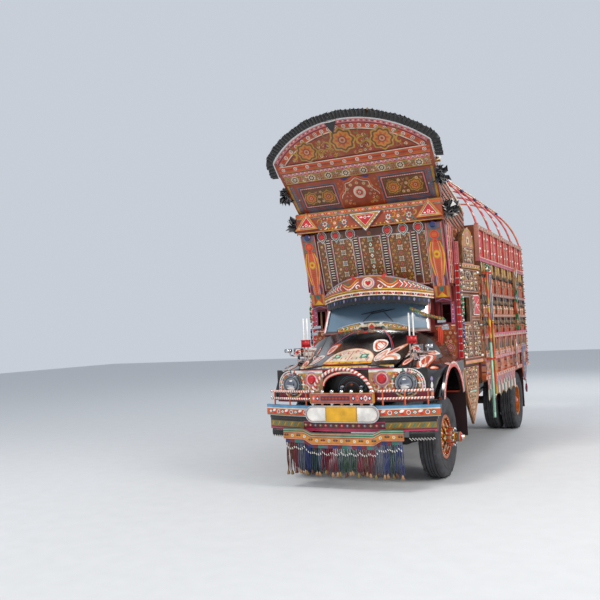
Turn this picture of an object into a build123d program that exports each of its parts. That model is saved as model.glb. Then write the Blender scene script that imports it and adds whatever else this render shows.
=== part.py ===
from build123d import *
from math import atan2, cos, degrees, radians, sin, sqrt, tan
import os

# Ornate two-axle bonneted cargo truck, millimetres.
# Origin: on the ground, at the middle of the length and width. +Z up, front towards -Y, left towards +X.

os.makedirs("parts", exist_ok=True)

# Overall
FRONT_OVERHANG = 1070.0
WHEELBASE = 4610.0
REAR_OVERHANG = 1090.0
OVERALL_LENGTH = FRONT_OVERHANG + WHEELBASE + REAR_OVERHANG
SEAT = 0.3
FRONT_AXLE_Y = FRONT_OVERHANG - OVERALL_LENGTH / 2
REAR_AXLE_Y = FRONT_AXLE_Y + WHEELBASE
TAIL_Y = OVERALL_LENGTH / 2

# Tyres and rims, 20 inch
TYRE_R = 510.0
TYRE_W = 260.0
RIM_R = 254.0
RIM_W = 200.0
RIM_T = 14.0
FRONT_TRACK_HALF = 883.0
TWIN_INNER_X = 718.0
TWIN_OUTER_X = 1018.0
SPINDLE_R = 40.0
RUN_GAP = 0.3
KINGPIN_X = 770.0
KINGPIN_R = 20.0
REAR_HUB_R = 55.0

# Frame
RAIL_HALF = 410.0
RAIL_FLANGE = 75.0
RAIL_T = 10.0
RAIL_LOW = 720.0
RAIL_TOP = 960.0
RAIL_FRONT = -840.0
RAIL_REAR = WHEELBASE + 690.0

# Nose, bonnet and fenders, lengths behind the front axle
NOSE_HALF = 1000.0
NOSE_EDGE_Y = -735.0
NOSE_MID_Y = -870.0
NOSE_T = 30.0
NOSE_LOW = 1030.0
NOSE_TOP = 1430.0
SHEET = 25.0
FENDER_HALF = 1120.0
FENDER_FRONT = -704.0
ARCH_Y = -50.0
ARCH_Z = 930.0
ARCH_R = 460.0
BONNET_GAP = 6.0
BONNET_PIN_Y = 153.0
BONNET_PIN_Z = 1935.0
BONNET_PIN_X = 100.0
COWL_Y = 150.0
LAMP_X = 750.0
LAMP_Z = 1250.0
LAMP_R = 105.0
MARKER_R = 45.0
MARKER_X = 460.0
MARKER_Z = 1310.0

# Bumper group
BUMPER_HALF = 1146.0
BUMPER_EDGE_Y = -783.0
BUMPER_MID_Y = -1020.0
BUMPER_T = 55.0
BUMPER_LOW = 900.0
BUMPER_TOP = 1000.0
SKIRT_T = 20.0

# Cab
CAB_REAR_Y = 1420.0
CAB_FLOOR = 1180.0
CAB_ROOF = 2440.0
CAB_WALL = 45.0
SIDE_FRONT_X = 1105.0
SIDE_FRONT_Y = 660.0
SIDE_REAR_X = 1210.0
BOARD_T = 55.0
CORNER_W = 40.0
DOOR_T = 50.0
DOOR_GAP = 6.0
DOOR_LOW = 1370.0
DOOR_TOP = 2340.0
DOOR_LENGTH = 700.0
DOOR_PIN_OUT = 10.0
DOOR_PIN_ZS = (1600.0, 2120.0)
SCREEN_LOW_Y = 300.0
SCREEN_LOW_Z = 1900.0
SCREEN_TOP_Y = 470.0
SCREEN_TOP_Z = 2380.0
SCREEN_HALF_LOW = 730.0
SCREEN_HALF_TOP = 670.0
FRAME_W = 50.0
FRAME_T = 40.0
GLASS_T = 6.0

# Crown: lower panel leans forward, upper box leans further
FOOT_Y = 555.0
FOOT_Z = 2240.0
LOWER_LEAN = 17.7
LOWER_T = 40.0
LOWER_TOP_Z = 3300.0
PILASTER_IN = 800.0
PILASTER_OUT = 1020.0
PILASTER_T = 30.0
UPPER_Y = 214.0
UPPER_Z = 3585.0
UPPER_LEAN = 43.5
UPPER_HALF_LOW = 1032.0
UPPER_HALF_TOP = 1105.0
ARCH_START = 887.0
ARCH_APEX = 1372.0
UPPER_T = 40.0
UPPER_DEPTH = 730.0
TRIM_W = 105.0

# Load body
BODY_HALF = 1170.0
BODY_FRONT = 1460.0
BODY_REAR = WHEELBASE + 810.0
FLOOR_LOW = 1060.0
FLOOR_TOP = 1150.0
WALL_T = 25.0
POST_DEPTH = 60.0
POST_OUT = BODY_HALF + POST_DEPTH
SIDE_LOW = 1100.0
SIDE_TOP = 3360.0
BAYS = 7
GATE_MARGIN = 126.0
GATE_HALF = BODY_HALF - GATE_MARGIN
GATE_T = 40.0
GATE_TOP = 2100.0
GATE_PIN_Y = BODY_REAR + 10.0
GATE_PIN_Z = 1155.0
GATE_PIN_XS = (-700.0, 0.0, 700.0)
HOOP_R = 16.0
HOOP_APEX = 4340.0
POLE_REACH = 70.0
POLE_X = POST_OUT + POLE_REACH
POLE_R = 18.0


SIDE_TURN = atan2(SIDE_REAR_X - SIDE_FRONT_X, BODY_FRONT - SIDE_FRONT_Y)


def y_of(behind):
    """Place along the truck, from a distance behind the front axle."""
    return FRONT_AXLE_Y + behind


def block(x0, x1, y0, y1, z0, z1, mode=Mode.ADD):
    """Add a box between two corners, its Y given behind the front axle."""
    middle = ((x0 + x1) / 2, y_of((y0 + y1) / 2), (z0 + z1) / 2)
    with Locations(middle):
        Box(x1 - x0, y1 - y0, z1 - z0, mode=mode)


def front_plane(behind):
    """Upright plane across the truck, drawn in X and Z, facing forward."""
    return Plane(origin=(0, y_of(behind), 0), x_dir=(1, 0, 0), z_dir=(0, -1, 0))


def side_plane(x):
    """Upright plane along the truck at x, drawn in Y behind the front axle and Z, facing +X."""
    return Plane(origin=(x, y_of(0), 0), x_dir=(0, 1, 0), z_dir=(1, 0, 0))


def plan_plane(z):
    """Level plane drawn in X and Y behind the front axle."""
    return Plane(origin=(0, y_of(0), z), x_dir=(1, 0, 0), z_dir=(0, 0, 1))


def leaning_plane(behind, z, lean):
    """Plane across the truck that leans forward by an angle; drawn in X and distance up the slope."""
    turn = radians(lean)
    return Plane(origin=(0, y_of(behind), z), x_dir=(1, 0, 0), z_dir=(0, -cos(turn), -sin(turn)))


def cab_side(side, depth=0.0):
    """Upright plane along a cab side, facing +X, at a depth below the boards' outer face."""
    along = Vector(side * sin(SIDE_TURN), cos(SIDE_TURN), 0)
    facing = Vector(cos(SIDE_TURN), -side * sin(SIDE_TURN), 0)
    corner = Vector(side * SIDE_FRONT_X, y_of(SIDE_FRONT_Y), 0)
    return Plane(origin=corner - facing * (side * depth), x_dir=along, z_dir=facing)


def cab_point(side, along, out):
    """X and Y of a place on a cab side, by its distance along the board and out from it."""
    x = SIDE_FRONT_X + along * sin(SIDE_TURN) + out * cos(SIDE_TURN)
    y = SIDE_FRONT_Y + along * cos(SIDE_TURN) - out * sin(SIDE_TURN)
    return side * x, y


def side_slab(side, along0, along1, z0, z1, inner, outer, mode=Mode.ADD):
    """Add a slab on a cab side between two depths below the boards' outer face."""
    with BuildSketch(cab_side(side, inner)) as face:
        with Locations(((along0 + along1) / 2, (z0 + z1) / 2)):
            Rectangle(along1 - along0, z1 - z0)
    extrude(face.sketch, amount=side * (inner - outer), mode=mode)


def arc_radius(half, rise):
    return (half * half + rise * rise) / (2 * rise)


def arc_at(x, half, edge_y, mid_y):
    """Y of a plan arc at x, from its half width, its ends and its middle."""
    radius = arc_radius(half, edge_y - mid_y)
    return mid_y + radius - sqrt(radius * radius - x * x)


def bow(half, edge_y, mid_y, depth, low, top):
    """Add a bar that follows a plan arc, of even depth."""
    with BuildSketch(plan_plane(low)) as plan:
        with BuildLine():
            ThreePointArc((-half, edge_y), (0, mid_y), (half, edge_y))
            Line((half, edge_y), (half, edge_y + depth))
            ThreePointArc((half, edge_y + depth), (0, mid_y + depth), (-half, edge_y + depth))
            Line((-half, edge_y + depth), (-half, edge_y))
        make_face()
    extrude(plan.sketch, amount=top - low)


def rod(start, end, radius, mode=Mode.ADD):
    """Add a round bar between two points, Y given behind the front axle."""
    tail = Vector(start[0], y_of(start[1]), start[2])
    head = Vector(end[0], y_of(end[1]), end[2])
    with BuildSketch(Plane(origin=tail, z_dir=head - tail)) as end_face:
        Circle(radius)
    extrude(end_face.sketch, amount=(head - tail).length, mode=mode)


def turned(x, axle_y, outline):
    """Add a body of revolution about a wheel's axis; outline points are X beyond x and radius."""
    centre = (x, axle_y, TYRE_R)
    with BuildSketch(Plane(origin=centre, x_dir=(1, 0, 0), z_dir=(0, -1, 0))) as profile:
        with BuildLine():
            Polyline(*outline, close=True)
        make_face()
    revolve(profile.sketch, axis=Axis(centre, (1, 0, 0)))


def write(builder, label):
    builder.part.label = label
    export_step(builder.part, f"parts/{label}.step")


SIDES = (("left", 1), ("right", -1))


# Ladder frame: two channel rails and their crossmembers
CROSS_YS = (-700.0, 1250.0, 2250.0, WHEELBASE - 1210.0, WHEELBASE, RAIL_REAR - 70.0)
CROSS_W = 80.0
BRACKET_LOW = 840.0
with BuildPart() as chassis_frame:
    for side in (1, -1):
        inner = side * (RAIL_HALF - RAIL_FLANGE)
        outer = side * RAIL_HALF
        web = side * (RAIL_HALF - RAIL_T)
        block(min(outer, inner), max(outer, inner), RAIL_FRONT, RAIL_REAR, RAIL_LOW, RAIL_LOW + RAIL_T)
        block(min(outer, inner), max(outer, inner), RAIL_FRONT, RAIL_REAR, RAIL_TOP - RAIL_T, RAIL_TOP)
        block(min(outer, web), max(outer, web), RAIL_FRONT, RAIL_REAR, RAIL_LOW, RAIL_TOP)
    for cross_y in CROSS_YS:
        block(-RAIL_HALF + RAIL_T, RAIL_HALF - RAIL_T, cross_y - CROSS_W / 2, cross_y + CROSS_W / 2,
              RAIL_TOP - RAIL_T - 130, RAIL_TOP - RAIL_T)
write(chassis_frame, "chassis_frame")


# Engine as one plain block with its mounting lugs
ENGINE_HALF = 270.0
with BuildPart() as engine_block:
    block(-ENGINE_HALF, ENGINE_HALF, -450, 450, 660, 1330)
    lug_end = RAIL_HALF - RAIL_T - SEAT
    block(-lug_end, lug_end, -100, 40, 800, 860)
write(engine_block, "engine_block")

with BuildPart() as radiator:
    block(-360, 360, -660, -590, RAIL_TOP + SEAT, 1340)
    block(-330, 330, -672, -660, RAIL_TOP + 40, 1300)
write(radiator, "radiator")


# Gearbox and propeller shaft
with BuildPart() as driveline:
    with BuildSketch(front_plane(450 + SEAT)):
        with Locations((0, 830)):
            RectangleRounded(360, 380, 60)
    with BuildSketch(front_plane(1050)):
        with Locations((0, 790)):
            RectangleRounded(220, 240, 60)
    loft()
    rod((0, 1040, 780), (0, 1120, 770), 70)
    rod((0, 1060, 775), (0, WHEELBASE - 330, 560), 40)
    rod((0, WHEELBASE - 400, 568), (0, WHEELBASE - 321.4, 557), 70)
write(driveline, "driveline")


# Front axle: dropped beam with king pin eyes
EYE_R = 48.0
EYE_LOW = 455.0
EYE_TOP = 565.0
SPRING_X = 372.5
FRONT_PAD_TOP = 530.0
with BuildPart() as front_axle:
    with BuildSketch(front_plane(45)):
        with BuildLine():
            Polyline((-KINGPIN_X, 545), (-KINGPIN_X, 475), (-560, 430), (-480, 400), (480, 400),
                     (560, 430), (KINGPIN_X, 475), (KINGPIN_X, 545), (560, 500), (480, 480),
                     (-480, 480), (-560, 500), close=True)
        make_face()
    extrude(amount=90)
    for side in (1, -1):
        rod((side * KINGPIN_X, 0, EYE_LOW), (side * KINGPIN_X, 0, EYE_TOP), EYE_R)
        block(side * SPRING_X - 40, side * SPRING_X + 40, -60, 60, 470, FRONT_PAD_TOP)
    for side in (1, -1):
        rod((side * KINGPIN_X, 0, EYE_LOW - 1), (side * KINGPIN_X, 0, EYE_TOP + 1), KINGPIN_R + RUN_GAP,
            mode=Mode.SUBTRACT)
write(front_axle, "front_axle")

# Steering knuckles: fork, king pin and spindle
SPINDLE_TIP = 985.0
for name, side in SIDES:
    with BuildPart() as knuckle:
        rod((side * KINGPIN_X, 0, EYE_LOW - 30), (side * KINGPIN_X, 0, EYE_TOP + 30), KINGPIN_R)
        for low in (EYE_LOW - 32, EYE_TOP + 2):
            rod((side * KINGPIN_X, 0, low), (side * KINGPIN_X, 0, low + 30), EYE_R)
            near, far = sorted((side * KINGPIN_X, side * (KINGPIN_X + 80)))
            block(near, far, -40, 40, low, low + 30)
        near, far = sorted((side * (KINGPIN_X + 52), side * (KINGPIN_X + 80)))
        block(near, far, -45, 45, EYE_LOW - 32, EYE_TOP + 32)
        rod((side * (KINGPIN_X + 70), 0, TYRE_R), (side * SPINDLE_TIP, 0, TYRE_R), SPINDLE_R)
    write(knuckle, f"knuckle_{name}")


# Rear axle: tube, differential bowl and spring pads
REAR_PAD_TOP = 600.0
with BuildPart() as rear_axle:
    rod((-600, WHEELBASE, TYRE_R), (600, WHEELBASE, TYRE_R), 70)
    rod((-1080, WHEELBASE, TYRE_R), (1080, WHEELBASE, TYRE_R), REAR_HUB_R)
    with Locations((0, REAR_AXLE_Y, TYRE_R)):
        Sphere(190)
    rod((0, WHEELBASE - 319, 548), (0, WHEELBASE - 150, 530), 85)
    for side in (1, -1):
        block(side * SPRING_X - 40, side * SPRING_X + 40, WHEELBASE - 70, WHEELBASE + 70, 520, REAR_PAD_TOP)
write(rear_axle, "rear_axle")


# Leaf springs: columns are axle distance, half span, middle height of the leaf pack, pack thickness
EYE_PIN_R = 26.0
SPRINGS = ((0.0, 600.0, FRONT_PAD_TOP, 50.0), (WHEELBASE, 680.0, REAR_PAD_TOP, 62.0))
with BuildPart() as leaf_springs:
    for axle, span, pad, pack in SPRINGS:
        eye_z = RAIL_LOW - SEAT - EYE_PIN_R
        for side in (1, -1):
            with BuildSketch(side_plane(side * SPRING_X - 38)):
                with BuildLine():
                    ThreePointArc((axle - span, eye_z), (axle, pad + SEAT), (axle + span, eye_z))
                    Line((axle + span, eye_z), (axle + span, eye_z + 12))
                    ThreePointArc((axle + span, eye_z + 12), (axle, pad + SEAT + pack),
                                  (axle - span, eye_z + 12))
                    Line((axle - span, eye_z + 12), (axle - span, eye_z))
                make_face()
            extrude(amount=76)
            for end in (axle - span, axle + span):
                rod((side * SPRING_X - 38, end, eye_z), (side * SPRING_X + 38, end, eye_z), EYE_PIN_R)
write(leaf_springs, "leaf_springs")

with BuildPart() as fuel_tank:
    with BuildSketch(side_plane(-960)):
        with Locations((2300, 800)):
            RectangleRounded(760, 360, 90)
    extrude(amount=960 - RAIL_HALF - SEAT)
write(fuel_tank, "fuel_tank")


# Tyres: a solid ring with a narrower bead, rounded shoulders
BEAD_W = 176.0
SHOULDER = 40.0


def tyre_ring(x, axle_y):
    half = TYRE_W / 2
    bead = BEAD_W / 2
    turned(x, axle_y, ((-bead, RIM_R), (-bead, RIM_R + 24), (-half + 8, RIM_R + 70), (-half, RIM_R + 120),
                       (-half + 6, TYRE_R - SHOULDER), (-half + 30, TYRE_R), (half - 30, TYRE_R),
                       (half - 6, TYRE_R - SHOULDER), (half, RIM_R + 120), (half - 8, RIM_R + 70),
                       (bead, RIM_R + 24), (bead, RIM_R)))


def rim_ring(x, axle_y):
    half = RIM_W / 2
    well = RIM_R - SEAT
    turned(x, axle_y, ((-half, well + 20), (-half + 6, well + 20), (-half + 9, well), (half - 9, well),
                       (half - 6, well + 20), (half, well + 20), (half, well - RIM_T),
                       (-half, well - RIM_T)))


HAND_HOLES = 8
HAND_HOLE_R = 28.0
HAND_HOLE_PCR = 178.0
STUDS = 10
STUD_PCR = 105.0
for name, side in SIDES:
    with BuildPart() as tyre_front:
        tyre_ring(side * FRONT_TRACK_HALF, FRONT_AXLE_Y)
    write(tyre_front, f"tyre_front_{name}")

    with BuildPart() as wheel_front:
        x = side * FRONT_TRACK_HALF
        rim_ring(x, FRONT_AXLE_Y)
        disc = ((side * 45, RIM_R - 8), (side * 60, RIM_R - 8), (side * 82, 205), (side * 100, 120),
                (side * 100, 60), (side * 84, 60), (side * 84, 118), (side * 66, 205))
        turned(x, FRONT_AXLE_Y, disc)
        hub = ((side * -25, SPINDLE_R + RUN_GAP), (side * -25, 85), (side * 90, 85), (side * 100, 100),
               (side * 120, 100), (side * 150, 72), (side * 235, 46), (side * 250, 60),
               (side * 290, 60), (side * 310, 30), (side * 335, 24), (side * 345, 8), (side * 345, 0),
               (side * 125, 0), (side * 125, SPINDLE_R + RUN_GAP))
        turned(x, FRONT_AXLE_Y, hub)
        face = Plane(origin=(x + side * 98, FRONT_AXLE_Y, TYRE_R), z_dir=(side, 0, 0))
        with BuildSketch(face):
            with PolarLocations(STUD_PCR, STUDS):
                Circle(12)
        extrude(amount=110)
        hole_plane = Plane(origin=(x, FRONT_AXLE_Y, TYRE_R), z_dir=(side, 0, 0))
        with BuildSketch(hole_plane):
            with PolarLocations(HAND_HOLE_PCR, HAND_HOLES):
                Circle(HAND_HOLE_R)
        extrude(amount=120, mode=Mode.SUBTRACT)
    write(wheel_front, f"wheel_front_{name}")

    with BuildPart() as tyres_rear:
        tyre_ring(side * TWIN_INNER_X, REAR_AXLE_Y)
        tyre_ring(side * TWIN_OUTER_X, REAR_AXLE_Y)
    write(tyres_rear, f"tyres_rear_{name}")

    with BuildPart() as wheels_rear:
        joint_x = side * (TWIN_INNER_X + TWIN_OUTER_X) / 2
        for twin_x in (TWIN_INNER_X, TWIN_OUTER_X):
            rim_ring(side * twin_x, REAR_AXLE_Y)
        half_gap = (TWIN_OUTER_X - TWIN_INNER_X) / 2
        for turn in (1, -1):
            bell = ((turn * (half_gap - 40), RIM_R - 8), (turn * (half_gap - 56), RIM_R - 8),
                    (turn * 22, 200), (0, 130), (0, 80), (turn * 16, 80), (turn * 16, 128),
                    (turn * 38, 200))
            turned(joint_x, REAR_AXLE_Y, bell)
        drum = ((side * -240, REAR_HUB_R + RUN_GAP), (side * -240, 150), (side * -120, 150),
                (side * -110, 100), (side * 30, 100), (side * 60, 120), (side * 140, 120),
                (side * 165, 80), (side * 225, 60), (side * 250, 30), (side * 262, 0),
                (side * 215, 0), (side * 215, REAR_HUB_R + RUN_GAP))
        turned(joint_x, REAR_AXLE_Y, drum)
        face = Plane(origin=(joint_x + side * 10, REAR_AXLE_Y, TYRE_R), z_dir=(side, 0, 0))
        with BuildSketch(face):
            with PolarLocations(STUD_PCR + 40, STUDS):
                Circle(12)
        extrude(amount=180)
    write(wheels_rear, f"wheels_rear_{name}")


# Bumper: painted blade over a lower bar, brackets back to the rails
LOWER_BAR_LOW = 830.0
with BuildPart() as bumper:
    bow(BUMPER_HALF, BUMPER_EDGE_Y, BUMPER_MID_Y, BUMPER_T, BUMPER_LOW, BUMPER_TOP)
    bow(BUMPER_HALF - 40, BUMPER_EDGE_Y + 5, BUMPER_MID_Y + 18, 40, LOWER_BAR_LOW, BUMPER_LOW + 5)
    for side in (1, -1):
        block(side * SPRING_X - 30, side * SPRING_X + 30, BUMPER_MID_Y + 60, RAIL_FRONT - SEAT,
              BRACKET_LOW, RAIL_TOP - 10)
write(bumper, "bumper")

PLATE_BACK = BUMPER_MID_Y - SEAT
with BuildPart() as plate_panel:
    with BuildSketch(front_plane(PLATE_BACK)):
        with Locations((0, 905)):
            SlotOverall(950, 205)
    extrude(amount=20)
    with BuildSketch(front_plane(PLATE_BACK)):
        with Locations((0, 905)):
            Rectangle(410, 200)
    extrude(amount=27)
write(plate_panel, "plate_panel")

# Band box with rows of domes and the wrapped arch over it
BAND_HALF = 410.0
BAND_LOW = 1034.0
BAND_TOP = 1155.0
BAND_FRONT = -1030.0
BAND_BACK = -970.0
DOMES = 7
with BuildPart() as band_box:
    block(-BAND_HALF, BAND_HALF, BAND_FRONT, BAND_BACK, BAND_LOW, BAND_TOP)
    dome_step = (2 * BAND_HALF - 60) / (DOMES - 1)
    for row_z in (BAND_TOP + 8, BAND_LOW - 4):
        with Locations(*[(-BAND_HALF + 30 + i * dome_step, y_of(-1002), row_z) for i in range(DOMES)]):
            Sphere(18)
    for side in (1, -1):
        rod((side * 360, -990, BUMPER_TOP + SEAT), (side * 360, -990, BAND_LOW + 5), 14)
    with BuildLine(front_plane(-1000)) as arch_line:
        ThreePointArc((-400, BAND_TOP - 10), (0, 1445), (400, BAND_TOP - 10))
    with BuildSketch(Plane(origin=arch_line.line @ 0, z_dir=arch_line.line % 0)):
        Circle(20)
    sweep(path=arch_line.line)
write(band_box, "band_box")

# Guard tubes, one pair each side, that follow the bumper
TUBE_R = 15.0
TUBE_ZS = (1080.0, 1170.0)
with BuildPart() as guard_tubes:
    mid_y = BUMPER_MID_Y + BUMPER_T / 2
    edge_y = BUMPER_EDGE_Y + BUMPER_T / 2
    for side in (1, -1):
        stops = [(side * x, arc_at(x, BUMPER_HALF, edge_y, mid_y)) for x in (450.0, 755.0, 1060.0)]
        for tube_z in TUBE_ZS:
            with BuildLine(plan_plane(tube_z)) as tube_line:
                ThreePointArc(*stops)
            with BuildSketch(Plane(origin=tube_line.line @ 0, z_dir=tube_line.line % 0)):
                Circle(TUBE_R)
            sweep(path=tube_line.line)
            for stop in (stops[0], stops[2]):
                with Locations((stop[0], y_of(stop[1]), tube_z)):
                    Sphere(TUBE_R + 5)
        for x in (500.0, 755.0, 1010.0):
            post_y = arc_at(x, BUMPER_HALF, edge_y, mid_y)
            rod((side * x, post_y, BUMPER_TOP + SEAT), (side * x, post_y, TUBE_ZS[1]), 10)
write(guard_tubes, "guard_tubes")

# Valances and the stepped skirt board in front of them
SKIRT_FRONT = -FRONT_OVERHANG
SKIRT_HALF = 775.0
STEP_OUT = 500.0
STEP_IN = 400.0
with BuildPart() as skirt_board:
    bow(BUMPER_HALF - 46, BUMPER_EDGE_Y + 5, BUMPER_MID_Y + 18, 15, 690, LOWER_BAR_LOW - SEAT)
    with BuildSketch(front_plane(SKIRT_FRONT + SKIRT_T)):
        with BuildLine():
            Polyline((-SKIRT_HALF, 607), (-STEP_OUT, 600), (-STEP_IN, 542), (STEP_IN, 542),
                     (STEP_OUT, 600), (SKIRT_HALF, 607), (SKIRT_HALF, 735), (STEP_OUT, 732),
                     (STEP_IN, 685), (-STEP_IN, 685), (-STEP_OUT, 732), (-SKIRT_HALF, 735), close=True)
        make_face()
    extrude(amount=SKIRT_T)
    for side in (1, -1):
        valance_y = arc_at(560.0, BUMPER_HALF - 46, BUMPER_EDGE_Y + 5, BUMPER_MID_Y + 18)
        block(side * 560 - 30, side * 560 + 30, SKIRT_FRONT + 10, valance_y + 8, 695, 730)
write(skirt_board, "skirt_board")

# Cloth and chain fringes under the skirt and along the load body
FRINGE_T = 24.0
with BuildPart() as fringes:
    with BuildSketch(front_plane(SKIRT_FRONT + 30)):
        with BuildLine():
            Polyline((-SKIRT_HALF + 20, 606), (-STEP_OUT, 599.5), (-STEP_IN, 541.5),
                     (STEP_IN, 541.5), (STEP_OUT, 599.5), (SKIRT_HALF - 20, 606),
                     (SKIRT_HALF - 20, 200), (-SKIRT_HALF + 20, 200), close=True)
        make_face()
    extrude(amount=FRINGE_T)
    for side in (1, -1):
        near, far = sorted((side * 1198, side * 1218))
        block(near, far, 1640, WHEELBASE - 650, 800, SIDE_LOW - SEAT)
write(fringes, "fringes")


# Nose panel: bowed plate with a mouth and two lamp holes
with BuildPart() as nose_panel:
    bow(NOSE_HALF, NOSE_EDGE_Y, NOSE_MID_Y, NOSE_T, NOSE_LOW, NOSE_TOP)
    for side in (1, -1):
        near, far = sorted((side * 962, side * 984))
        block(near, far, NOSE_EDGE_Y - 5, FENDER_FRONT - SEAT, NOSE_LOW + 30, NOSE_TOP - 120)
    with BuildSketch(front_plane(-600)):
        with Locations((-LAMP_X, LAMP_Z), (LAMP_X, LAMP_Z)):
            Circle(LAMP_R)
        with BuildLine():
            Line((-300, 1150), (300, 1150))
            Line((300, 1150), (300, 1230))
            ThreePointArc((300, 1230), (0, 1395), (-300, 1230))
            Line((-300, 1230), (-300, 1150))
        make_face()
    extrude(amount=400, mode=Mode.SUBTRACT)
write(nose_panel, "nose_panel")

LAMP_DEPTH = 80.0
LAMP_DOME = 24.0
LENS_R = 95.0
with BuildPart() as headlamps:
    lens_curve = arc_radius(LENS_R, LAMP_DOME)
    lens_mid = -LAMP_DOME - 24 + lens_curve - sqrt(lens_curve ** 2 - (LENS_R / 2) ** 2)
    lamp_y = arc_at(LAMP_X - LAMP_R - 20, NOSE_HALF, NOSE_EDGE_Y, NOSE_MID_Y) - 2
    for side in (1, -1):
        centre = (side * LAMP_X, y_of(lamp_y), LAMP_Z)
        with BuildSketch(Plane(origin=centre, x_dir=(1, 0, 0), z_dir=(0, 0, 1))):
            with BuildLine():
                Line((0, -LAMP_DOME - 24), (0, LAMP_DEPTH))
                Line((0, LAMP_DEPTH), (60, LAMP_DEPTH))
                Line((60, LAMP_DEPTH), (LAMP_R - SEAT, 40))
                Line((LAMP_R - SEAT, 40), (LAMP_R - SEAT, 0))
                Line((LAMP_R - SEAT, 0), (LAMP_R + 18, 0))
                Line((LAMP_R + 18, 0), (LAMP_R + 10, -24))
                Line((LAMP_R + 10, -24), (LENS_R, -24))
                ThreePointArc((LENS_R, -24), (LENS_R / 2, lens_mid), (0, -LAMP_DOME - 24))
            make_face()
        revolve(axis=Axis(centre, (0, 1, 0)))
write(headlamps, "headlamps")


# Fender sections: columns are Y, inner X, inner top Z, arc middle X and Z, shoulder X and Z, outer X and Z
FENDER_LOW = 1030.0
FENDER_TABLE = (
    (FENDER_FRONT, 606.0, 1436.0, 800.0, 1425.0, 900.0, 1398.0, 985.0, 1320.0),
    (-300.0, 626.0, 1580.0, 800.0, 1540.0, 930.0, 1472.0, FENDER_HALF, 1420.0),
    (COWL_Y, 656.0, 1825.0, 850.0, 1710.0, 950.0, 1510.0, FENDER_HALF, 1445.0),
)
CAB_FRONT_Y = FOOT_Y + LOWER_T * cos(radians(LOWER_LEAN)) + 2
FENDER_REAR = CAB_FRONT_Y - SEAT


def fender_face(row, side, inset, low):
    y, in_x, in_z, mid_x, mid_z, top_x, top_z, out_x, out_z = row
    in_x += inset
    in_z -= inset
    mid_x -= inset * 0.5
    mid_z -= inset
    top_x -= inset * 0.7
    top_z -= inset
    out_x -= inset
    out_z -= inset
    with BuildSketch(front_plane(y)) as sketch:
        with BuildLine():
            Line((side * in_x, low), (side * in_x, in_z))
            ThreePointArc((side * in_x, in_z), (side * mid_x, mid_z), (side * top_x, top_z))
            Line((side * top_x, top_z), (side * out_x, out_z))
            Line((side * out_x, out_z), (side * out_x, low))
            Line((side * out_x, low), (side * in_x, low))
        make_face()
    return sketch.sketch


def stretched(row, y):
    """The same section at another place along the truck."""
    return (y,) + row[1:]


with BuildPart() as fenders:
    for side in (1, -1):
        loft([fender_face(row, side, 0, FENDER_LOW) for row in FENDER_TABLE])
        extrude(fender_face(FENDER_TABLE[2], side, 0, FENDER_LOW), amount=-(FENDER_REAR - COWL_Y))
        inner_front = stretched(FENDER_TABLE[0], FENDER_FRONT + SHEET)
        inner_rows = (inner_front, FENDER_TABLE[1], FENDER_TABLE[2])
        loft([fender_face(row, side, SHEET, FENDER_LOW - 5) for row in inner_rows], mode=Mode.SUBTRACT)
        extrude(fender_face(FENDER_TABLE[2], side, SHEET, FENDER_LOW - 5),
                amount=-(FENDER_REAR - COWL_Y - SHEET), mode=Mode.SUBTRACT)
        flare_x = side * (FENDER_HALF - 12) - (0 if side > 0 else 30)
        with BuildSketch(side_plane(flare_x)):
            with Locations((ARCH_Y, ARCH_Z)):
                Circle(ARCH_R + 75)
            with Locations((ARCH_Y, FENDER_LOW - 400)):
                Rectangle(2000, 800, mode=Mode.SUBTRACT)
        extrude(amount=30)
        with BuildSketch(side_plane(side * FENDER_HALF - 200)):
            with Locations((ARCH_Y, ARCH_Z)):
                Circle(ARCH_R)
        extrude(amount=400, mode=Mode.SUBTRACT)
        rod((side * 815, -456, 1450), (side * 815, -456, 1600), 16)
        block(side * 815 - 55, side * 815 + 55, -490, -420, 1595, 1700)
write(fenders, "fenders")


# Bonnet sections: columns are Y, half width, edge height, crown height
BONNET_TABLE = (
    (-868.0, 598.0, 1438.0, 1505.0),
    (-300.0, 620.0, 1585.0, 1745.0),
    (COWL_Y, 650.0, 1830.0, 1925.0),
)


def bonnet_face(row, inset, drop):
    y, half, edge_z, crown_z = row
    with BuildSketch(front_plane(y)) as sketch:
        with BuildLine():
            ThreePointArc((-half + inset, edge_z - drop), (0, crown_z - inset), (half - inset, edge_z - drop))
            Line((half - inset, edge_z - drop), (-half + inset, edge_z - drop))
        make_face()
    return sketch.sketch


with BuildPart() as bonnet:
    loft([bonnet_face(row, 0, 0) for row in BONNET_TABLE])
    loft([bonnet_face(row, SHEET, 8) for row in BONNET_TABLE], mode=Mode.SUBTRACT)
    for x in (-BONNET_PIN_X, BONNET_PIN_X):
        rod((x + 2, BONNET_PIN_Y, BONNET_PIN_Z), (x + 52, BONNET_PIN_Y, BONNET_PIN_Z), 10)
        block(x + 2, x + 52, COWL_Y - 45, COWL_Y, 1912, BONNET_PIN_Z - 3)
        rod((x, BONNET_PIN_Y, BONNET_PIN_Z), (x + 54, BONNET_PIN_Y, BONNET_PIN_Z), 5 + RUN_GAP,
            mode=Mode.SUBTRACT)
write(bonnet, "bonnet")


# Cab shell with cowl and windscreen surround
COWL_TOP = BONNET_TABLE[2]
SCREEN_LEAN = -degrees(atan2(SCREEN_TOP_Y - SCREEN_LOW_Y, SCREEN_TOP_Z - SCREEN_LOW_Z))
SCREEN_HEIGHT = sqrt((SCREEN_TOP_Y - SCREEN_LOW_Y) ** 2 + (SCREEN_TOP_Z - SCREEN_LOW_Z) ** 2)
DOOR_START = CORNER_W + DOOR_GAP
DOOR_END = DOOR_START + DOOR_LENGTH
DOOR_PIN_AT = CORNER_W + DOOR_GAP / 2


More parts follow.
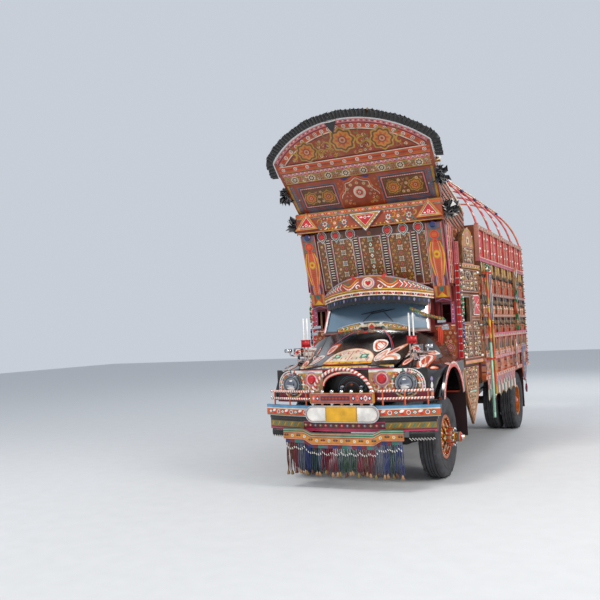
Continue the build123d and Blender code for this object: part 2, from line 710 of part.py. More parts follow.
def screen_outline(grow):
    """Windscreen outline, grown outwards by a distance."""
    with BuildLine() as outline:
        Polyline((-SCREEN_HALF_LOW - grow, -grow), (SCREEN_HALF_LOW + grow, -grow),
                 (SCREEN_HALF_TOP + grow, SCREEN_HEIGHT + grow),
                 (-SCREEN_HALF_TOP - grow, SCREEN_HEIGHT + grow), close=True)
    make_face(outline.edges())


def cab_half(y, inset=0.0):
    """Half width of the cab shell at a distance behind the front axle."""
    board_x = SIDE_FRONT_X + (y - SIDE_FRONT_Y) * tan(SIDE_TURN)
    return board_x - (BOARD_T + inset) / cos(SIDE_TURN)


def cab_plan(inset):
    """Plan of the cab shell, which widens to the rear."""
    front = CAB_FRONT_Y + inset
    rear = CAB_REAR_Y - inset
    with BuildLine() as outline:
        Polyline((-cab_half(front, inset), front), (cab_half(front, inset), front),
                 (cab_half(rear, inset), rear), (-cab_half(rear, inset), rear), close=True)
    make_face(outline.edges())


with BuildPart() as cab_shell:
    with BuildSketch(plan_plane(CAB_FLOOR - CAB_WALL)):
        cab_plan(0)
    extrude(amount=CAB_ROOF - CAB_FLOOR + CAB_WALL)
    with BuildSketch(plan_plane(CAB_FLOOR)):
        cab_plan(CAB_WALL)
    extrude(amount=CAB_ROOF - CAB_WALL - CAB_FLOOR, mode=Mode.SUBTRACT)
    block(-SCREEN_HALF_LOW, SCREEN_HALF_LOW, CAB_FRONT_Y - 5, CAB_FRONT_Y + CAB_WALL + 5,
          SCREEN_LOW_Z - 60, CAB_ROOF - CAB_WALL, mode=Mode.SUBTRACT)
    for side in (1, -1):
        side_slab(side, DOOR_START + 40, DOOR_END - 40, DOOR_LOW + 40, DOOR_TOP - 40, BOARD_T + CAB_WALL + 5,
                  BOARD_T - 5, mode=Mode.SUBTRACT)
        block(side * 925 - 60, side * 925 + 60, CAB_FRONT_Y - 5, CAB_FRONT_Y + CAB_WALL + 5, 1950, 2200,
              mode=Mode.SUBTRACT)
        cheek_x = side * (SCREEN_HALF_LOW + 15) - 15
        with BuildSketch(side_plane(cheek_x)):
            with BuildLine():
                Polyline((SCREEN_LOW_Y + 10, SCREEN_LOW_Z - 70), (CAB_FRONT_Y + 5, SCREEN_LOW_Z - 70),
                         (CAB_FRONT_Y + 5, SCREEN_TOP_Z + 10), (SCREEN_TOP_Y + 20, SCREEN_TOP_Z + 10),
                         (SCREEN_LOW_Y + 20, SCREEN_LOW_Z), close=True)
            make_face()
        extrude(amount=30)
    block(-SCREEN_HALF_LOW - 30, SCREEN_HALF_LOW + 30, SCREEN_TOP_Y + 25, CAB_FRONT_Y + 10,
          SCREEN_TOP_Z - 10, SCREEN_TOP_Z + 15)
    with BuildSketch(leaning_plane(SCREEN_LOW_Y, SCREEN_LOW_Z, SCREEN_LEAN)):
        screen_outline(FRAME_W)
    extrude(amount=-FRAME_T)
    cowl_face = bonnet_face(stretched(COWL_TOP, COWL_Y + BONNET_GAP), 0, 0)
    extrude(cowl_face, amount=-(CAB_FRONT_Y + 5 - COWL_Y - BONNET_GAP))
    block(-COWL_TOP[1], COWL_TOP[1], COWL_Y + BONNET_GAP, CAB_FRONT_Y + 5, 1500, COWL_TOP[2])
    block(-COWL_TOP[1] + SHEET, COWL_TOP[1] - SHEET, COWL_Y, CAB_FRONT_Y, 1490, COWL_TOP[2] - 20,
          mode=Mode.SUBTRACT)
    with BuildSketch(front_plane(COWL_Y + 45)):
        with BuildLine():
            Line((-520, 1880), (520, 1880))
            Line((520, 1880), (500, 1930))
            ThreePointArc((500, 1930), (0, 2010), (-500, 1930))
            Line((-500, 1930), (-520, 1880))
        make_face()
    extrude(amount=25)
    with BuildSketch(leaning_plane(SCREEN_LOW_Y, SCREEN_LOW_Z, SCREEN_LEAN)):
        screen_outline(0)
    extrude(amount=-FRAME_T - 20, mode=Mode.SUBTRACT)
    with BuildSketch(leaning_plane(SCREEN_LOW_Y, SCREEN_LOW_Z, SCREEN_LEAN)):
        screen_outline(0)
    extrude(amount=20, mode=Mode.SUBTRACT)
    for x in (-BONNET_PIN_X, BONNET_PIN_X):
        rod((x - 50, BONNET_PIN_Y, BONNET_PIN_Z), (x, BONNET_PIN_Y, BONNET_PIN_Z), 10)
        block(x - 50, x, COWL_Y + BONNET_GAP, COWL_Y + 45, 1912, BONNET_PIN_Z - 3)
        rod((x - 10, BONNET_PIN_Y, BONNET_PIN_Z), (x + 54, BONNET_PIN_Y, BONNET_PIN_Z), 5)
write(cab_shell, "cab_shell")

glass_plane = leaning_plane(SCREEN_LOW_Y, SCREEN_LOW_Z, SCREEN_LEAN).offset(-15)
with BuildPart() as windscreen:
    with BuildSketch(glass_plane):
        screen_outline(-SEAT)
    extrude(amount=-GLASS_T)
write(windscreen, "windscreen")

with BuildPart() as dashboard:
    block(-700, 700, CAB_FRONT_Y + CAB_WALL + SEAT, CAB_FRONT_Y + 200, 1640, 1800)
    wheel_centre = (-420, y_of(900), 1830)
    with BuildSketch(Plane(origin=wheel_centre, x_dir=(1, 0, 0), z_dir=(0, 0.62, 0.78))):
        Circle(35)
    extrude(amount=30)
    with BuildSketch(Plane(origin=wheel_centre, x_dir=(1, 0, 0), z_dir=(0, 0.62, 0.78))):
        Circle(240)
        Circle(210, mode=Mode.SUBTRACT)
        Rectangle(440, 30)
        Rectangle(30, 440)
    extrude(amount=24)
    rod((-420, CAB_FRONT_Y + 190, 1730), (-420, 912, 1845), 22)
write(dashboard, "dashboard")

BENCH_Y = 950.0
BENCH_HALF = cab_half(BENCH_Y, CAB_WALL) - 8
with BuildPart() as seat_bench:
    block(-BENCH_HALF, BENCH_HALF, BENCH_Y, CAB_REAR_Y - CAB_WALL - 10, CAB_FLOOR + SEAT, 1620)
    fillet(seat_bench.edges().group_by(Axis.Z)[-1], radius=40)
    block(-BENCH_HALF, BENCH_HALF, CAB_REAR_Y - CAB_WALL - 150, CAB_REAR_Y - CAB_WALL - 10, 1600, 2100)
write(seat_bench, "seat_bench")

# Door knuckles: the fixed ones carry the pin and the door's own turn round it
KNUCKLE_R = 8.0
KNUCKLE_LEAF = 40.0
DOOR_PIN_R = 4.0


def door_pin(side, low, high, radius, mode=Mode.ADD):
    """Add a round bar on the door's hinge line."""
    x, y = cab_point(side, DOOR_PIN_AT, DOOR_PIN_OUT)
    rod((x, y, low), (x, y, high), radius, mode=mode)


# Doors with a window each
WINDOW_LOW = 1950.0
WINDOW_IN = 50.0
WINDOW_LENGTH = 250.0
for name, side in SIDES:
    with BuildPart() as door:
        side_slab(side, DOOR_START, DOOR_END, DOOR_LOW, DOOR_TOP, DOOR_T, 0)
        side_slab(side, DOOR_START + WINDOW_IN, DOOR_START + WINDOW_IN + WINDOW_LENGTH, WINDOW_LOW,
                  DOOR_TOP - WINDOW_IN, DOOR_T + 5, -5, mode=Mode.SUBTRACT)
        for pin_z in DOOR_PIN_ZS:
            door_pin(side, pin_z + 40, pin_z + 80, KNUCKLE_R)
            side_slab(side, DOOR_START, DOOR_START + KNUCKLE_LEAF, pin_z + 40, pin_z + 80, 1, -6)
            door_pin(side, pin_z + 35, pin_z + 85, DOOR_PIN_R + RUN_GAP, mode=Mode.SUBTRACT)
    write(door, f"door_{name}")

# Corner boards: narrow upright boards at the cab's front corners, with the fixed knuckles
CORNER_LOW = 1460.0
CORNER_TOP = 3050.0
with BuildPart() as corner_boards:
    for side in (1, -1):
        side_slab(side, 0, CORNER_W, CORNER_LOW, CORNER_TOP, BOARD_T - SEAT, 0)
        for pin_z in DOOR_PIN_ZS:
            door_pin(side, pin_z, pin_z + 38, KNUCKLE_R)
            side_slab(side, CORNER_W - KNUCKLE_LEAF, CORNER_W, pin_z, pin_z + 38, 1, -6)
            door_pin(side, pin_z + 20, pin_z + 84, DOOR_PIN_R)
write(corner_boards, "corner_boards")

# Carved boards: over and behind each door with an oval on the ledge, and the pointed apron below
LEDGE_Z = 2720.0
BOARD_START = CORNER_W + SEAT
BOARD_END = (BODY_FRONT - 2 - SIDE_FRONT_Y) / cos(SIDE_TURN) - BOARD_T * tan(SIDE_TURN)
OVAL_START = 175.0
OVAL_END = 615.0
OVAL_TOP = 3260.0
APRON_T = 35.0
with BuildPart() as carved_boards:
    for side in (1, -1):
        with BuildSketch(cab_side(side, BOARD_T - SEAT)):
            with BuildLine():
                Line((BOARD_START, DOOR_TOP + 12), (DOOR_END + 8, DOOR_TOP + 12))
                Line((DOOR_END + 8, DOOR_TOP + 12), (DOOR_END + 8, DOOR_LOW))
                Line((DOOR_END + 8, DOOR_LOW), (BOARD_END, DOOR_LOW))
                Line((BOARD_END, DOOR_LOW), (BOARD_END, LEDGE_Z))
                Line((BOARD_END, LEDGE_Z), (OVAL_END, LEDGE_Z))
                Line((OVAL_END, LEDGE_Z), (OVAL_END, OVAL_TOP - 260))
                ThreePointArc((OVAL_END, OVAL_TOP - 260), ((OVAL_START + OVAL_END) / 2, OVAL_TOP),
                              (OVAL_START, OVAL_TOP - 260))
                Line((OVAL_START, OVAL_TOP - 260), (OVAL_START, LEDGE_Z))
                Line((OVAL_START, LEDGE_Z), (BOARD_START, LEDGE_Z))
                Line((BOARD_START, LEDGE_Z), (BOARD_START, DOOR_TOP + 12))
            make_face()
        extrude(amount=side * (BOARD_T - SEAT))
        side_slab(side, BOARD_START, DOOR_END, LEDGE_Z - 25, LEDGE_Z + 25, 5, -35)
        with BuildSketch(cab_side(side, BOARD_T - SEAT)):
            with BuildLine():
                Polyline((0, 1330), (40, 1130), (170, 790), (333, 540), (500, 790), (590, 1100),
                         (610, 1330), close=True)
            make_face()
        extrude(amount=side * APRON_T)
write(carved_boards, "carved_boards")


# Crown: leaning lower panel with pilasters and ladder strips
LOWER_HEIGHT = (LOWER_TOP_Z - FOOT_Z - LOWER_T * sin(radians(LOWER_LEAN))) / cos(radians(LOWER_LEAN))


def panel_front(z):
    """Y of the lower panel's face at a height."""
    return FOOT_Y - tan(radians(LOWER_LEAN)) * (z - FOOT_Z)


def panel_back(z):
    """Y just behind the lower panel at a height."""
    return panel_front(z) + LOWER_T / cos(radians(LOWER_LEAN)) + SEAT


NOTCH = 190.0
with BuildPart() as crown_panel:
    with BuildSketch(leaning_plane(FOOT_Y, FOOT_Z, LOWER_LEAN)):
        with BuildLine():
            Line((-PILASTER_OUT, 0), (-PILASTER_IN, 0))
            Line((-PILASTER_IN, 0), (-PILASTER_IN, NOTCH))
            ThreePointArc((-PILASTER_IN, NOTCH), (0, NOTCH + 60), (PILASTER_IN, NOTCH))
            Line((PILASTER_IN, NOTCH), (PILASTER_IN, 0))
            Line((PILASTER_IN, 0), (PILASTER_OUT, 0))
            Line((PILASTER_OUT, 0), (PILASTER_OUT, LOWER_HEIGHT))
            Line((PILASTER_OUT, LOWER_HEIGHT), (-PILASTER_OUT, LOWER_HEIGHT))
            Line((-PILASTER_OUT, LOWER_HEIGHT), (-PILASTER_OUT, 0))
        make_face()
    extrude(amount=-LOWER_T)
    with BuildSketch(leaning_plane(FOOT_Y, FOOT_Z, LOWER_LEAN)):
        for side in (1, -1):
            with Locations((side * (PILASTER_IN + PILASTER_OUT) / 2, LOWER_HEIGHT / 2 - 5)):
                Rectangle(PILASTER_OUT - PILASTER_IN, LOWER_HEIGHT - 10)
    extrude(amount=PILASTER_T)
    with BuildSketch(leaning_plane(FOOT_Y, FOOT_Z, LOWER_LEAN)):
        with Locations(*[(x, 700) for x in (-620, -206, 206, 620)]):
            Rectangle(70, 620)
    extrude(amount=12)
write(crown_panel, "crown_panel")

# Visor: bowed board over the windscreen with a deck behind it
VISOR_HALF = PILASTER_IN - SEAT
VISOR_EDGE_Y = 462.0
VISOR_MID_Y = 110.0
VISOR_LOW = 2285.0
VISOR_TOP = 2640.0
VISOR_DECK = 2480.0
with BuildPart() as visor:
    bow(VISOR_HALF, VISOR_EDGE_Y, VISOR_MID_Y, SHEET, VISOR_LOW, VISOR_TOP)
    with BuildSketch(front_plane(600)):
        with BuildLine():
            Line((-900, VISOR_LOW - 100), (900, VISOR_LOW - 100))
            Line((900, VISOR_LOW - 100), (900, VISOR_LOW - 20))
            ThreePointArc((900, VISOR_LOW - 20), (0, VISOR_LOW + 80), (-900, VISOR_LOW - 20))
            Line((-900, VISOR_LOW - 20), (-900, VISOR_LOW - 100))
        make_face()
        with BuildLine():
            Line((-900, VISOR_TOP + 100), (900, VISOR_TOP + 100))
            Line((900, VISOR_TOP + 100), (900, VISOR_TOP - 300))
            ThreePointArc((900, VISOR_TOP - 300), (0, VISOR_TOP), (-900, VISOR_TOP - 300))
            Line((-900, VISOR_TOP - 300), (-900, VISOR_TOP + 100))
        make_face()
    extrude(amount=700, mode=Mode.SUBTRACT)
    deck_back = panel_front(VISOR_DECK + 20) - SEAT
    deck_half = 760.0
    deck_edge = arc_at(deck_half, VISOR_HALF, VISOR_EDGE_Y, VISOR_MID_Y) + SHEET / 2
    with BuildSketch(plan_plane(VISOR_DECK)):
        with BuildLine():
            ThreePointArc((-deck_half, deck_edge), (0, VISOR_MID_Y + SHEET / 2), (deck_half, deck_edge))
            Line((deck_half, deck_edge), (deck_half, deck_back))
            Line((deck_half, deck_back), (-deck_half, deck_back))
            Line((-deck_half, deck_back), (-deck_half, deck_edge))
        make_face()
    extrude(amount=20)
write(visor, "visor")

# Cornice: pentagon moulding under the upper box, with a shield and two gables
CORNICE_FRONT = 150.0
slope = tan(radians(90 - UPPER_LEAN))
with BuildPart() as cornice:
    low = LOWER_TOP_Z + SEAT
    back = 300.0
    with BuildSketch(side_plane(-1050)):
        with BuildLine():
            Polyline((CORNICE_FRONT, low), (back, low),
                     (back, UPPER_Z - (back - UPPER_Y) / slope - 1), (UPPER_Y - SEAT, UPPER_Z - 1),
                     (CORNICE_FRONT, UPPER_Z - 1), close=True)
        make_face()
    extrude(amount=2100)
    with BuildSketch(front_plane(CORNICE_FRONT)):
        with BuildLine():
            Polyline((-240, 3500), (0, 3240), (240, 3500), close=True)
        make_face()
        for side in (1, -1):
            with BuildLine():
                Polyline((side * 705, 3345), (side * 880, 3590), (side * 1065, 3345), close=True)
            make_face()
    extrude(amount=28)
    with BuildSketch(front_plane(CORNICE_FRONT)):
        with Locations((0, 3545)):
            Rectangle(2100, 50)
    extrude(amount=22)
write(cornice, "cornice")


# Upper box: arched front board, sides and floor, open at the back, with joists to the load body
upper_plane = leaning_plane(UPPER_Y, UPPER_Z, UPPER_LEAN)


def upper_outline(inset):
    with BuildLine() as outline:
        Line((-UPPER_HALF_LOW + inset, inset), (UPPER_HALF_LOW - inset, inset))
        Line((UPPER_HALF_LOW - inset, inset), (UPPER_HALF_TOP - inset, ARCH_START))
        ThreePointArc((UPPER_HALF_TOP - inset, ARCH_START), (0, ARCH_APEX - inset),
                      (-UPPER_HALF_TOP + inset, ARCH_START))
        Line((-UPPER_HALF_TOP + inset, ARCH_START), (-UPPER_HALF_LOW + inset, inset))
    make_face(outline.edges())


JOIST_TOP = 3110.0
UPPER_RIM = 150.0
CHEEK_OUT = 1030.0
CHEEK_IN = 1000.0
with BuildPart() as crown_box:
    with BuildSketch(upper_plane):
        upper_outline(0)
    extrude(amount=-UPPER_RIM)
    with BuildSketch(upper_plane.offset(-UPPER_T)):
        upper_outline(UPPER_T)
    extrude(amount=-UPPER_RIM, mode=Mode.SUBTRACT)
    for side in (1, -1):
        near = side * CHEEK_IN if side > 0 else -CHEEK_OUT
        with BuildSketch(side_plane(near)):
            with BuildLine():
                Polyline((panel_back(CAB_ROOF + SEAT), CAB_ROOF + SEAT), (BODY_FRONT - SEAT, CAB_ROOF + SEAT),
                         (BODY_FRONT - SEAT, 3560), (1200, 3670), (700, 3800), (-215, 4040),
                         (UPPER_Y + 15, UPPER_Z), (310, 3510), (310, LOWER_TOP_Z),
                         (panel_back(LOWER_TOP_Z), LOWER_TOP_Z), close=True)
            make_face()
        extrude(amount=CHEEK_OUT - CHEEK_IN)
        rod((side * 600, -580, 4440), (side * 600, BODY_FRONT - 20, 3250), 22)
    for joist_y in (380, 880, BODY_FRONT - SEAT - 60):
        block(-CHEEK_OUT, CHEEK_OUT, joist_y, joist_y + 60, JOIST_TOP - 40, JOIST_TOP)
write(crown_box, "crown_box")

# Black pleated trim round the arch, as a plain band
with BuildPart() as crown_trim:
    with BuildSketch(upper_plane.offset(-60)):
        out_x = UPPER_HALF_TOP + TRIM_W * 0.8
        in_x = UPPER_HALF_TOP + SEAT
        with BuildLine():
            Line((-in_x, 640), (-out_x, 640))
            Line((-out_x, 640), (-out_x, ARCH_START + 40))
            ThreePointArc((-out_x, ARCH_START + 40), (0, ARCH_APEX + TRIM_W), (out_x, ARCH_START + 40))
            Line((out_x, ARCH_START + 40), (out_x, 640))
            Line((out_x, 640), (in_x, 640))
            Line((in_x, 640), (in_x, ARCH_START))
            ThreePointArc((in_x, ARCH_START), (0, ARCH_APEX + SEAT), (-in_x, ARCH_START))
            Line((-in_x, ARCH_START), (-in_x, 640))
        make_face()
    extrude(amount=80)
write(crown_trim, "crown_trim")

# Marker lamps: red and blue discs on the crown and red discs on the nose
with BuildPart() as marker_lamps:
    lamp_up = (3268 - FOOT_Z) / cos(radians(LOWER_LEAN))
    with BuildSketch(leaning_plane(FOOT_Y, FOOT_Z, LOWER_LEAN).offset(SEAT)):
        with Locations(*[(side * x, lamp_up - 25) for side in (1, -1) for x in (270, 490, 700)]):
            Circle(42)
    extrude(amount=22)
    with BuildSketch(leaning_plane(FOOT_Y, FOOT_Z, LOWER_LEAN).offset(PILASTER_T + SEAT)):
        with Locations(*[(side * 910, lamp_up - 10) for side in (1, -1)]):
            Circle(42)
    extrude(amount=22)
    disc_y = arc_at(MARKER_X - MARKER_R, NOSE_HALF, NOSE_EDGE_Y, NOSE_MID_Y) - SEAT
    with BuildSketch(front_plane(disc_y)):
        with Locations((-MARKER_X, MARKER_Z), (MARKER_X, MARKER_Z)):
            Circle(MARKER_R)
    extrude(amount=25)
write(marker_lamps, "marker_lamps")


# Load floor on two sills, with the raised planking that carries the load
PLANK_TOP = FLOOR_TOP + 12.0
with BuildPart() as cargo_floor:
    block(-BODY_HALF, BODY_HALF, BODY_FRONT, BODY_REAR, FLOOR_LOW, FLOOR_TOP)
    block(-BODY_HALF + 10, BODY_HALF - 10, BODY_FRONT + 50, BODY_REAR - 70, FLOOR_TOP - 1, PLANK_TOP)
    for side in (1, -1):
        block(side * SPRING_X - 36, side * SPRING_X + 36, BODY_FRONT, BODY_REAR - 130, RAIL_TOP + SEAT,
              FLOOR_LOW)
    for x in GATE_PIN_XS:
        rod((x - 60, GATE_PIN_Y, GATE_PIN_Z), (x, GATE_PIN_Y, GATE_PIN_Z), 9)
        block(x - 60, x, BODY_REAR - 2, BODY_REAR + 6, FLOOR_LOW + 20, GATE_PIN_Z - 3)
        rod((x - 10, GATE_PIN_Y, GATE_PIN_Z), (x + 64, GATE_PIN_Y, GATE_PIN_Z), 5)
write(cargo_floor, "cargo_floor")

with BuildPart() as front_wall:
    block(-BODY_HALF, BODY_HALF, BODY_FRONT, BODY_FRONT + 40, FLOOR_TOP + SEAT, SIDE_TOP)
write(front_wall, "front_wall")

# Sides: inner wall, posts at the bays, rails, turned spindles and the wheel arch piece
SIDE_IN = BODY_HALF + SEAT
SIDE_FRONT = BODY_FRONT + 10.0
SIDE_REAR = BODY_REAR - 20.0
POST_W = 60.0
RAILS = ((SIDE_LOW, 1160.0), (1370.0, 1420.0), (1700.0, 1770.0), (2010.0, 2060.0), (2330.0, 2380.0),
         (2830.0, 2890.0), (3300.0, SIDE_TOP))
TIERS = ((1770.0, 2010.0), (2060.0, 2330.0), (2380.0, 2830.0))
SPINDLE_X = SIDE_IN + WALL_T + 6.0
with BuildPart() as spindle_row:
    for low, top in TIERS:
        third = (top - low) / 3
        with BuildSketch(Plane.XZ):
            with BuildLine():
                Polyline((0, low - 3), (20, low - 3), (26, low + third), (13, low + 1.5 * third),
                         (26, low + 2 * third), (18, top + 3), (0, top + 3), close=True)
            make_face()
        revolve(axis=Axis.Z)

flap_y = WHEELBASE + 310.0
scroll_y = WHEELBASE - 630.0
with BuildPart() as cargo_sides:
    block(SIDE_IN, SIDE_IN + WALL_T, SIDE_FRONT, SIDE_REAR, SIDE_LOW, SIDE_TOP)
    for low, top in RAILS:
        block(SIDE_IN, POST_OUT, SIDE_FRONT, SIDE_REAR, low, top)
    bay = (SIDE_REAR - SIDE_FRONT - POST_W) / BAYS
    post_x = (SIDE_IN + POST_OUT) / 2
    post_z = (SIDE_LOW + SIDE_TOP - 20) / 2
    with Locations(*[(post_x, y_of(SIDE_FRONT + POST_W / 2 + i * bay), post_z) for i in range(BAYS + 1)]):
        Box(POST_OUT - SIDE_IN, POST_W, SIDE_TOP - 20 - SIDE_LOW)
    with Locations(*[(SPINDLE_X, y_of(SIDE_FRONT + POST_W / 2 + (i + 0.5 + offset) * bay), 0)
                     for i in range(BAYS) for offset in (-0.2, 0.2)]):
        add(spindle_row.part)
    with BuildSketch(side_plane(POST_OUT - 8)):
        with BuildLine():
            Polyline((flap_y - 230, 1530), (flap_y - 230, 1060), (flap_y - 120, 900), (flap_y, 830),
                     (flap_y + 120, 900), (flap_y + 230, 1060), (flap_y + 230, 1530), close=True)
        make_face()
        with BuildLine():
            Line((scroll_y, 1105), (scroll_y, 1420))
            ThreePointArc((scroll_y, 1420), (scroll_y + 80, 1620), (scroll_y + 240, 1560))
            ThreePointArc((scroll_y + 240, 1560), (scroll_y + 130, 1400), (scroll_y + 120, 1105))
            Line((scroll_y + 120, 1105), (scroll_y, 1105))
        make_face()
    extrude(amount=16)
    mirror(about=Plane.YZ)
write(cargo_sides, "cargo_sides")

# Rear frame with its header, and the drop tailgate
with BuildPart() as rear_frame:
    frame_out = BODY_HALF
    block(-frame_out, frame_out, BODY_REAR - 60, BODY_REAR, FLOOR_TOP + SEAT, SIDE_TOP)
    block(-GATE_HALF - DOOR_GAP, GATE_HALF + DOOR_GAP, BODY_REAR - 65, BODY_REAR + 5, FLOOR_TOP, 2700,
          mode=Mode.SUBTRACT)
    with BuildSketch(front_plane(BODY_REAR + 5)):
        with BuildLine():
            Line((-GATE_HALF - DOOR_GAP, 2690), (GATE_HALF + DOOR_GAP, 2690))
            ThreePointArc((GATE_HALF + DOOR_GAP, 2690), (0, 2990), (-GATE_HALF - DOOR_GAP, 2690))
        make_face()
    extrude(amount=80, mode=Mode.SUBTRACT)
write(rear_frame, "rear_frame")

with BuildPart() as tailgate:
    gate_low = FLOOR_TOP + 10
    block(-GATE_HALF, GATE_HALF, BODY_REAR - 10 - GATE_T + 15, BODY_REAR - 10, gate_low, GATE_TOP)
    for low in (gate_low, 1590.0, GATE_TOP - 70):
        block(-GATE_HALF, GATE_HALF, BODY_REAR - 12, BODY_REAR, low, low + 70)
    for x in (-GATE_HALF + 35, -350, 350, GATE_HALF - 35):
        block(x - 35, x + 35, BODY_REAR - 12, BODY_REAR, gate_low, GATE_TOP)
    for x in GATE_PIN_XS:
        rod((x + 2, GATE_PIN_Y, GATE_PIN_Z), (x + 62, GATE_PIN_Y, GATE_PIN_Z), 9)
        block(x + 2, x + 62, BODY_REAR - 2, BODY_REAR + 6, gate_low, gate_low + 60)
        rod((x, GATE_PIN_Y, GATE_PIN_Z), (x + 64, GATE_PIN_Y, GATE_PIN_Z), 5 + RUN_GAP, mode=Mode.SUBTRACT)
write(tailgate, "tailgate")

# Roof hoops on foot blocks, and the stringers that lie on them
HOOPS = 5
HOOP_INSET = 30.0
HOOP_X = POST_OUT - HOOP_INSET
HOOP_FOOT = SIDE_TOP + SEAT
STRINGER_X = 800.0
STRINGER_R = 12.0
hoop_step = (SIDE_REAR - SIDE_FRONT - 100) / (HOOPS - 1)
hoop_curve = arc_radius(HOOP_X, HOOP_APEX - HOOP_FOOT - 15)
with BuildPart() as roof_hoops:
    for i in range(HOOPS):
        hoop_y = SIDE_FRONT + 50 + i * hoop_step
        with BuildLine(front_plane(hoop_y)) as hoop_line:
            ThreePointArc((-HOOP_X, HOOP_FOOT + 15), (0, HOOP_APEX), (HOOP_X, HOOP_FOOT + 15))
        with BuildSketch(Plane(origin=hoop_line.line @ 0, z_dir=hoop_line.line % 0)):
            Circle(HOOP_R)
        sweep(path=hoop_line.line)
        for side in (1, -1):
            with Locations((side * HOOP_X, y_of(hoop_y), HOOP_FOOT + 12)):
                Box(56, 60, 24)
write(roof_hoops, "roof_hoops")

with BuildPart() as roof_stringers:
    rest_curve = hoop_curve + HOOP_R + STRINGER_R + SEAT
    for x in (-STRINGER_X, 0.0, STRINGER_X):
        z = HOOP_APEX - hoop_curve + sqrt(rest_curve ** 2 - x ** 2)
        rod((x, SIDE_FRONT + 20, z), (x, SIDE_REAR - 20, z), STRINGER_R)
write(roof_stringers, "roof_stringers")

# Pole racks on both sides: two poles held by two brackets
POLE_TABLE = ((1560.0, 560.0, 2740.0), (1780.0, 880.0, 2720.0))
with BuildPart() as poles:
    for side in (1, -1):
        for pole_y, low, top in POLE_TABLE:
            rod((side * POLE_X, pole_y, low), (side * POLE_X, pole_y, top), POLE_R)
        near, far = sorted((side * (POST_OUT + SEAT), side * (POLE_X - POLE_R / 2)))
        for low in (1385.0, 2640.0):
            block(near, far, 1530, 1810, low, low + 40)
write(poles, "poles")

# Mudflaps hung under the floor and the cab
with BuildPart() as mudflaps:
    for side in (1, -1):
        near, far = sorted((side * 600, side * 1150))
        block(near, far, WHEELBASE + 610, WHEELBASE + 622, 320, FLOOR_LOW - SEAT)
        near, far = sorted((side * 700, side * 1120))
        block(near, far, CAB_FRONT_Y + 10, CAB_FRONT_Y + 22, 440, CAB_FLOOR - CAB_WALL - SEAT)
write(mudflaps, "mudflaps")

# Tail bar with lamps and two hanging lozenges at the corners
with BuildPart() as tail_bar:
    block(-1000, 1000, RAIL_REAR + 30, RAIL_REAR + 100, 780, 900)
    for side in (1, -1):
        block(side * SPRING_X - 30, side * SPRING_X + 30, RAIL_REAR + SEAT, RAIL_REAR + 40, 740, 940)
        for x in (760, 900):
            rod((side * x, RAIL_REAR + 90, 840), (side * x, RAIL_REAR + 125, 840), 42)
        hang_y = OVERALL_LENGTH - FRONT_OVERHANG - 80
        rod((side * 990, RAIL_REAR + 65, 860), (side * 1140, hang_y, 800), 10)
        rod((side * 1140, hang_y, 805), (side * 1140, hang_y, 700), 6)
        with BuildSketch(side_plane(side * 1140 - 14)):
            with Locations((hang_y, 640)):
                RegularPolygon(80, 4)
        extrude(amount=28)
write(tail_bar, "tail_bar")
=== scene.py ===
import random
from math import asin, atan2, cos, degrees, pi, radians, sin, sqrt

import bpy
from mathutils import Matrix, Vector
from mathutils.bvhtree import BVHTree


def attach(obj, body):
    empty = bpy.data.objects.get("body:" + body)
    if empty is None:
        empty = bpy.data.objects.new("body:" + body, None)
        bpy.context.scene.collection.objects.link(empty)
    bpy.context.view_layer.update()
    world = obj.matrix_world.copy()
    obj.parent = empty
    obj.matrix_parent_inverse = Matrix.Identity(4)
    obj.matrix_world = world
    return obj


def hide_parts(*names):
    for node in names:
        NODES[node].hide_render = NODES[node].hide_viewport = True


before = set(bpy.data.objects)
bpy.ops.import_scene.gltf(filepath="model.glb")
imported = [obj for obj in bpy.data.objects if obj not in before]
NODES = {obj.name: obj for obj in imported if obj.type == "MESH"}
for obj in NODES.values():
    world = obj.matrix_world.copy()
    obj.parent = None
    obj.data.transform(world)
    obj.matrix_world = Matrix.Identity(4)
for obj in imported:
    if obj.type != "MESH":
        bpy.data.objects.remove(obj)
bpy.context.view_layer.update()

F = -2.315          # front axle, metres from the middle of the length
REAR = 2.295        # rear axle

# camera and light
yaw, pitch, roll = radians(-25.648), radians(2.678), radians(-2.642)
forward = Vector((sin(yaw) * cos(pitch), cos(yaw) * cos(pitch), sin(pitch)))
level = Vector((cos(yaw), -sin(yaw), 0))
up = level.cross(forward)
right = level * cos(roll) + up * sin(roll)
up = -level * sin(roll) + up * cos(roll)
camera = bpy.data.objects.new("camera", bpy.data.cameras.new("camera"))
bpy.context.scene.collection.objects.link(camera)
camera.data.sensor_width = 36.0
camera.data.lens = 726.80 / 600 * 36.0
camera.data.clip_end = 200
camera.matrix_world = Matrix.Translation((3.4051, -11.4433, 1.8885)) @ Matrix(
    (right, up, -forward)).transposed().to_4x4()
scene = bpy.context.scene
scene.camera = camera
scene.view_settings.view_transform = "Standard"
world = bpy.data.worlds.new("studio")
scene.world = world
world.use_nodes = True
world.node_tree.nodes["Background"].inputs[0].default_value = (0.80, 0.86, 0.95, 1)
world.node_tree.nodes["Background"].inputs[1].default_value = 0.72


def area_light(name, place, target, size, power, colour=(1, 1, 1)):
    data = bpy.data.lights.new(name, "AREA")
    data.shape = "DISK"
    data.size = size
    data.energy = power
    data.color = colour
    lamp = bpy.data.objects.new(name, data)
    scene.collection.objects.link(lamp)
    lamp.location = place
    lamp.rotation_mode = "QUATERNION"
    lamp.rotation_quaternion = (Vector(target) - Vector(place)).to_track_quat("-Z", "Y")


area_light("key", (-3.5, -12.5, 14), (0, -1.5, 1.5), 4.5, 1500, (1.0, 0.96, 0.90))
area_light("fill", (12, -5, 7), (0, 0, 1.6), 6.0, 1050, (1.0, 0.95, 0.88))
area_light("back", (2, 13, 10), (0, 1, 2), 6.0, 500)


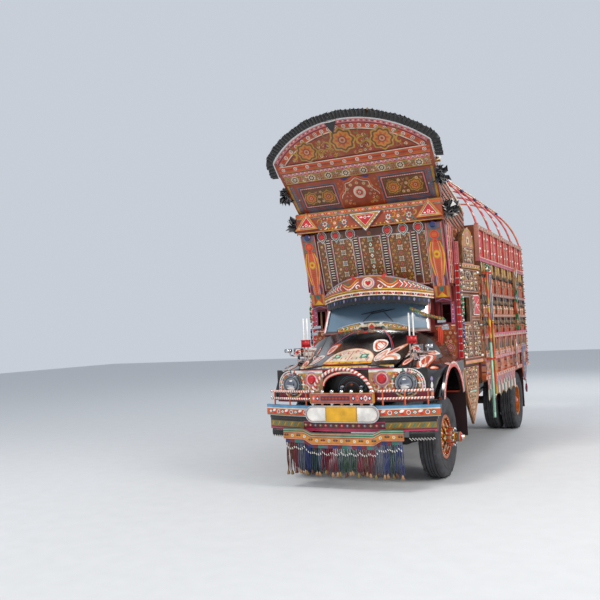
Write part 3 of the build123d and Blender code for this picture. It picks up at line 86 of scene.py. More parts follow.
# materials
def rgb(text, lift=1.0):
    """Linear colour of a six-digit display colour."""
    out = []
    for i in (0, 2, 4):
        c = int(text[i:i + 2], 16) / 255
        c = c / 12.92 if c <= 0.04045 else ((c + 0.055) / 1.055) ** 2.4
        out.append(min(c * lift, 1.0))
    return tuple(out) + (1.0,)


def even(value):
    """A grey stop of a ramp."""
    return (value,) * 3 + (1,)


class Shader:
    """A node material in the making, with its shader node and object coordinate."""

    def __init__(self, name):
        self.material = bpy.data.materials.new(name)
        self.material.use_nodes = True
        self.tree = self.material.node_tree
        self.bsdf = self.tree.nodes["Principled BSDF"]
        self.where = self.node("ShaderNodeTexCoord", {}).outputs["Object"]

    def give(self, node, values):
        """Links the named inputs of a node, or gives them plain values."""
        for key, value in values.items():
            if hasattr(value, "links"):
                self.tree.links.new(value, node.inputs[key])
            else:
                node.inputs[key].default_value = value
        return node

    def node(self, kind, values):
        return self.give(self.tree.nodes.new(kind), values)

    def surface(self, values):
        self.give(self.bsdf, values)

    def noise(self, scale, detail=3.0, stretch=(1, 1, 1)):
        spread = self.node("ShaderNodeMapping", {"Vector": self.where, "Scale": stretch})
        values = {"Vector": spread.outputs[0], "Scale": scale, "Detail": detail}
        return self.node("ShaderNodeTexNoise", values).outputs["Fac"]

    def cells(self, scale):
        values = {"Vector": self.where, "Scale": scale}
        return self.node("ShaderNodeTexVoronoi", values).outputs["Distance"]

    def ramp(self, fac, stops, steps=False):
        r = self.node("ShaderNodeValToRGB", {"Fac": fac})
        r.color_ramp.interpolation = "CONSTANT" if steps else "LINEAR"
        while len(r.color_ramp.elements) < len(stops):
            r.color_ramp.elements.new(0.5)
        for e, (at, colour) in zip(r.color_ramp.elements, stops):
            e.position = at
            e.color = colour
        return r.outputs[0]

    def mixed(self, kind, fac, a, b):
        m = self.tree.nodes.new("ShaderNodeMix")
        m.data_type = "RGBA"
        m.blend_type = kind
        return self.give(m, {0: fac, 6: a, 7: b}).outputs[2]

    def bump(self, height, strength, distance):
        b = self.node("ShaderNodeBump", {"Strength": strength, "Distance": distance, "Height": height})
        self.surface({"Normal": b.outputs[0]})


MADE = {}


def once(fill):
    """Lets a function fill each named material one time."""
    def named(name, *more):
        if name not in MADE:
            s = Shader(name)
            fill(s, *more)
            MADE[name] = s.material
        return MADE[name]
    return named


@once
def enamel(s, text, rough=0.38, vary=0.28, coat=0.25):
    """Brushed gloss enamel: uneven tone, brush marks and road dust in patches."""
    base = rgb(text)[:3]
    dark = tuple(c * (1 - vary) for c in base) + (1,)
    light = tuple(min(c * (1 + vary * 0.5), 1) for c in base) + (1,)
    tone = s.ramp(s.noise(9.0, 4.0), ((0.3, dark), (0.7, light)))
    dust = s.ramp(s.noise(2.2, 5.0), ((0.52, even(0)), (0.85, even(0.16))))
    gloss = s.ramp(s.noise(14.0, 4.0), ((0.3, even(rough * 0.8)), (0.75, even(min(rough * 1.5, 1)))))
    s.surface({"Base Color": s.mixed("MIX", dust, tone, rgb("A08F7A")), "Roughness": gloss,
               "Coat Weight": coat, "Coat Roughness": 0.18})
    s.bump(s.noise(220.0, 2.0, (1, 1, 4)), 0.12, 0.0006)


@once
def chrome(s, text, rough):
    tone = s.ramp(s.noise(30.0), ((0.3, rgb(text, 0.75)), (0.7, rgb(text))))
    gloss = s.ramp(s.noise(18.0, 5.0), ((0.35, even(rough)), (0.8, even(rough + 0.22))))
    s.surface({"Metallic": 1.0, "Base Color": tone, "Roughness": gloss})


@once
def cloth(s, text, rough=0.85, scale=900.0, sheen=0.3):
    base = rgb(text)
    dark = tuple(c * 0.65 for c in base[:3]) + (1,)
    tone = s.ramp(s.noise(16.0, 4.0), ((0.3, dark), (0.7, base)))
    s.surface({"Base Color": tone, "Roughness": rough, "Sheen Weight": sheen})
    wave = s.node("ShaderNodeTexWave", {"Vector": s.where, "Scale": scale / 6.28, "Distortion": 1.5})
    s.bump(wave.outputs["Fac"], 0.35, 0.001)


@once
def rubber(s, text, rough=0.82):
    tone = s.ramp(s.noise(7.0, 6.0), ((0.3, rgb(text, 0.75)), (0.75, rgb(text, 1.6))))
    s.surface({"Base Color": tone, "Roughness": rough})
    s.bump(s.noise(160.0, 4.0), 0.3, 0.001)


@once
def plain(s, text, rough):
    """The even grey of the floor."""
    tone = s.ramp(s.noise(5.0, 6.0), ((0.3, rgb(text, 0.97)), (0.75, rgb(text, 1.02))))
    s.surface({"Base Color": tone, "Roughness": rough})
    s.bump(s.noise(90.0, 4.0), 0.05, 0.001)


@once
def carved(s, text, deep):
    """Carved and varnished wood: grain along the height, and painted shade that makes the hollows darker than
    the ridges.
    """
    grain = s.noise(26.0, 6.0, (1, 1, 0.18))
    tone = s.ramp(grain, ((0.28, rgb(deep)), (0.55, rgb(text)), (0.8, rgb(text, 1.25))))
    cells = s.cells(34.0)
    # painted shade: the cells that give the bump also darken the colour, as shade in the hollows
    hollow_shade = s.ramp(cells, ((0.0, even(1)), (0.55, (0.45, 0.40, 0.36, 1))))
    s.surface({"Base Color": s.mixed("MULTIPLY", 0.75, tone, hollow_shade), "Roughness": 0.5, "Coat Weight": 0.2})
    s.bump(cells, 0.7, 0.004)


@once
def glass(s, text, alpha, rough):
    tone = s.ramp(s.noise(3.0, 4.0), ((0.3, rgb(text, 0.8)), (0.8, rgb(text, 1.1))))
    s.surface({"Base Color": tone, "Roughness": rough, "Alpha": alpha, "Specular IOR Level": 0.8})


@once
def lens(s, text):
    cells = s.cells(140.0)
    tone = s.ramp(cells, ((0.0, rgb(text, 1.2)), (0.7, rgb(text, 0.7))))
    s.surface({"Base Color": tone, "Roughness": 0.22, "Coat Weight": 0.6})
    s.bump(cells, 0.4, 0.002)


@once
def by_height(s, low, top, stops):
    """Enamel whose colour changes with the height, in metres, in plain steps."""
    split = s.node("ShaderNodeSeparateXYZ", {0: s.where})
    span = s.node("ShaderNodeMapRange", {0: split.outputs[2], 1: low, 2: top})
    tone = s.ramp(span.outputs[0], [((z - low) / (top - low), rgb(c)) for z, c in stops], True)
    wear = s.ramp(s.noise(10.0, 5.0), ((0.3, (0.5, 0.45, 0.4, 1)), (0.7, even(1))))
    s.surface({"Base Color": s.mixed("MULTIPLY", 0.4, tone, wear), "Roughness": 0.4, "Coat Weight": 0.2})


ENAMELS = {
    "orange": "C9501E", "rust": "9A3F1C", "brown": "5E2F1B", "gold": "B5892F", "olive": "7F6A2C",
    "cream": "DCCBB2", "white": "E9E5DF", "red": "C3121A", "plum": "6E1426", "pink": "CF7478",
    "rose": "C23A60", "slate": "5A6172", "navy": "20306A", "sky": "5A93BC", "teal": "2A7368",
    "green": "2C7A48", "mint": "9FD3B8", "black": "101012", "yellow": "DDA51C", "peach": "D98F6E",
    "lilac": "8D7FA8", "grey": "6A6E78", "tan": "A67A52", "teal_dark": "17363C", "green_dark": "1C4430",
    "dark_red": "4A0E12", "magenta": "9B2C5C", "umber": "6B4420", "amber": "C67F2C",
}
OTHER_PAINTS = {
    "chrome": (chrome, "chrome", "D9DCE0", 0.12), "brass": (chrome, "brass", "C79A4B", 0.22),
    "copper": (chrome, "copper", "C98A6A", 0.20), "tinsel": (chrome, "tinsel", "4A4E57", 0.30),
    "pleat": (cloth, "pleated_black", "0B0B0C", 0.50, 400.0, 0.6),
    "seat": (cloth, "seat_cloth", "7A1A24", 0.8, 500.0),
    "wood": (carved, "carved_tan", "A9794F", "4A2C1A"), "tyre": (rubber, "tyre_rubber", "38383B"),
    "lens_red": (lens, "lens_red", "CF0F14"), "lens_blue": (lens, "lens_blue", "1A2C66"),
    "lens_amber": (lens, "lens_amber", "D87A18"), "lens_green": (lens, "lens_green", "1F8A4C"),
}


def paint(key):
    """The material of a colour name."""
    if key in OTHER_PAINTS:
        make, *more = OTHER_PAINTS[key]
        return make(*more)
    return enamel("enamel_" + key, ENAMELS[key])


def dress(node, material):
    """Gives one material to the whole of a CAD node."""
    slots = NODES[node].data.materials
    for i in range(len(slots)):
        slots[i] = material
    for s in NODES[node].material_slots:
        s.material = material


# pieces: meshes with a colour to each face
def add_mesh(name, verts, faces):
    data = bpy.data.meshes.new(name)
    data.from_pydata(verts, [], faces)
    obj = bpy.data.objects.new(name, data)
    scene.collection.objects.link(obj)
    return obj


def add_sheet(name, verts, faces, material):
    """A smooth mesh of one material that rides on the root."""
    obj = add_mesh(name, verts, faces)
    obj.data.materials.append(material)
    for p in obj.data.polygons:
        p.use_smooth = True
    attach(obj, "root")
    return obj


class Piece:
    """Points, faces and a colour name for each face."""

    smooth = False

    def __init__(self, name, slot):
        self.name, self.slot = name, slot
        self.verts, self.faces, self.tags = [], [], []

    def tag(self, colour):
        """Gives a colour to the faces that have none yet."""
        self.tags += [colour] * (len(self.faces) - len(self.tags))

    def done(self, body="root", mirror=None, smooth=None, replaces=()):
        """Makes the mesh, and its mirror image on the right side if that body is given."""
        out = []
        keys = sorted(set(self.tags))
        for side, target in ((1, body), (-1, mirror)):
            if target is None:
                continue
            name = self.name if mirror is None else f"{self.name}_{'left' if side > 0 else 'right'}"
            faces = self.faces if side > 0 else [tuple(reversed(f)) for f in self.faces]
            obj = add_mesh(name, [(v[0] * side, v[1], v[2]) for v in self.verts], faces)
            for key in keys:
                obj.data.materials.append(paint(key))
            for p, tag in zip(obj.data.polygons, self.tags):
                p.material_index = keys.index(tag)
                p.use_smooth = self.smooth if smooth is None else smooth
            obj.data.update()
            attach(obj, target)
            if replaces:
                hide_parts(*replaces)
            out.append(obj)
        return out[0] if len(out) == 1 else out


# boards: motifs laid on a surface
def arc_radius(half, rise):
    """Radius of an arc of half a width and a rise."""
    return (half * half + rise * rise) / (2 * rise)


def plane(origin, across, upward):
    o, a, b = Vector(origin), Vector(across).normalized(), Vector(upward).normalized()
    n = a.cross(b)
    return lambda u, v, h: o + a * u + b * v + n * h


def front_plane(y, x=0.0, z=0.0):
    """An upright plane across the truck, so many metres behind the front axle."""
    return plane((x, F + y, z), (1, 0, 0), (0, 0, 1))


def side_plane(x, y=0.0, z=0.0):
    """An upright plane along the left side."""
    return plane((x, F + y, z), (0, 1, 0), (0, 0, 1))


def tree_of(*names):
    verts, faces = [], []
    for name in names:
        data = NODES[name].data
        k = len(verts)
        verts += [v.co.copy() for v in data.vertices]
        faces += [[k + i for i in p.vertices] for p in data.polygons]
    return BVHTree.FromPolygons(verts, faces)


def cast_on(names, origin_of, direction):
    """Places motifs on CAD nodes by casting from outside along a direction."""
    tree = tree_of(*names)
    way = Vector(direction).normalized()

    def put(u, v, h):
        start = origin_of(u, v)
        hit, normal, _, _ = tree.ray_cast(start, way)
        if hit is None:
            hit, normal, _, _ = tree.find_nearest(start + way * 3.0)
        if normal.dot(way) > 0:
            normal = -normal
        return hit + normal * h
    return put


class Board(Piece):
    """One mesh of motifs on a surface; put(u, v, h) gives a place in space."""

    def __init__(self, name, put, slot="crown_paint"):
        super().__init__(name, slot)
        self.put = put

    def poly(self, points, colour, h, wall=0.0):
        k, n = len(self.verts), len(points)
        self.verts += [self.put(u, v, h) for u, v in points]
        self.faces.append(tuple(range(k, k + n)))
        self.tags.append(colour)
        if wall:
            self.verts += [self.put(u, v, h - wall) for u, v in points]
            for i in range(n):
                j = (i + 1) % n
                self.faces.append((k + i, k + n + i, k + n + j, k + j))
                self.tags.append(colour)

    def disc(self, u, v, r, colour, h, n=12, wall=0.0, squash=1.0):
        self.poly([(u + r * cos(2 * pi * i / n), v + r * squash * sin(2 * pi * i / n)) for i in range(n)],
                  colour, h, wall)

    def dome(self, u, v, r, colour, h=0.0, n=10, rise=0.8, rings=3):
        """A raised button."""
        k = len(self.verts)
        for j in range(rings):
            a = pi / 2 * j / rings
            self.verts += [self.put(u + r * cos(a) * cos(2 * pi * i / n),
                                    v + r * cos(a) * sin(2 * pi * i / n), h + r * rise * sin(a))
                           for i in range(n)]
        self.verts.append(self.put(u, v, h + r * rise))
        for j in range(rings - 1):
            for i in range(n):
                a, b = k + j * n + i, k + j * n + (i + 1) % n
                self.faces.append((a, b, b + n, a + n))
                self.tags.append(colour)
        top = len(self.verts) - 1
        for i in range(n):
            self.faces.append((k + (rings - 1) * n + i, k + (rings - 1) * n + (i + 1) % n, top))
            self.tags.append(colour)

    def strip(self, low, high, colour, h, wall=0.0):
        """Fills between two lines of equal length."""
        k, n = len(self.verts), len(low)
        self.verts += [self.put(u, v, h) for u, v in low] + [self.put(u, v, h) for u, v in high]
        for i in range(n - 1):
            self.faces.append((k + i, k + i + 1, k + n + i + 1, k + n + i))
            self.tags.append(colour)
        if wall:
            for line, flip in ((low, False), (high, True)):
                m = len(self.verts)
                self.verts += [self.put(u, v, x) for x in (h, h - wall) for u, v in line]
                for i in range(n - 1):
                    f = (m + i, m + n + i, m + n + i + 1, m + i + 1)
                    self.faces.append(tuple(reversed(f)) if flip else f)
                    self.tags.append(colour)

    def band(self, u0, u1, v0, v1, colour, h, step=0.08, wall=0.0):
        n = max(1, int(abs(u1 - u0) / step + 0.5))
        us = [u0 + (u1 - u0) * i / n for i in range(n + 1)]
        self.strip([(u, v0) for u in us], [(u, v1) for u in us], colour, h, wall)

    def line(self, points, width, colour, h, wall=0.0, taper=False, closed=False):
        """A ribbon of even or tapered width along a line."""
        n = len(points)
        low, high = [], []
        for i, (u, v) in enumerate(points):
            a = points[(i - 1) % n] if closed else points[max(i - 1, 0)]
            b = points[(i + 1) % n] if closed else points[min(i + 1, n - 1)]
            du, dv = b[0] - a[0], b[1] - a[1]
            size = sqrt(du * du + dv * dv) or 1.0
            w = width / 2 * (sin(pi * (0.08 + 0.84 * i / (n - 1))) if taper else 1.0)
            high.append((u - dv / size * w, v + du / size * w))
            low.append((u + dv / size * w, v - du / size * w))
        if closed:
            low.append(low[0])
            high.append(high[0])
        self.strip(low, high, colour, h, wall)

    def leaf(self, u, v, angle, length, width, colour, h, wall=0.0, n=5):
        """A pointed petal that starts at a place and runs out at an angle in degrees."""
        a = radians(angle)
        pts = []
        for s in (1, -1):
            row = range(n + 1) if s > 0 else range(n - 1, 0, -1)
            for i in row:
                t = i / n
                w = width / 2 * sin(pi * t ** 0.8) * s * -1
                pts.append((u + length * t * cos(a) - w * sin(a), v + length * t * sin(a) + w * cos(a)))
        self.poly(pts, colour, h, wall)


# lines and motifs
def rounded(u, v, ru, rv, *degrees_of):
    """Points round an ellipse, at the degrees of a range."""
    return [(u + ru * cos(radians(a)), v + rv * sin(radians(a))) for a in range(*degrees_of)]


def scaled(points, cu, cv, size):
    """An outline drawn in towards a centre."""
    return [(cu + (u - cu) * size, cv + (v - cv) * size) for u, v in points]


def bands(b, u0, u1, h, rows, **more):
    """Flat bands above each other, each with its two heights and its colour."""
    for v0, v1, key in rows:
        b.band(u0, u1, v0, v1, key, h, **more)


def rosette(b, u, v, r, h, cols=("gold", "cream", "red", "yellow"), n=8, turn=0.0):
    b.disc(u, v, r, cols[0], h, 14, 0.001)
    for i in range(n):
        b.leaf(u, v, turn + 360 / n * i, r * 0.92, r * 0.55, cols[1], h + 0.0008, n=3)
    b.disc(u, v, r * 0.42, cols[2], h + 0.0016, 10)
    b.disc(u, v, r * 0.18, cols[3], h + 0.0022, 6)


def ringed(b, u, v, r, h, outer="white", inner="brown", centre="gold"):
    b.disc(u, v, r, outer, h, 12)
    b.disc(u, v, r * 0.72, inner, h + 0.0007, 12)
    b.disc(u, v, r * 0.38, centre, h + 0.0013, 8)


def star(b, u, v, r, colour, h, n=4, inner=0.42, turn=0.0):
    pts = []
    for i in range(2 * n):
        k = r if i % 2 == 0 else r * inner
        a = radians(turn) + pi * i / n
        pts.append((u + k * cos(a), v + k * sin(a)))
    b.poly(pts, colour, h)


def lozenge(b, u, v, w, t, colour, h, wall=0.0):
    b.poly([(u - w / 2, v), (u, v - t / 2), (u + w / 2, v), (u, v + t / 2)], colour, h, wall)


def curl(b, u, v, r, angle, turn, width, colour, h, n=9):
    """A spiral ribbon; turn is +1 or -1."""
    pts = []
    for i in range(n):
        t = i / (n - 1)
        a = radians(angle) + turn * t * 1.7 * pi
        k = r * (1 - 0.78 * t)
        pts.append((u + k * cos(a), v + k * sin(a)))
    b.line(pts, width, colour, h, taper=True)


def heart(b, u, v, r, colour, h, flip=1):
    pts = []
    for i in range(20):
        t = 2 * pi * i / 20
        pts.append((u + r * 16 * sin(t) ** 3 / 17,
                    v + flip * r * (13 * cos(t) - 5 * cos(2 * t) - 2 * cos(3 * t) - cos(4 * t)) / 17))
    if flip > 0:
        pts.reverse()
    b.poly(pts, colour, h)


def medallion(b, u, v, r, h, cols=("gold", "olive", "orange", "yellow", "cream", "red"), lobes=8):
    for k, (size, key) in enumerate(((1.0, cols[0]), (0.86, cols[1]), (0.72, cols[2]))):
        pts = []
        for i in range(lobes * 4):
            a = 2 * pi * i / (lobes * 4)
            w = r * size * (1 + 0.10 * cos(lobes * a))
            pts.append((u + w * cos(a), v + w * sin(a)))
        b.poly(pts, key, h + 0.0007 * k)
    for i in range(lobes):
        a = 2 * pi * (i + 0.5) / lobes
        b.disc(u + r * 0.86 * cos(a), v + r * 0.86 * sin(a), r * 0.07, cols[4], h + 0.0024, 6)
        b.leaf(u, v, 360 / lobes * i, r * 0.66, r * 0.26, cols[3], h + 0.0022, n=3)
    b.disc(u, v, r * 0.34, cols[1], h + 0.0030, 12)
    b.disc(u, v, r * 0.25, cols[4], h + 0.0036, 12)
    b.disc(u, v, r * 0.12, cols[5], h + 0.0042, 8)


def flower_field(b, inside, box, step, h, seed, kinds):
    """Fills a region with close-set flowers, leaves and scrolls."""
    rng = random.Random(seed)
    u0, u1, v0, v1 = box
    rows = max(1, int((v1 - v0) / step))
    cells = max(1, int((u1 - u0) / step))
    for j in range(rows):
        for i in range(cells):
            u = u0 + (i + 0.5 + 0.5 * (j % 2)) * (u1 - u0) / cells
            v = v0 + (j + 0.5) * (v1 - v0) / rows
            kind = rng.choice(kinds)
            turn = rng.uniform(0, 90)
            if inside(u, v):
                motif(b, u, v, step * 0.46, h, kind, turn)


def motif(b, u, v, r, h, kind, turn):
    """A small flower, leaf pair or scroll of one of eight kinds."""
    if kind == 0:
        rosette(b, u, v, r * 0.85, h, ("gold", "cream", "red", "yellow"), 6, turn)
    elif kind == 1:
        for k in range(4):
            b.leaf(u, v, turn + 90 * k, r, r * 0.5, "yellow", h, n=3)
            b.leaf(u, v, turn + 45 + 90 * k, r * 0.75, r * 0.3, "green", h + 0.0005, n=3)
        b.disc(u, v, r * 0.25, "red", h + 0.001, 8)
    elif kind == 2:
        curl(b, u, v, r, turn, 1, r * 0.30, "gold", h)
        curl(b, u, v, r * 0.9, turn + 180, 1, r * 0.28, "orange", h + 0.0004)
        b.disc(u, v, r * 0.16, "cream", h + 0.001, 6)
    elif kind == 3:
        ringed(b, u, v, r * 0.62, h, "cream", "rust", "yellow")
        for k in range(4):
            b.leaf(u + r * 0.6 * cos(radians(turn + 90 * k)), v + r * 0.6 * sin(radians(turn + 90 * k)),
                   turn + 90 * k, r * 0.42, r * 0.28, "teal", h, n=3)
    elif kind == 5:
        for k in range(3):
            b.leaf(u, v, turn + 120 * k, r * 0.95, r * 0.52, "orange", h, n=3)
            b.leaf(u, v, turn + 120 * k, r * 0.6, r * 0.26, "cream", h + 0.0006, n=3)
        b.disc(u, v, r * 0.2, "plum", h + 0.0012, 8)
    elif kind == 6:
        curl(b, u, v, r, turn, -1, r * 0.26, "cream", h)
        b.leaf(u, v, turn + 60, r, r * 0.4, "red", h + 0.0004, n=3)
        b.leaf(u, v, turn - 60, r, r * 0.4, "gold", h + 0.0004, n=3)
    elif kind == 7:
        b.disc(u, v, r * 0.55, "orange", h, 6)
        b.disc(u, v, r * 0.30, "olive", h + 0.0005, 5)
    elif kind == 8:
        b.leaf(u, v, turn, r * 1.5, r * 0.7, "olive", h, n=3)
        b.leaf(u, v, turn + 180, r * 1.3, r * 0.5, "tan", h, n=3)


def dots(b, u0, u1, v, n, r, colour, h, sides=8):
    for i in range(n):
        b.disc(u0 + (u1 - u0) * (i + 0.5) / n, v, r, colour, h, sides)


def lozenges(b, u0, u1, v, n, tall, keys, h):
    wide = (u1 - u0) / n
    for i in range(n):
        lozenge(b, u0 + wide * (i + 0.5), v, wide * 0.9, tall, keys[i % len(keys)], h)
        lozenge(b, u0 + wide * (i + 0.5), v, wide * 0.4, tall * 0.45, keys[(i + 1) % len(keys)], h + 0.0006)


def framed(b, u0, u1, v0, v1, keys, h, edge=0.018):
    """Nested rectangles, outermost colour first."""
    for i, key in enumerate(keys):
        b.band(u0 + edge * i, u1 - edge * i, v0 + edge * i, v1 - edge * i, key, h + 0.0006 * i)


# floor, and the finish of every CAD node
floor = [(x, y, -0.001) for x, y in ((-40, -40), (40, -40), (40, 40), (-40, 40))]
floor_piece = add_mesh("studio_floor", floor, [(0, 1, 2, 3)])
floor_piece.data.materials.append(plain("floor_grey", "CCCED0", 0.9))

SIDE_BANDS = ((1.10, "B9562A"), (1.165, "C77A4A"), (1.20, "7A2A20"), (1.215, "CF8A6A"), (1.30, "3F4F86"),
              (1.325, "B5622E"), (1.37, "C78A6A"), (1.42, "8E3B1E"), (1.44, "B98A66"), (1.66, "C23A2A"),
              (1.70, "C9602A"), (1.77, "9A3A22"), (1.83, "A07A55"), (1.885, "2A1410"), (1.90, "A07A55"),
              (1.96, "5A2018"), (2.01, "D08038"), (2.06, "8A4A30"), (2.13, "A37C58"), (2.19, "2A1414"),
              (2.21, "A37C58"), (2.27, "5A2018"), (2.33, "C9602A"), (2.38, "A0402A"), (2.50, "A37C58"),
              (2.60, "3A1614"), (2.62, "A37C58"), (2.72, "7E4A30"), (2.83, "CF7478"), (2.89, "C98572"),
              (3.30, "B98570"))
FINISH = {
    "chassis_frame": ("1A1A1C", 0.5), "radiator": ("202022", 0.5), "leaf_springs": ("1E1C1A", 0.6),
    "tail_bar": ("6E1426", 0.4), "engine_block": ("3C3A38", 0.6), "driveline": ("302E2C", 0.6),
    "front_axle": ("2C2A28", 0.6), "rear_axle": ("2C2A28", 0.6), "knuckle_left": ("34322F", 0.6),
    "knuckle_right": ("34322F", 0.6), "fuel_tank": ("7A1B16", 0.35), "bumper": ("121214", 0.3),
    "plate_panel": ("E4E0DA", 0.3), "band_box": ("C98A2A", 0.35), "guard_tubes": ("C9501E", 0.35),
    "skirt_board": ("7A3A1E", 0.4), "nose_panel": ("160E10", 0.30), "fenders": ("0A0A0C", 0.16),
    "bonnet": ("0A0A0C", 0.14), "cab_shell": ("6A1A18", 0.35), "dashboard": ("2A1A14", 0.6),
    "corner_boards": ("A8453A", 0.4), "crown_panel": ("6E2E18", 0.4), "visor": ("8A3A1E", 0.4),
    "cornice": ("9A4A20", 0.4), "crown_box": ("5E2A18", 0.5), "rear_frame": ("B5521E", 0.4),
    "tailgate": ("A8301E", 0.4), "front_wall": ("7A3A24", 0.5), "roof_hoops": ("C4504A", 0.35),
    "roof_stringers": ("C98A2A", 0.4), "poles": ("C9601E", 0.35), "wheel_front_left": ("B8461C", 0.3),
    "wheel_front_right": ("B8461C", 0.3), "wheels_rear_left": ("C4601C", 0.3),
    "wheels_rear_right": ("C4601C", 0.3),
}
for node, (text, rough) in FINISH.items():
    coat = 0.7 if node in ("bonnet", "fenders") else 0.3
    dress(node, enamel("finish_" + text + str(int(rough * 100)), text, rough, 0.25, coat))
for node in ("tyre_front_left", "tyre_front_right", "tyres_rear_left", "tyres_rear_right"):
    dress(node, paint("tyre"))
dress("mudflaps", rubber("flap_rubber", "24070C", 0.6))
dress("headlamps", chrome("lamp_glass", "9AA3A8", 0.08))
dress("marker_lamps", paint("lens_red"))
dress("windscreen", glass("screen_glass", "7E9BB2", 0.70, 0.10))
dress("seat_bench", paint("seat"))
for node in ("carved_boards", "door_left", "door_right"):
    dress(node, paint("wood"))
dress("fringes", cloth("fringe_slate", "2A2E36"))
dress("crown_trim", paint("pleat"))
dress("cargo_floor", carved("floor_wood", "6A5038", "2E2218"))
dress("cargo_sides", by_height("side_bands", 1.10, 3.36, SIDE_BANDS))

# upper crown board
LEAN = radians(43.5)
UP_O = (0.0, F + 0.214, 3.585)
UP_V = (0.0, -sin(LEAN), cos(LEAN))
HALF_LOW, HALF_TOP, ARCH0, APEX = 1.032, 1.105, 0.887, 1.372
ARC_R = arc_radius(HALF_TOP, APEX - ARCH0)


def arch_v(u, inset=0.0):
    r = ARC_R - inset
    return APEX - ARC_R + sqrt(max(r * r - u * u, 0.0))


def arch_line(inset, n=40):
    """Points along the arch, left to right, at a distance inside its edge."""
    top = HALF_TOP - inset
    return [(-top + 2 * top * i / n, arch_v(-top + 2 * top * i / n, inset)) for i in range(n + 1)]


ARCH_FLOWERS = ((-0.56, 0.975, 0.150), (-0.02, 1.065, 0.175), (0.50, 1.000, 0.160))   # u, v, radius
WARM = ("gold", "umber", "amber", "orange", "peach", "rust")
crown = Board("upper_crown_paint", plane(UP_O, (1, 0, 0), UP_V))
MID_V = 0.68
HALF_MID = HALF_LOW + (HALF_TOP - HALF_LOW) * MID_V / ARCH0
edge_low = [(-HALF_LOW + 2 * HALF_LOW * i / 40, 0.0) for i in range(41)]
edge_mid = [(x * HALF_MID / HALF_LOW, MID_V) for x, _ in edge_low]
edge_top = [(x * HALF_TOP / HALF_LOW, arch_v(x * HALF_TOP / HALF_LOW)) for x, _ in edge_low]
crown.strip(edge_low, edge_mid, "rust", 0.0008)
crown.strip(edge_mid, edge_top, "rust", 0.0008)
for inset, wide, key in ((0.012, 0.024, "cream"), (0.046, 0.046, "pink"), (0.078, 0.014, "plum"),
                         (0.118, 0.066, "orange"), (0.160, 0.014, "cream"), (0.178, 0.012, "plum")):
    crown.line(arch_line(inset), wide, key, 0.0018)
for i, (u, v) in enumerate(arch_line(0.046, 62)):
    crown.disc(u, v, 0.011, "cream" if i % 2 else "plum", 0.0026, 6)
for u, v in arch_line(0.118, 19):
    ringed(crown, u, v, 0.027, 0.0026, "white", "rust", "cream")
for i, (u, v) in enumerate(arch_line(0.118, 38)):
    if i % 2:
        lozenge(crown, u, v, 0.045, 0.02, "rust", 0.0026)
crown.band(-1.05, 1.05, 0.690, 0.702, "plum", 0.0030)
crown.band(-1.05, 1.05, 0.702, 0.712, "gold", 0.0026)
crown.band(-1.06, 1.06, 0.712, 0.800, "orange", 0.0018)
crown.band(-1.06, 1.06, 0.745, 0.767, "rust", 0.0024)
crown.band(-1.03, 1.03, 0.800, 0.812, "cream", 0.0024)
crown.band(-1.03, 1.03, 0.812, 0.822, "plum", 0.0024)
for i in range(12):
    ringed(crown, -0.99 + 1.98 * i / 11, 0.756, 0.026, 0.0032, "white", "rust", "cream")
for u, v, r in ARCH_FLOWERS:
    medallion(crown, u, v, r, 0.0040, WARM)
    for side in (1, -1):
        curl(crown, u + side * r * 1.35, v - r * 0.35, r * 0.46, 90 - side * 60, side, 0.030, "gold", 0.0036)
        curl(crown, u + side * r * 1.15, v + r * 0.55, r * 0.30, 90, -side, 0.022, "olive", 0.0036)


def in_arch(u, v):
    if v < 0.85 or abs(u) > 0.94:
        return False
    if v > arch_v(u, 0.225):
        return False
    return all((u - a) ** 2 + (v - c) ** 2 > (r * 1.22) ** 2 for a, c, r in ARCH_FLOWERS)


ground = [(-0.94, 0.835), (0.94, 0.835)]
ground += [(u, min(arch_v(u, 0.205), 1.30)) for u in [0.94 - 0.094 * i for i in range(21)]]
crown.poly(ground, "rust", 0.0014)
flower_field(crown, in_arch, (-0.95, 0.95, 0.84, 1.20), 0.066, 0.0024, 5, (2, 6, 1, 0, 5, 2, 3))
flower_field(crown, in_arch, (-0.93, 0.93, 0.85, 1.19), 0.041, 0.0018, 15, (7, 8, 7))
rng = random.Random(44)
for i in range(26):
    for j in range(5):
        u, v = -0.90 + 0.072 * i + 0.036 * (j % 2), 0.868 + 0.070 * j
        if in_arch(u, v):
            key = ("amber", "olive", "plum", "gold", "rose")[rng.randrange(5)]
            curl(crown, u, v, 0.040, rng.uniform(0, 360), 1 if rng.random() < 0.5 else -1, 0.013,
                 key, 0.0030, 8)
for u0, u1 in ((-0.325, -0.25), (0.20, 0.275)):
    flower_field(crown, lambda u, v: True, (u0, u1, 0.07, 0.49), 0.040, 0.0022, 71, (7, 8, 2, 5))

# flower band with eight large rosettes
crown.band(-1.03, 1.03, 0.505, 0.520, "plum", 0.0018)
crown.band(-1.03, 1.03, 0.520, 0.640, "gold", 0.0018)
crown.band(-1.03, 1.03, 0.534, 0.626, "tan", 0.0024)
dots(crown, -1.02, 1.02, 0.546, 60, 0.008, "brown", 0.0028, 6)
dots(crown, -1.00, 1.00, 0.614, 60, 0.008, "olive", 0.0028, 6)
dots(crown, -1.01, 1.01, 0.580, 60, 0.009, "rust", 0.0028, 6)
crown.band(-1.04, 1.04, 0.640, 0.690, "pink", 0.0018)
for v, key, h in ((0.688, "cream", 0.0024), (0.666, "rose", 0.0030)):
    wide = 2.06 / 34
    for i in range(34):
        a = -1.03 + wide * i
        crown.poly([(a, 0.642), (a + wide, 0.642), (a + wide / 2, v)], key, h)
dots(crown, -1.02, 1.02, 0.678, 17, 0.010, "sky", 0.0032, 6)
for i in range(8):
    u = -0.88 + 1.76 * i / 7
    crown.disc(u, 0.580, 0.058, "gold", 0.0030, 16)
    rosette(crown, u, 0.580, 0.052, 0.0034, ("cream", "brown", "cream", "olive"), 8)
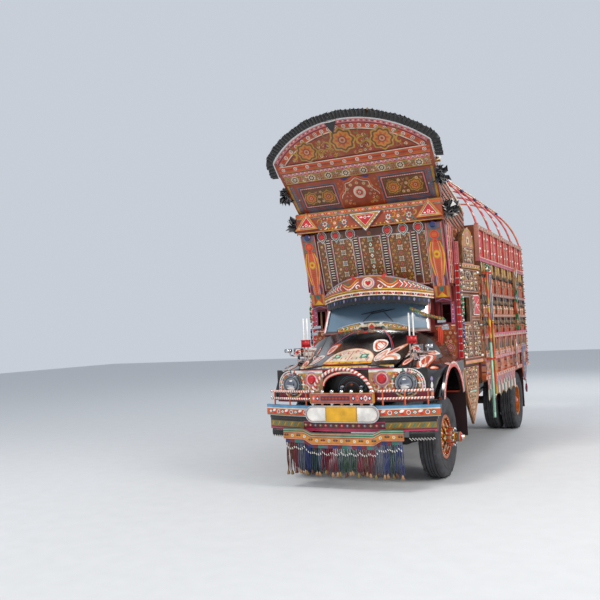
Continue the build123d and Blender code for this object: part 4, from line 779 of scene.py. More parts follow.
for i in range(36):
    u = -1.0 + 2.0 * (i + 0.5) / 36
    if min(abs(u - (-0.88 + 1.76 * k / 7)) for k in range(8)) > 0.065:
        curl(crown, u, 0.605 if i % 2 else 0.556, 0.026, 90 * (i % 4), 1 if i % 2 else -1, 0.012,
             "cream" if i % 3 else "red", 0.0030, 7)
        crown.disc(u, 0.556 if i % 2 else 0.605, 0.010, "red" if i % 2 else "green", 0.0030, 6)

# two framed panels with orange rosettes
for side, u0, u1, v0, v1 in ((-1, -0.900, -0.330, 0.075, 0.455), (1, 0.280, 0.930, 0.075, 0.465)):
    framed(crown, u0, u1, v0, v1, ("slate", "brown", "pink", "brown", "umber"), 0.0018, 0.016)
    dots(crown, u0 + 0.04, u1 - 0.04, v1 - 0.040, 18, 0.007, "cream", 0.0050, 6)
    dots(crown, u0 + 0.04, u1 - 0.04, v0 + 0.040, 18, 0.007, "cream", 0.0050, 6)
    mid = (v0 + v1) / 2
    for i in range(2):
        u = u0 + (u1 - u0) * (0.27 + 0.46 * i)
        medallion(crown, u, mid - 0.01, 0.098, 0.0048, WARM)
    flower_field(crown, lambda u, v, a=u0, c=u1, m=mid: min(
        (u - (a + (c - a) * (0.27 + 0.46 * k))) ** 2 + (v - m + 0.01) ** 2 for k in (0, 1)) > 0.105 ** 2,
        (u0 + 0.08, u1 - 0.08, v0 + 0.075, v1 - 0.075), 0.060, 0.0046, 11 + side, (5, 3, 2, 0))
    flower_field(crown, lambda u, v: True, (u0 + 0.07, u1 - 0.07, v0 + 0.065, v1 - 0.065), 0.036, 0.0042,
                 41 + side, (7, 8, 7))

# grey slate bars and side rails
for u0, u1 in ((-0.86, -0.34), (0.30, 0.92)):
    crown.band(u0, u1, 0.020, 0.060, "slate", 0.0060, wall=0.005)
for side in (1, -1):
    crown.line([(side * 0.955, 0.03), (side * 0.975, 0.48)], 0.055, "slate", 0.0030)
    crown.line([(side * 1.000, 0.02), (side * 1.022, 0.50)], 0.030, "gold", 0.0030)
    crown.disc(side * 0.9305, 0.25, 0.010, "cream", 0.0036, 8)
    for i in range(12):
        crown.disc(side * (0.957 + 0.018 * i / 11), 0.05 + 0.41 * i / 11, 0.009, "orange", 0.0038, 6)

# centre cartouche with a plain oval, its crest and side petals
CART_U = -0.027      # its middle
shape = []
for i in range(33):
    t = pi * i / 32
    w = 0.265 + 0.035 * cos(6 * t)
    shape.append((CART_U + w * cos(t), 0.200 + (0.300 + 0.02 * cos(8 * t)) * sin(t)))
crown.poly([(CART_U - 0.30, 0.02), (CART_U + 0.30, 0.02)] + shape, "rust", 0.0030)
crown.line([(CART_U + 0.30, 0.03)] + shape + [(CART_U - 0.30, 0.03)], 0.020, "orange", 0.0038)
crown.line([(u * 0.90 - 0.003, v * 0.93) for u, v in shape], 0.010, "cream", 0.0042)
crown.disc(CART_U, 0.255, 0.098, "red", 0.0048, 24, squash=1.12)
crown.disc(CART_U, 0.255, 0.086, "cream", 0.0056, 24, squash=1.12)
rosette(crown, CART_U, 0.255, 0.056, 0.0062, ("peach", "red", "cream", "red"), 8)
for i in range(5):
    a = pi * (0.16 + 0.17 * i)
    rosette(crown, CART_U + 0.185 * cos(a), 0.255 + 0.150 * sin(a), 0.026, 0.0048,
            ("gold", "cream", "orange", "yellow"), 6)
for side in (1, -1):
    for k in range(3):
        crown.disc(CART_U + side * (0.13 + 0.05 * k), 0.075 + 0.03 * k, 0.020, "gold", 0.0048, 8)
        crown.disc(CART_U + side * (0.13 + 0.05 * k), 0.075 + 0.03 * k, 0.010, "red", 0.0054, 6)
    crown.poly([(CART_U + side * 0.06, 0.515), (CART_U + side * 0.16, 0.462),
                (CART_U + side * 0.21, 0.498)][::side], "navy", 0.0060)
heart(crown, CART_U, 0.452, 0.030, "orange", 0.0064)
flower_field(crown, lambda u, v: 0.06 < v < 0.47 and 0.12 < abs(u - CART_U) < 0.24 and v < 0.38,
             (-0.30, 0.25, 0.06, 0.42), 0.052, 0.0042, 3, (5, 3, 6))
crown.done()

# lower crown panel: arabesque columns, ladder strips, pilasters and lamps
LOWER_LEAN = radians(17.7)
lower_put = plane((0.0, F + 0.555, 2.24), (1, 0, 0), (0.0, -sin(LOWER_LEAN), cos(LOWER_LEAN)))
LADDERS = (-0.620, -0.206, 0.206, 0.620)
low = Board("lower_crown_paint", lower_put)
low.band(-0.80, 0.80, 0.235, 1.096, "brown", 0.0008)
for u0, u1 in ((-0.795, -0.664), (-0.577, -0.250), (-0.163, 0.163), (0.250, 0.577), (0.664, 0.795)):
    mid = (u0 + u1) / 2
    framed(low, u0, u1, 0.26, 1.000, ("slate", "cream", "plum", "umber"), 0.0016, 0.009)
    flower_field(low, lambda u, v: True, (u0 + 0.034, u1 - 0.034, 0.295, 0.975), 0.030, 0.0036,
                 int(mid * 100) + 7, (7, 8))
    flower_field(low, lambda u, v, a=u0, c=u1, m=mid: abs(u - m) > (0.055 if c - a > 0.2 else -1),
                 (u0 + 0.026, u1 - 0.026, 0.29, 0.98), 0.046, 0.0040, int(mid * 100) + 90, (2, 3, 5, 1, 6, 0))
    if u1 - u0 > 0.2:
        for k in range(9):
            v = 0.33 + 0.078 * k
            if k % 2:
                lozenge(low, mid, v, 0.045, 0.060, "orange" if abs(mid) > 0.1 else "white", 0.0044)
                lozenge(low, mid, v, 0.020, 0.030, "navy" if abs(mid) > 0.1 else "green", 0.0052)
            else:
                star(low, mid, v, 0.052, "cream", 0.0044, 4, 0.5, 45)
                star(low, mid, v, 0.036, "slate" if abs(mid) > 0.1 else "teal", 0.0052, 4, 0.5, 45)
                low.disc(mid, v, 0.012, "gold", 0.0060, 8)
    low.disc(mid, 1.035, 0.030 if abs(mid) < 0.7 else 0.018, "olive", 0.0024)
    low.disc(mid, 1.035, 0.018 if abs(mid) < 0.7 else 0.010, "red", 0.0032)
for u in LADDERS:
    low.band(u - 0.043, u + 0.043, 0.385, 1.016, "pink", 0.0024)
    low.band(u - 0.033, u + 0.033, 0.392, 1.008, "black", 0.0128)
    for k in range(17):
        v = 0.405 + 0.0362 * k
        low.band(u - 0.024, u + 0.028, v, v + 0.012, "cream", 0.0136)
for side in (1, -1):
    for k, u in enumerate((0.27, 0.49, 0.70)):
        turns = [radians(-35 + 250 * i / 14) for i in range(15)]
        drop = [(side * u + 0.078 * cos(a), 1.054 + 0.078 * sin(a)) for a in turns] + [(side * u, 0.945)]
        low.poly(drop, "slate", 0.0062)
        low.poly(scaled(drop, side * u, 1.054, 0.90), "white", 0.0070)
        low.poly(scaled(drop, side * u, 1.054, 0.80), "teal" if k % 2 else "brown", 0.0078)
        low.poly(scaled(drop, side * u, 1.054, 0.64), "cream", 0.0086)
        low.dome(side * u, 1.054, 0.040, "lens_red", 0.0224, 16, 0.25)
    low.dome(side * 0.91, 1.069, 0.043, "lens_blue", 0.0524, 16, 0.35)
    c = side * 0.910
    low.band(c - 0.108, c + 0.108, 0.002, 1.092, "rust", 0.0308)
    for k in (1, -1):
        low.band(c + k * 0.102 - 0.006, c + k * 0.102 + 0.006, 0.01, 1.09, "pink", 0.0316)
        low.band(c + k * 0.090 - 0.004, c + k * 0.090 + 0.004, 0.24, 1.01, "teal", 0.0316)
    low.poly([(c - 0.085, 1.086), (c - 0.085, 1.03), (c, 0.985), (c + 0.085, 1.03), (c + 0.085, 1.086)],
             "slate", 0.0316)
    low.band(c - 0.082, c + 0.082, 0.852, 0.998, "olive", 0.0324)
    low.band(c - 0.070, c + 0.070, 0.864, 0.988, "slate", 0.0330)
    low.disc(c, 0.930, 0.064, "orange", 0.0338, 18)
    low.disc(c, 0.930, 0.050, "red", 0.0344, 18)
    low.disc(c, 0.930, 0.040, "orange", 0.0350, 18)
    low.line([(c - 0.03, 0.932), (c + 0.03, 0.928)], 0.012, "gold", 0.0356, taper=True)
    column = ((0.052, 0.835), (0.074, 0.760), (0.086, 0.660), (0.080, 0.560), (0.062, 0.440), (0.040, 0.330),
              (0.036, 0.225))
    for grow, key, h in ((1.22, "yellow", 0.0322), (1.0, "orange", 0.0330), (0.72, "peach", 0.0338),
                         (0.50, "orange", 0.0346)):
        low.strip([(c - w * grow, v) for w, v in column], [(c + w * grow, v) for w, v in column], key, h)
    low.poly([(c - 0.060, 0.835), (c + 0.060, 0.835), (c, 0.884)], "orange", 0.0338)
    star(low, c, 0.846, 0.022, "red", 0.0346, 3, 0.5, 90)
    low.disc(c, 0.665, 0.058, "gold", 0.0354, 18)
    low.disc(c, 0.665, 0.046, "yellow", 0.0360, 18)
    low.disc(c, 0.665, 0.020, "orange", 0.0368, 12)
    for k in range(12):
        v = 0.585 - 0.028 * k
        low.line([(c - 0.020, v + 0.008), (c, v - 0.006), (c + 0.020, v + 0.008)], 0.007, "rust", 0.0354)
    for k in (1, -1):
        low.line([(c + k * 0.062, 0.375), (c + k * 0.072, 0.30), (c + k * 0.062, 0.232)],
                 0.046, "plum", 0.0330, taper=True)
        low.line([(c + k * 0.048, 0.375), (c + k * 0.052, 0.30), (c + k * 0.048, 0.232)],
                 0.012, "lilac", 0.0338)
    low.band(c - 0.100, c + 0.100, 0.066, 0.226, "orange", 0.0322)
    for k, key in ((-0.082, "gold"), (-0.047, "rust"), (0.047, "rust"), (0.082, "gold")):
        low.band(c + k - 0.013, c + k + 0.013, 0.072, 0.220, key, 0.0330)
    low.poly([(c - 0.070, 0.072), (c + 0.070, 0.072), (c, 0.140)], "yellow", 0.0340)
    low.poly([(c - 0.036, 0.220), (c - 0.018, 0.150), (c + 0.018, 0.150), (c + 0.036, 0.220)], "teal", 0.0340)
    low.band(c - 0.104, c + 0.104, 0.008, 0.062, "plum", 0.0322)
    low.line([(c - 0.100, 0.016), (c, 0.052), (c + 0.100, 0.016)], 0.008, "lilac", 0.0330)
low.done()

# cornice: rail, scrolls, shield and gables, on its upright front
corn = Board("cornice_paint", front_plane(0.150))
corn.band(-1.045, 1.045, 3.304, 3.582, "rust", 0.0008)
bands(corn, -1.04, 1.04, 0.0016, ((3.305, 3.316, "gold"), (3.316, 3.324, "plum"), (3.500, 3.507, "teal"),
                                  (3.507, 3.519, "cream")))
corn.band(-1.045, 1.045, 3.521, 3.569, "gold", 0.0228)
corn.band(-1.045, 1.045, 3.527, 3.563, "orange", 0.0234)
corn.band(-1.045, 1.045, 3.569, 3.5835, "olive", 0.0016)
lozenges(corn, -0.86, 0.86, 3.545, 34, 0.026, ("cream", "navy", "cream", "red"), 0.0240)
for side in (1, -1):
    for k, u in enumerate((0.32, 0.46, 0.61)):
        rosette(corn, side * u, 3.405, 0.046, 0.0024, ("olive", "orange", "cream", "red") if k % 2 else
                ("slate", "cream", "orange", "navy"), 7)
        curl(corn, side * (u + 0.07), 3.44, 0.050, 200, side, 0.020, "gold", 0.0024)
        curl(corn, side * (u + 0.07), 3.365, 0.045, 20, -side, 0.018, "teal", 0.0024)
        corn.leaf(side * (u - 0.04), 3.45, 90 + side * 40, 0.06, 0.024, "orange", 0.0030)
        corn.leaf(side * (u - 0.04), 3.36, 90 - side * 130, 0.06, 0.020, "cream", 0.0030)
    dots(corn, side * 0.24, side * 0.70, 3.482, 9, 0.012, "cream", 0.0024)
    dots(corn, side * 0.24, side * 0.70, 3.482, 9, 0.006, "red", 0.0030)
    dots(corn, side * 0.12, side * 0.70, 3.334, 10, 0.010, "yellow", 0.0024)
    apex = ((side * 0.705, 3.345), (side * 0.880, 3.590), (side * 1.065, 3.345))
    c = (side * 0.8833, 3.4267)
    for size, key, h in ((1.0, "orange", 0.0288), (0.90, "gold", 0.0294), (0.74, "brown", 0.0300),
                         (0.66, "cream", 0.0306), (0.58, "red", 0.0312)):
        corn.poly(scaled(apex, *c, size)[::-side], key, h)
    rosette(corn, c[0], c[1] - 0.012, 0.030, 0.0320, ("red", "white", "red", "gold"), 6)
    for k in (1, -1):
        corn.leaf(c[0] + k * 0.034, c[1] - 0.028, 90 - k * 90, 0.036, 0.018, "white", 0.0320)
        rosette(corn, c[0] + k * 0.115, 3.372, 0.018, 0.0302, ("gold", "cream", "orange", "red"), 6)
    rosette(corn, c[0], 3.540, 0.016, 0.0302, ("gold", "cream", "orange", "red"), 6)
for size, key, h in ((1.0, "slate", 0.0288), (0.93, "white", 0.0294), (0.85, "gold", 0.0300),
                     (0.68, "rust", 0.0306), (0.60, "cream", 0.0312), (0.54, "red", 0.0318)):
    corn.poly(scaled(((-0.24, 3.50), (0.0, 3.24), (0.24, 3.50)), 0.0, 3.425, size), key, h)
rosette(corn, 0, 3.432, 0.028, 0.0326, ("red", "white", "red", "gold"), 6)
for k in (1, -1):
    corn.leaf(k * 0.032, 3.436, 90 - k * 90, 0.050, 0.020, "white", 0.0326)
    for i in range(5):
        t = (i + 0.5) / 5
        corn.disc(k * (0.20 - 0.17 * t), 3.487 - 0.20 * t, 0.011, "olive", 0.0312, 8)
        corn.disc(k * (0.20 - 0.17 * t), 3.487 - 0.20 * t, 0.006, "cream", 0.0318, 6)
corn.done()


# visor: heart between scrolls, chevrons, curved lines and a row of red drops
def bowed(half, edge_y, mid_y, out=0.0):
    """Maps length along a plan arc, height and distance out; the arc as in the CAD, behind the front axle."""
    radius = arc_radius(half, edge_y - mid_y) + out
    centre = F + mid_y + radius - out

    def put(u, v, h):
        a = u / (radius - out)
        return Vector(((radius + h) * sin(a), centre - (radius + h) * cos(a), v))
    return put


def sagging(z_mid, half, drop):
    """Height of a shallow arc over its half width."""
    radius = arc_radius(half, drop)
    return lambda x: z_mid - radius + sqrt(radius * radius - x * x)


VISOR_BOW = (0.7997, 0.462, 0.110)   # half its width, its edge and its middle behind the front axle
VISOR_R = arc_radius(VISOR_BOW[0], VISOR_BOW[1] - VISOR_BOW[2])
visor_low = sagging(2.365, 0.9, 0.100)
visor_top = sagging(2.640, 0.9, 0.300)


def visor_x(u):
    return VISOR_R * sin(u / VISOR_R)


visor = Board("visor_paint", bowed(*VISOR_BOW))
VISOR_US = [-0.895 + 1.79 * i / 44 for i in range(45)]


def above(d):
    return lambda u: visor_low(visor_x(u)) + d


def under(d):
    return lambda u: visor_top(visor_x(u)) - d


def along(f0, f1, colour, h):
    """A strip of the visor between two curves."""
    visor.strip([(u, f0(u)) for u in VISOR_US], [(u, f1(u)) for u in VISOR_US], colour, h)


along(above(0.0), under(0.0), "rust", 0.0008)
for d0, d1, key in ((0.000, 0.014, "cream"), (0.014, 0.044, "plum"), (0.044, 0.056, "white"),
                    (0.056, 0.070, "gold"), (0.070, 0.080, "brown"), (0.080, 0.092, "yellow"),
                    (0.092, 0.098, "teal")):
    along(above(d0), above(d1), key, 0.0016)
for i in range(24):
    u = -0.86 + 1.72 * i / 23
    v = above(0.016)(u)
    visor.poly([(u - 0.024, v + 0.030), (u + 0.024, v + 0.030), (u + 0.015, v), (u, v - 0.012),
                (u - 0.015, v)][::-1], "gold" if i % 2 else "white", 0.0024)
    visor.disc(u, v + 0.016, 0.014, "red", 0.0032, 8)
along(under(0.010), under(0.0), "lilac", 0.0024)
along(under(0.020), under(0.010), "gold", 0.0024)
for side in (1, -1):
    for k in range(7):
        u = side * (0.44 + 0.058 * k)
        v = (above(0.098)(u) + under(0.024)(u)) / 2
        t = (under(0.024)(u) - above(0.098)(u)) * 0.46
        for a, key in ((0.0, "red"), (0.018, "white"), (0.030, "teal"), (-0.016, "orange")):
            visor.line([(u - side * 0.030 + side * a, v + t), (u + side * 0.012 + side * a, v),
                        (u - side * 0.030 + side * a, v - t)], 0.015, key, 0.0030)
        for k2 in (1, -1):
            visor.leaf(u - side * 0.012, v + k2 * t * 1.02, 90 + side * k2 * 50, 0.030, 0.018, "teal", 0.0036)
    u, v = side * 0.255, above(0.17)(0.255)
    points = []
    for i in range(13):
        t = i / 12
        points.append((side * (0.13 + 0.28 * t), v + 0.055 * cos(pi * 1.6 * t) * (1 - 0.3 * t)))
    visor.line(points, 0.052, "orange", 0.0030, taper=True)
    visor.line([(a, b - 0.022) for a, b in points], 0.018, "white", 0.0038, taper=True)
    visor.line([(a, b + 0.018) for a, b in points], 0.012, "yellow", 0.0038, taper=True)
    curl(visor, side * 0.34, v + 0.036, 0.052, 160 if side > 0 else 20, side, 0.022, "teal", 0.0038)
    curl(visor, side * 0.16, v - 0.042, 0.040, 0, -side, 0.018, "white", 0.0038)
    visor.leaf(side * 0.185, v + 0.07, 90 - side * 60, 0.09, 0.040, "red", 0.0038)
    visor.leaf(side * 0.235, v - 0.05, 90 - side * 100, 0.12, 0.040, "orange", 0.0038)
v = 2.545
for size, key, h in ((0.098, "lilac", 0.0044), (0.088, "cream", 0.0050), (0.074, "pink", 0.0056),
                     (0.062, "cream", 0.0062)):
    visor.disc(0, v - 0.012, size, key, h, 24, squash=0.86)
heart(visor, 0, v - 0.010, 0.044, "red", 0.0070)
dots(visor, -0.085, 0.085, v - 0.100, 6, 0.012, "orange", 0.0050)
visor.done()

fringe = Board("visor_fringe", bowed(*VISOR_BOW, 0.002), "fringe_cloth")
steps = 120
us = [-0.85 + 1.70 * i / steps for i in range(steps + 1)]
fringe.strip([(u, above(-0.095)(u) - 0.016 * abs(sin(pi * (u + 0.85) / 0.068))) for u in us],
             [(u, above(0.004)(u)) for u in us], "black", -0.012)
for i in range(25):
    u = -0.82 + 1.64 * i / 24
    fringe.leaf(u, above(-0.012)(u), -90, 0.055, 0.030, "navy" if i % 3 else "lilac", -0.008)
fringe.done()

# nose: painted lip, lamp rings, red lamps and arcs round the mouth
NOSE_BOW = (1.0, -0.735, -0.870)
LAMP_U, LAMP_V = 0.752, 1.25         # middle of a headlamp
RED_U, RED_V = 0.464, 1.31           # middle of a red lamp
CORNER_U, CORNER_V = 0.790, 1.234    # middle of the rounded upper corner
nose = Board("nose_paint", bowed(*NOSE_BOW), "nose_paint")


def clear_of_holes(u, v, r):
    """True where there is wood, and not the mouth or a lamp, with a margin."""
    if abs(u) < 0.315 + r and 1.15 - r < v < 1.24 + 0.17 * (1 - (u / 0.3) ** 2) + r:
        return False
    return (abs(u) - LAMP_U) ** 2 + (v - LAMP_V) ** 2 > (0.112 + r) ** 2


def round_the_lamps(u, v):
    return clear_of_holes(u, v, 0.05) and (abs(u) - RED_U) ** 2 + (v - RED_V) ** 2 > 0.012


def ring(b, u, v, r0, r1, colour, h, n=28, a0=0.0, a1=360.0):
    """A flat ring or part of one between two radii."""
    pts = [radians(a0 + (a1 - a0) * i / n) for i in range(n + 1)]
    b.strip([(u + r1 * cos(a), v + r1 * sin(a)) for a in pts],
            [(u + r0 * cos(a), v + r0 * sin(a)) for a in pts], colour, h)


nose.band(-0.985, 0.985, 1.036, 1.148, "plum", 0.0008)
for side in (1, -1):
    a, c = sorted((side * 0.305, side * 0.985))
    nose.band(a, c, 1.390, 1.426, "white", 0.0022)
    nose.band(a, c, 1.384, 1.390, "gold", 0.0024)
    a, c = sorted((side * 0.305, side * 0.630))
    nose.band(a, c, 1.150, 1.396, "tan", 0.0008)
    a, c = sorted((side * 0.870, side * 0.985))
    nose.band(a, c, 1.150, 1.396, "rust", 0.0008)
    turn = [radians(90 - 7.5 * i) for i in range(13)]
    out = [(side * (CORNER_U + 0.192 * cos(t)), CORNER_V + 0.192 * sin(t)) for t in turn]
    out.append((side * (CORNER_U + 0.192), 1.150))
    for here, after in zip(out, out[1:]):
        nose.poly([here, (side * 0.990, 1.430), after][::side], "black", 0.0026)
    for r, wide, key, h in ((0.172, 0.040, "white", 0.0030), (0.147, 0.008, "rose", 0.0030),
                            (0.138, 0.010, "gold", 0.0028)):
        path = [(side * (CORNER_U + r * cos(t)), CORNER_V + r * sin(t)) for t in turn]
        nose.line([(side * 0.640, CORNER_V + r)] + path + [(side * (CORNER_U + r), 1.150)], wide, key, h)
    for k in range(13):
        t = radians(90 - 7.5 * k)
        nose.disc(side * (CORNER_U + 0.172 * cos(t)), CORNER_V + 0.172 * sin(t), 0.011,
                  ("navy", "red", "gold", "teal")[k % 4], 0.0036, 6)
    for r0, r1, key, h, a0, a1 in ((0.114, 0.130, "chrome", 0.0050, 0, 360),
                                   (0.130, 0.152, "brown", 0.0024, 0, 360),
                                   (0.152, 0.158, "gold", 0.0022, 0, 360),
                                   (0.158, 0.174, "cream", 0.0018, 0, 360),
                                   (0.174, 0.212, "tan", 0.0012, -28, 54),
                                   (0.174, 0.212, "tan", 0.0012, 126, 208)):
        ring(nose, side * LAMP_U, LAMP_V, r0, r1, key, h, a0=a0, a1=a1)
    for k in range(18):
        t = 2 * pi * k / 18
        nose.leaf(side * LAMP_U + 0.134 * cos(t), LAMP_V + 0.134 * sin(t), degrees(t), 0.056, 0.022,
                  ("white", "orange", "teal")[k % 3] if sin(t) > -0.75 else "gold", 0.0036)
    u = side * RED_U
    for size, key, h in ((0.098, "lilac", 0.0024), (0.090, "pink", 0.0030), (0.074, "cream", 0.0036),
                         (0.062, "rose", 0.0042)):
        nose.disc(u, RED_V, size, key, h, 24)
    nose.dome(u, RED_V, 0.0445, "lens_red", 0.0256, 18, 0.2)
    for k in range(9):
        t = radians(200 + 140 * k / 8)
        nose.leaf(u + 0.07 * cos(t), RED_V + 0.07 * sin(t), degrees(t), 0.062, 0.026,
                  "yellow" if k % 2 else "red", 0.0020)
    for k, key in enumerate(("yellow", "cream", "gold")):
        wedge = [(side * (0.33 + 0.02 * k), 1.384), (side * (0.60 - 0.05 * k), 1.384),
                 (side * (0.56 - 0.05 * k), 1.345 + 0.012 * k)]
        nose.poly(wedge[::-side], key, 0.0026 + 0.0006 * k)
    for k in range(10):
        nose.band(*sorted((side * (0.32 + 0.066 * k), side * (0.345 + 0.066 * k))), 1.400, 1.422,
                  ("navy", "red", "gold", "teal")[k % 4], 0.0016)
    for k in range(3):
        star(nose, side * 0.962, 1.165 + 0.030 * k, 0.017, "navy" if k % 2 else "rose", 0.0036, 4, 0.4, 45)
    curl(nose, side * 0.385, 1.205, 0.050, 90, -side, 0.020, "cream", 0.0026)
    curl(nose, side * 0.540, 1.195, 0.045, 90, side, 0.018, "white", 0.0026)
    flower_field(nose, round_the_lamps, (*sorted((side * 0.32, side * 0.63)), 1.155, 1.390), 0.050, 0.0020,
                 31 + side, (2, 6, 3))
nose.strip([(u, 1.150) for u in (-0.302, 0.302)], [(u, 1.120) for u in (-0.302, 0.302)], "red", 0.0016)
arc = rounded(0, 1.232, 0.300, 0.165, 0, 181, 12)
for w, key, h in ((0.040, "red", 0.0024), (0.018, "cream", 0.0032)):
    nose.line(arc, w, key, h)
nose.done()

# lip above the nose: striped rail that follows the nose
lip = Board("nose_lip", bowed(*NOSE_BOW, 0.006), "nose_paint")
bands(lip, -0.62, 0.62, 0.004, ((1.426, 1.436, "red"), (1.436, 1.448, "navy"), (1.448, 1.462, "cream"),
                                (1.462, 1.474, "yellow")), step=0.05, wall=0.020)
for i in range(30):
    u = -0.60 + 1.20 * i / 29
    lozenge(lip, u, 1.455, 0.026, 0.012, ("white", "red", "sky")[i % 3], 0.0048)
lip.done()

# fittings behind the mouth: small arcs, a red diamond and chrome domes on a flat black sheet that is painted
# shade of the opening
inner = Board("mouth_fittings_on_shade", front_plane(-0.700), "nose_paint")
# flat black sheet across the mouth: painted shade of the dark opening
inner.band(-0.36, 0.36, 1.10, 1.42, "black", 0.0)
for r, key in ((0.19, "slate"), (0.17, "teal"), (0.15, "plum"), (0.11, "grey"), (0.09, "brown")):
    ring(inner, 0.02, 1.16, r - 0.012, r, key, 0.006, 20, 0, 180)
lozenge(inner, 0.02, 1.235, 0.060, 0.050, "red", 0.010)
lozenge(inner, 0.02, 1.235, 0.028, 0.022, "gold", 0.011)
for k in (1, -1):
    inner.dome(0.02 + k * 0.13, 1.205, 0.034, "chrome", 0.010, 12, 0.6)
inner.done()

# bumper blade, lower bar and valance
BUMPER_HALF, BUMPER_DEPTH = 1.146, 0.237
BUMPER_BOW = (BUMPER_HALF, -0.783, -1.020)
BUMPER_R = arc_radius(BUMPER_HALF, BUMPER_DEPTH)
bumper = Board("bumper_paint", bowed(*BUMPER_BOW), "bumper_paint")
B_REACH = BUMPER_R * asin(BUMPER_HALF / BUMPER_R)
bands(bumper, -B_REACH + 0.002, B_REACH - 0.002, 0.0010, (
    (0.866, 0.872, "chrome"), (0.872, 0.884, "olive"), (0.884, 0.952, "orange"), (0.952, 0.966, "cream"),
    (0.966, 0.999, "sky")))
for i in range(31):
    u = -1.10 + 2.20 * i / 30
    if i % 3 == 0:
        lozenge(bumper, u, 0.918, 0.080, 0.062, "teal", 0.0018)
        lozenge(bumper, u, 0.918, 0.048, 0.036, "white", 0.0026)
        bumper.disc(u, 0.918, 0.008, "red", 0.0032, 6)
    elif i % 3 == 1:
        bumper.leaf(u - 0.035, 0.922, 20, 0.066, 0.034, "white", 0.0022)
        bumper.leaf(u - 0.025, 0.912, -20, 0.058, 0.026, "red", 0.0028)
    else:
        ringed(bumper, u, 0.918, 0.026, 0.0022, "white", "slate", "orange")
bumper.done()
upper_face = Board("bumper_top_paint", lambda u, v, h: bowed(*BUMPER_BOW)(u, 1.0 + h, -v), "bumper_paint")
upper_face.strip([(u, 0.001) for u in [-1.14 + 2.28 * i / 30 for i in range(31)]],
                 [(u, 0.054) for u in [-1.14 + 2.28 * i / 30 for i in range(31)]], "sky", 0.0008)
upper_face.done()

valance = Board("valance_paint", bowed(1.100, -0.778, -1.002), "skirt_paint")
bands(valance, -1.12, 1.12, 0.0010, ((0.692, 0.712, "rose"), (0.712, 0.730, "plum"), (0.730, 0.800, "olive"),
                                     (0.800, 0.828, "black")))
for i in range(40):
    u = -1.08 + 2.16 * i / 39
    valance.line([(u - 0.016, 0.742), (u + 0.016, 0.788)], 0.014, "teal" if i % 2 else "gold", 0.0018)
valance.band(-0.55, 0.52, 0.716, 0.812, "plum", 0.0026)
for v in (0.722, 0.806):
    valance.band(-0.55, 0.52, v - 0.005, v + 0.005, "rose", 0.0032)
for i in range(15):
    u = -0.52 + 1.01 * i / 14
    lozenge(valance, u, 0.764, 0.058, 0.050, ("olive", "red", "slate")[i % 3], 0.0034)
    lozenge(valance, u, 0.764, 0.026, 0.022, "cream", 0.0042)
valance.done()

# oval plate panel with a blank yellow plate
oval = Board("oval_panel", front_plane(-1.0403, z=0.905), "plate_paint")


def slot_line(half, r, n=12):
    pts = [(half + r * cos(radians(a)), r * sin(radians(a)))
           for a in [-90 + 180 * i / n for i in range(n + 1)]]
    return pts + [(-u, -v) for u, v in pts]


for r, key, h in ((0.1025, "chrome", 0.0012), (0.088, "rust", 0.0030), (0.082, "white", 0.0036)):
    oval.poly(slot_line(0.3725, r), key, h, wall=0.001)
oval.line(slot_line(0.3725, 0.096, 10), 0.012, "chrome", 0.0080, wall=0.006, closed=True)
oval.poly(slot_line(0.3725, 0.074), "cream", 0.0040)
oval.poly(slot_line(0.3725, 0.071), "white", 0.0044)
oval.band(-0.205, 0.205, -0.100, 0.100, "brown", 0.0078)
oval.band(-0.200, 0.200, -0.095, 0.095, "yellow", 0.0092, wall=0.004)
oval.band(-0.192, 0.192, -0.088, 0.088, "gold", 0.0096)
oval.band(-0.188, 0.188, -0.084, 0.084, "yellow", 0.0100)
oval.done()

# band box face
face = Board("band_box_paint", front_plane(-1.030), "bumper_paint")
face.band(-0.409, 0.409, 1.035, 1.154, "yellow", 0.0010)
face.band(-0.402, 0.402, 1.041, 1.148, "navy", 0.0016)
face.band(-0.396, 0.396, 1.047, 1.142, "orange", 0.0022)
face.band(-0.270, 0.120, 1.064, 1.126, "slate", 0.0030)
face.band(-0.262, 0.112, 1.070, 1.120, "plum", 0.0036)
for k in range(8):
    lozenge(face, -0.235 + 0.044 * k, 1.095, 0.036, 0.030, "rust", 0.0042)
for k in range(5):
    u = 0.160 + 0.052 * k
    lozenge(face, u, 1.095, 0.060, 0.076, ("navy", "pink", "navy", "white", "navy")[k], 0.0030)
    lozenge(face, u, 1.095, 0.030, 0.038, ("white", "orange", "white", "rose", "white")[k], 0.0038)
for k in range(2):
    lozenge(face, -0.360 + 0.052 * k, 1.095, 0.050, 0.070, "navy" if k else "pink", 0.0030)
    lozenge(face, -0.360 + 0.052 * k, 1.095, 0.024, 0.034, "white", 0.0038)
face.done()


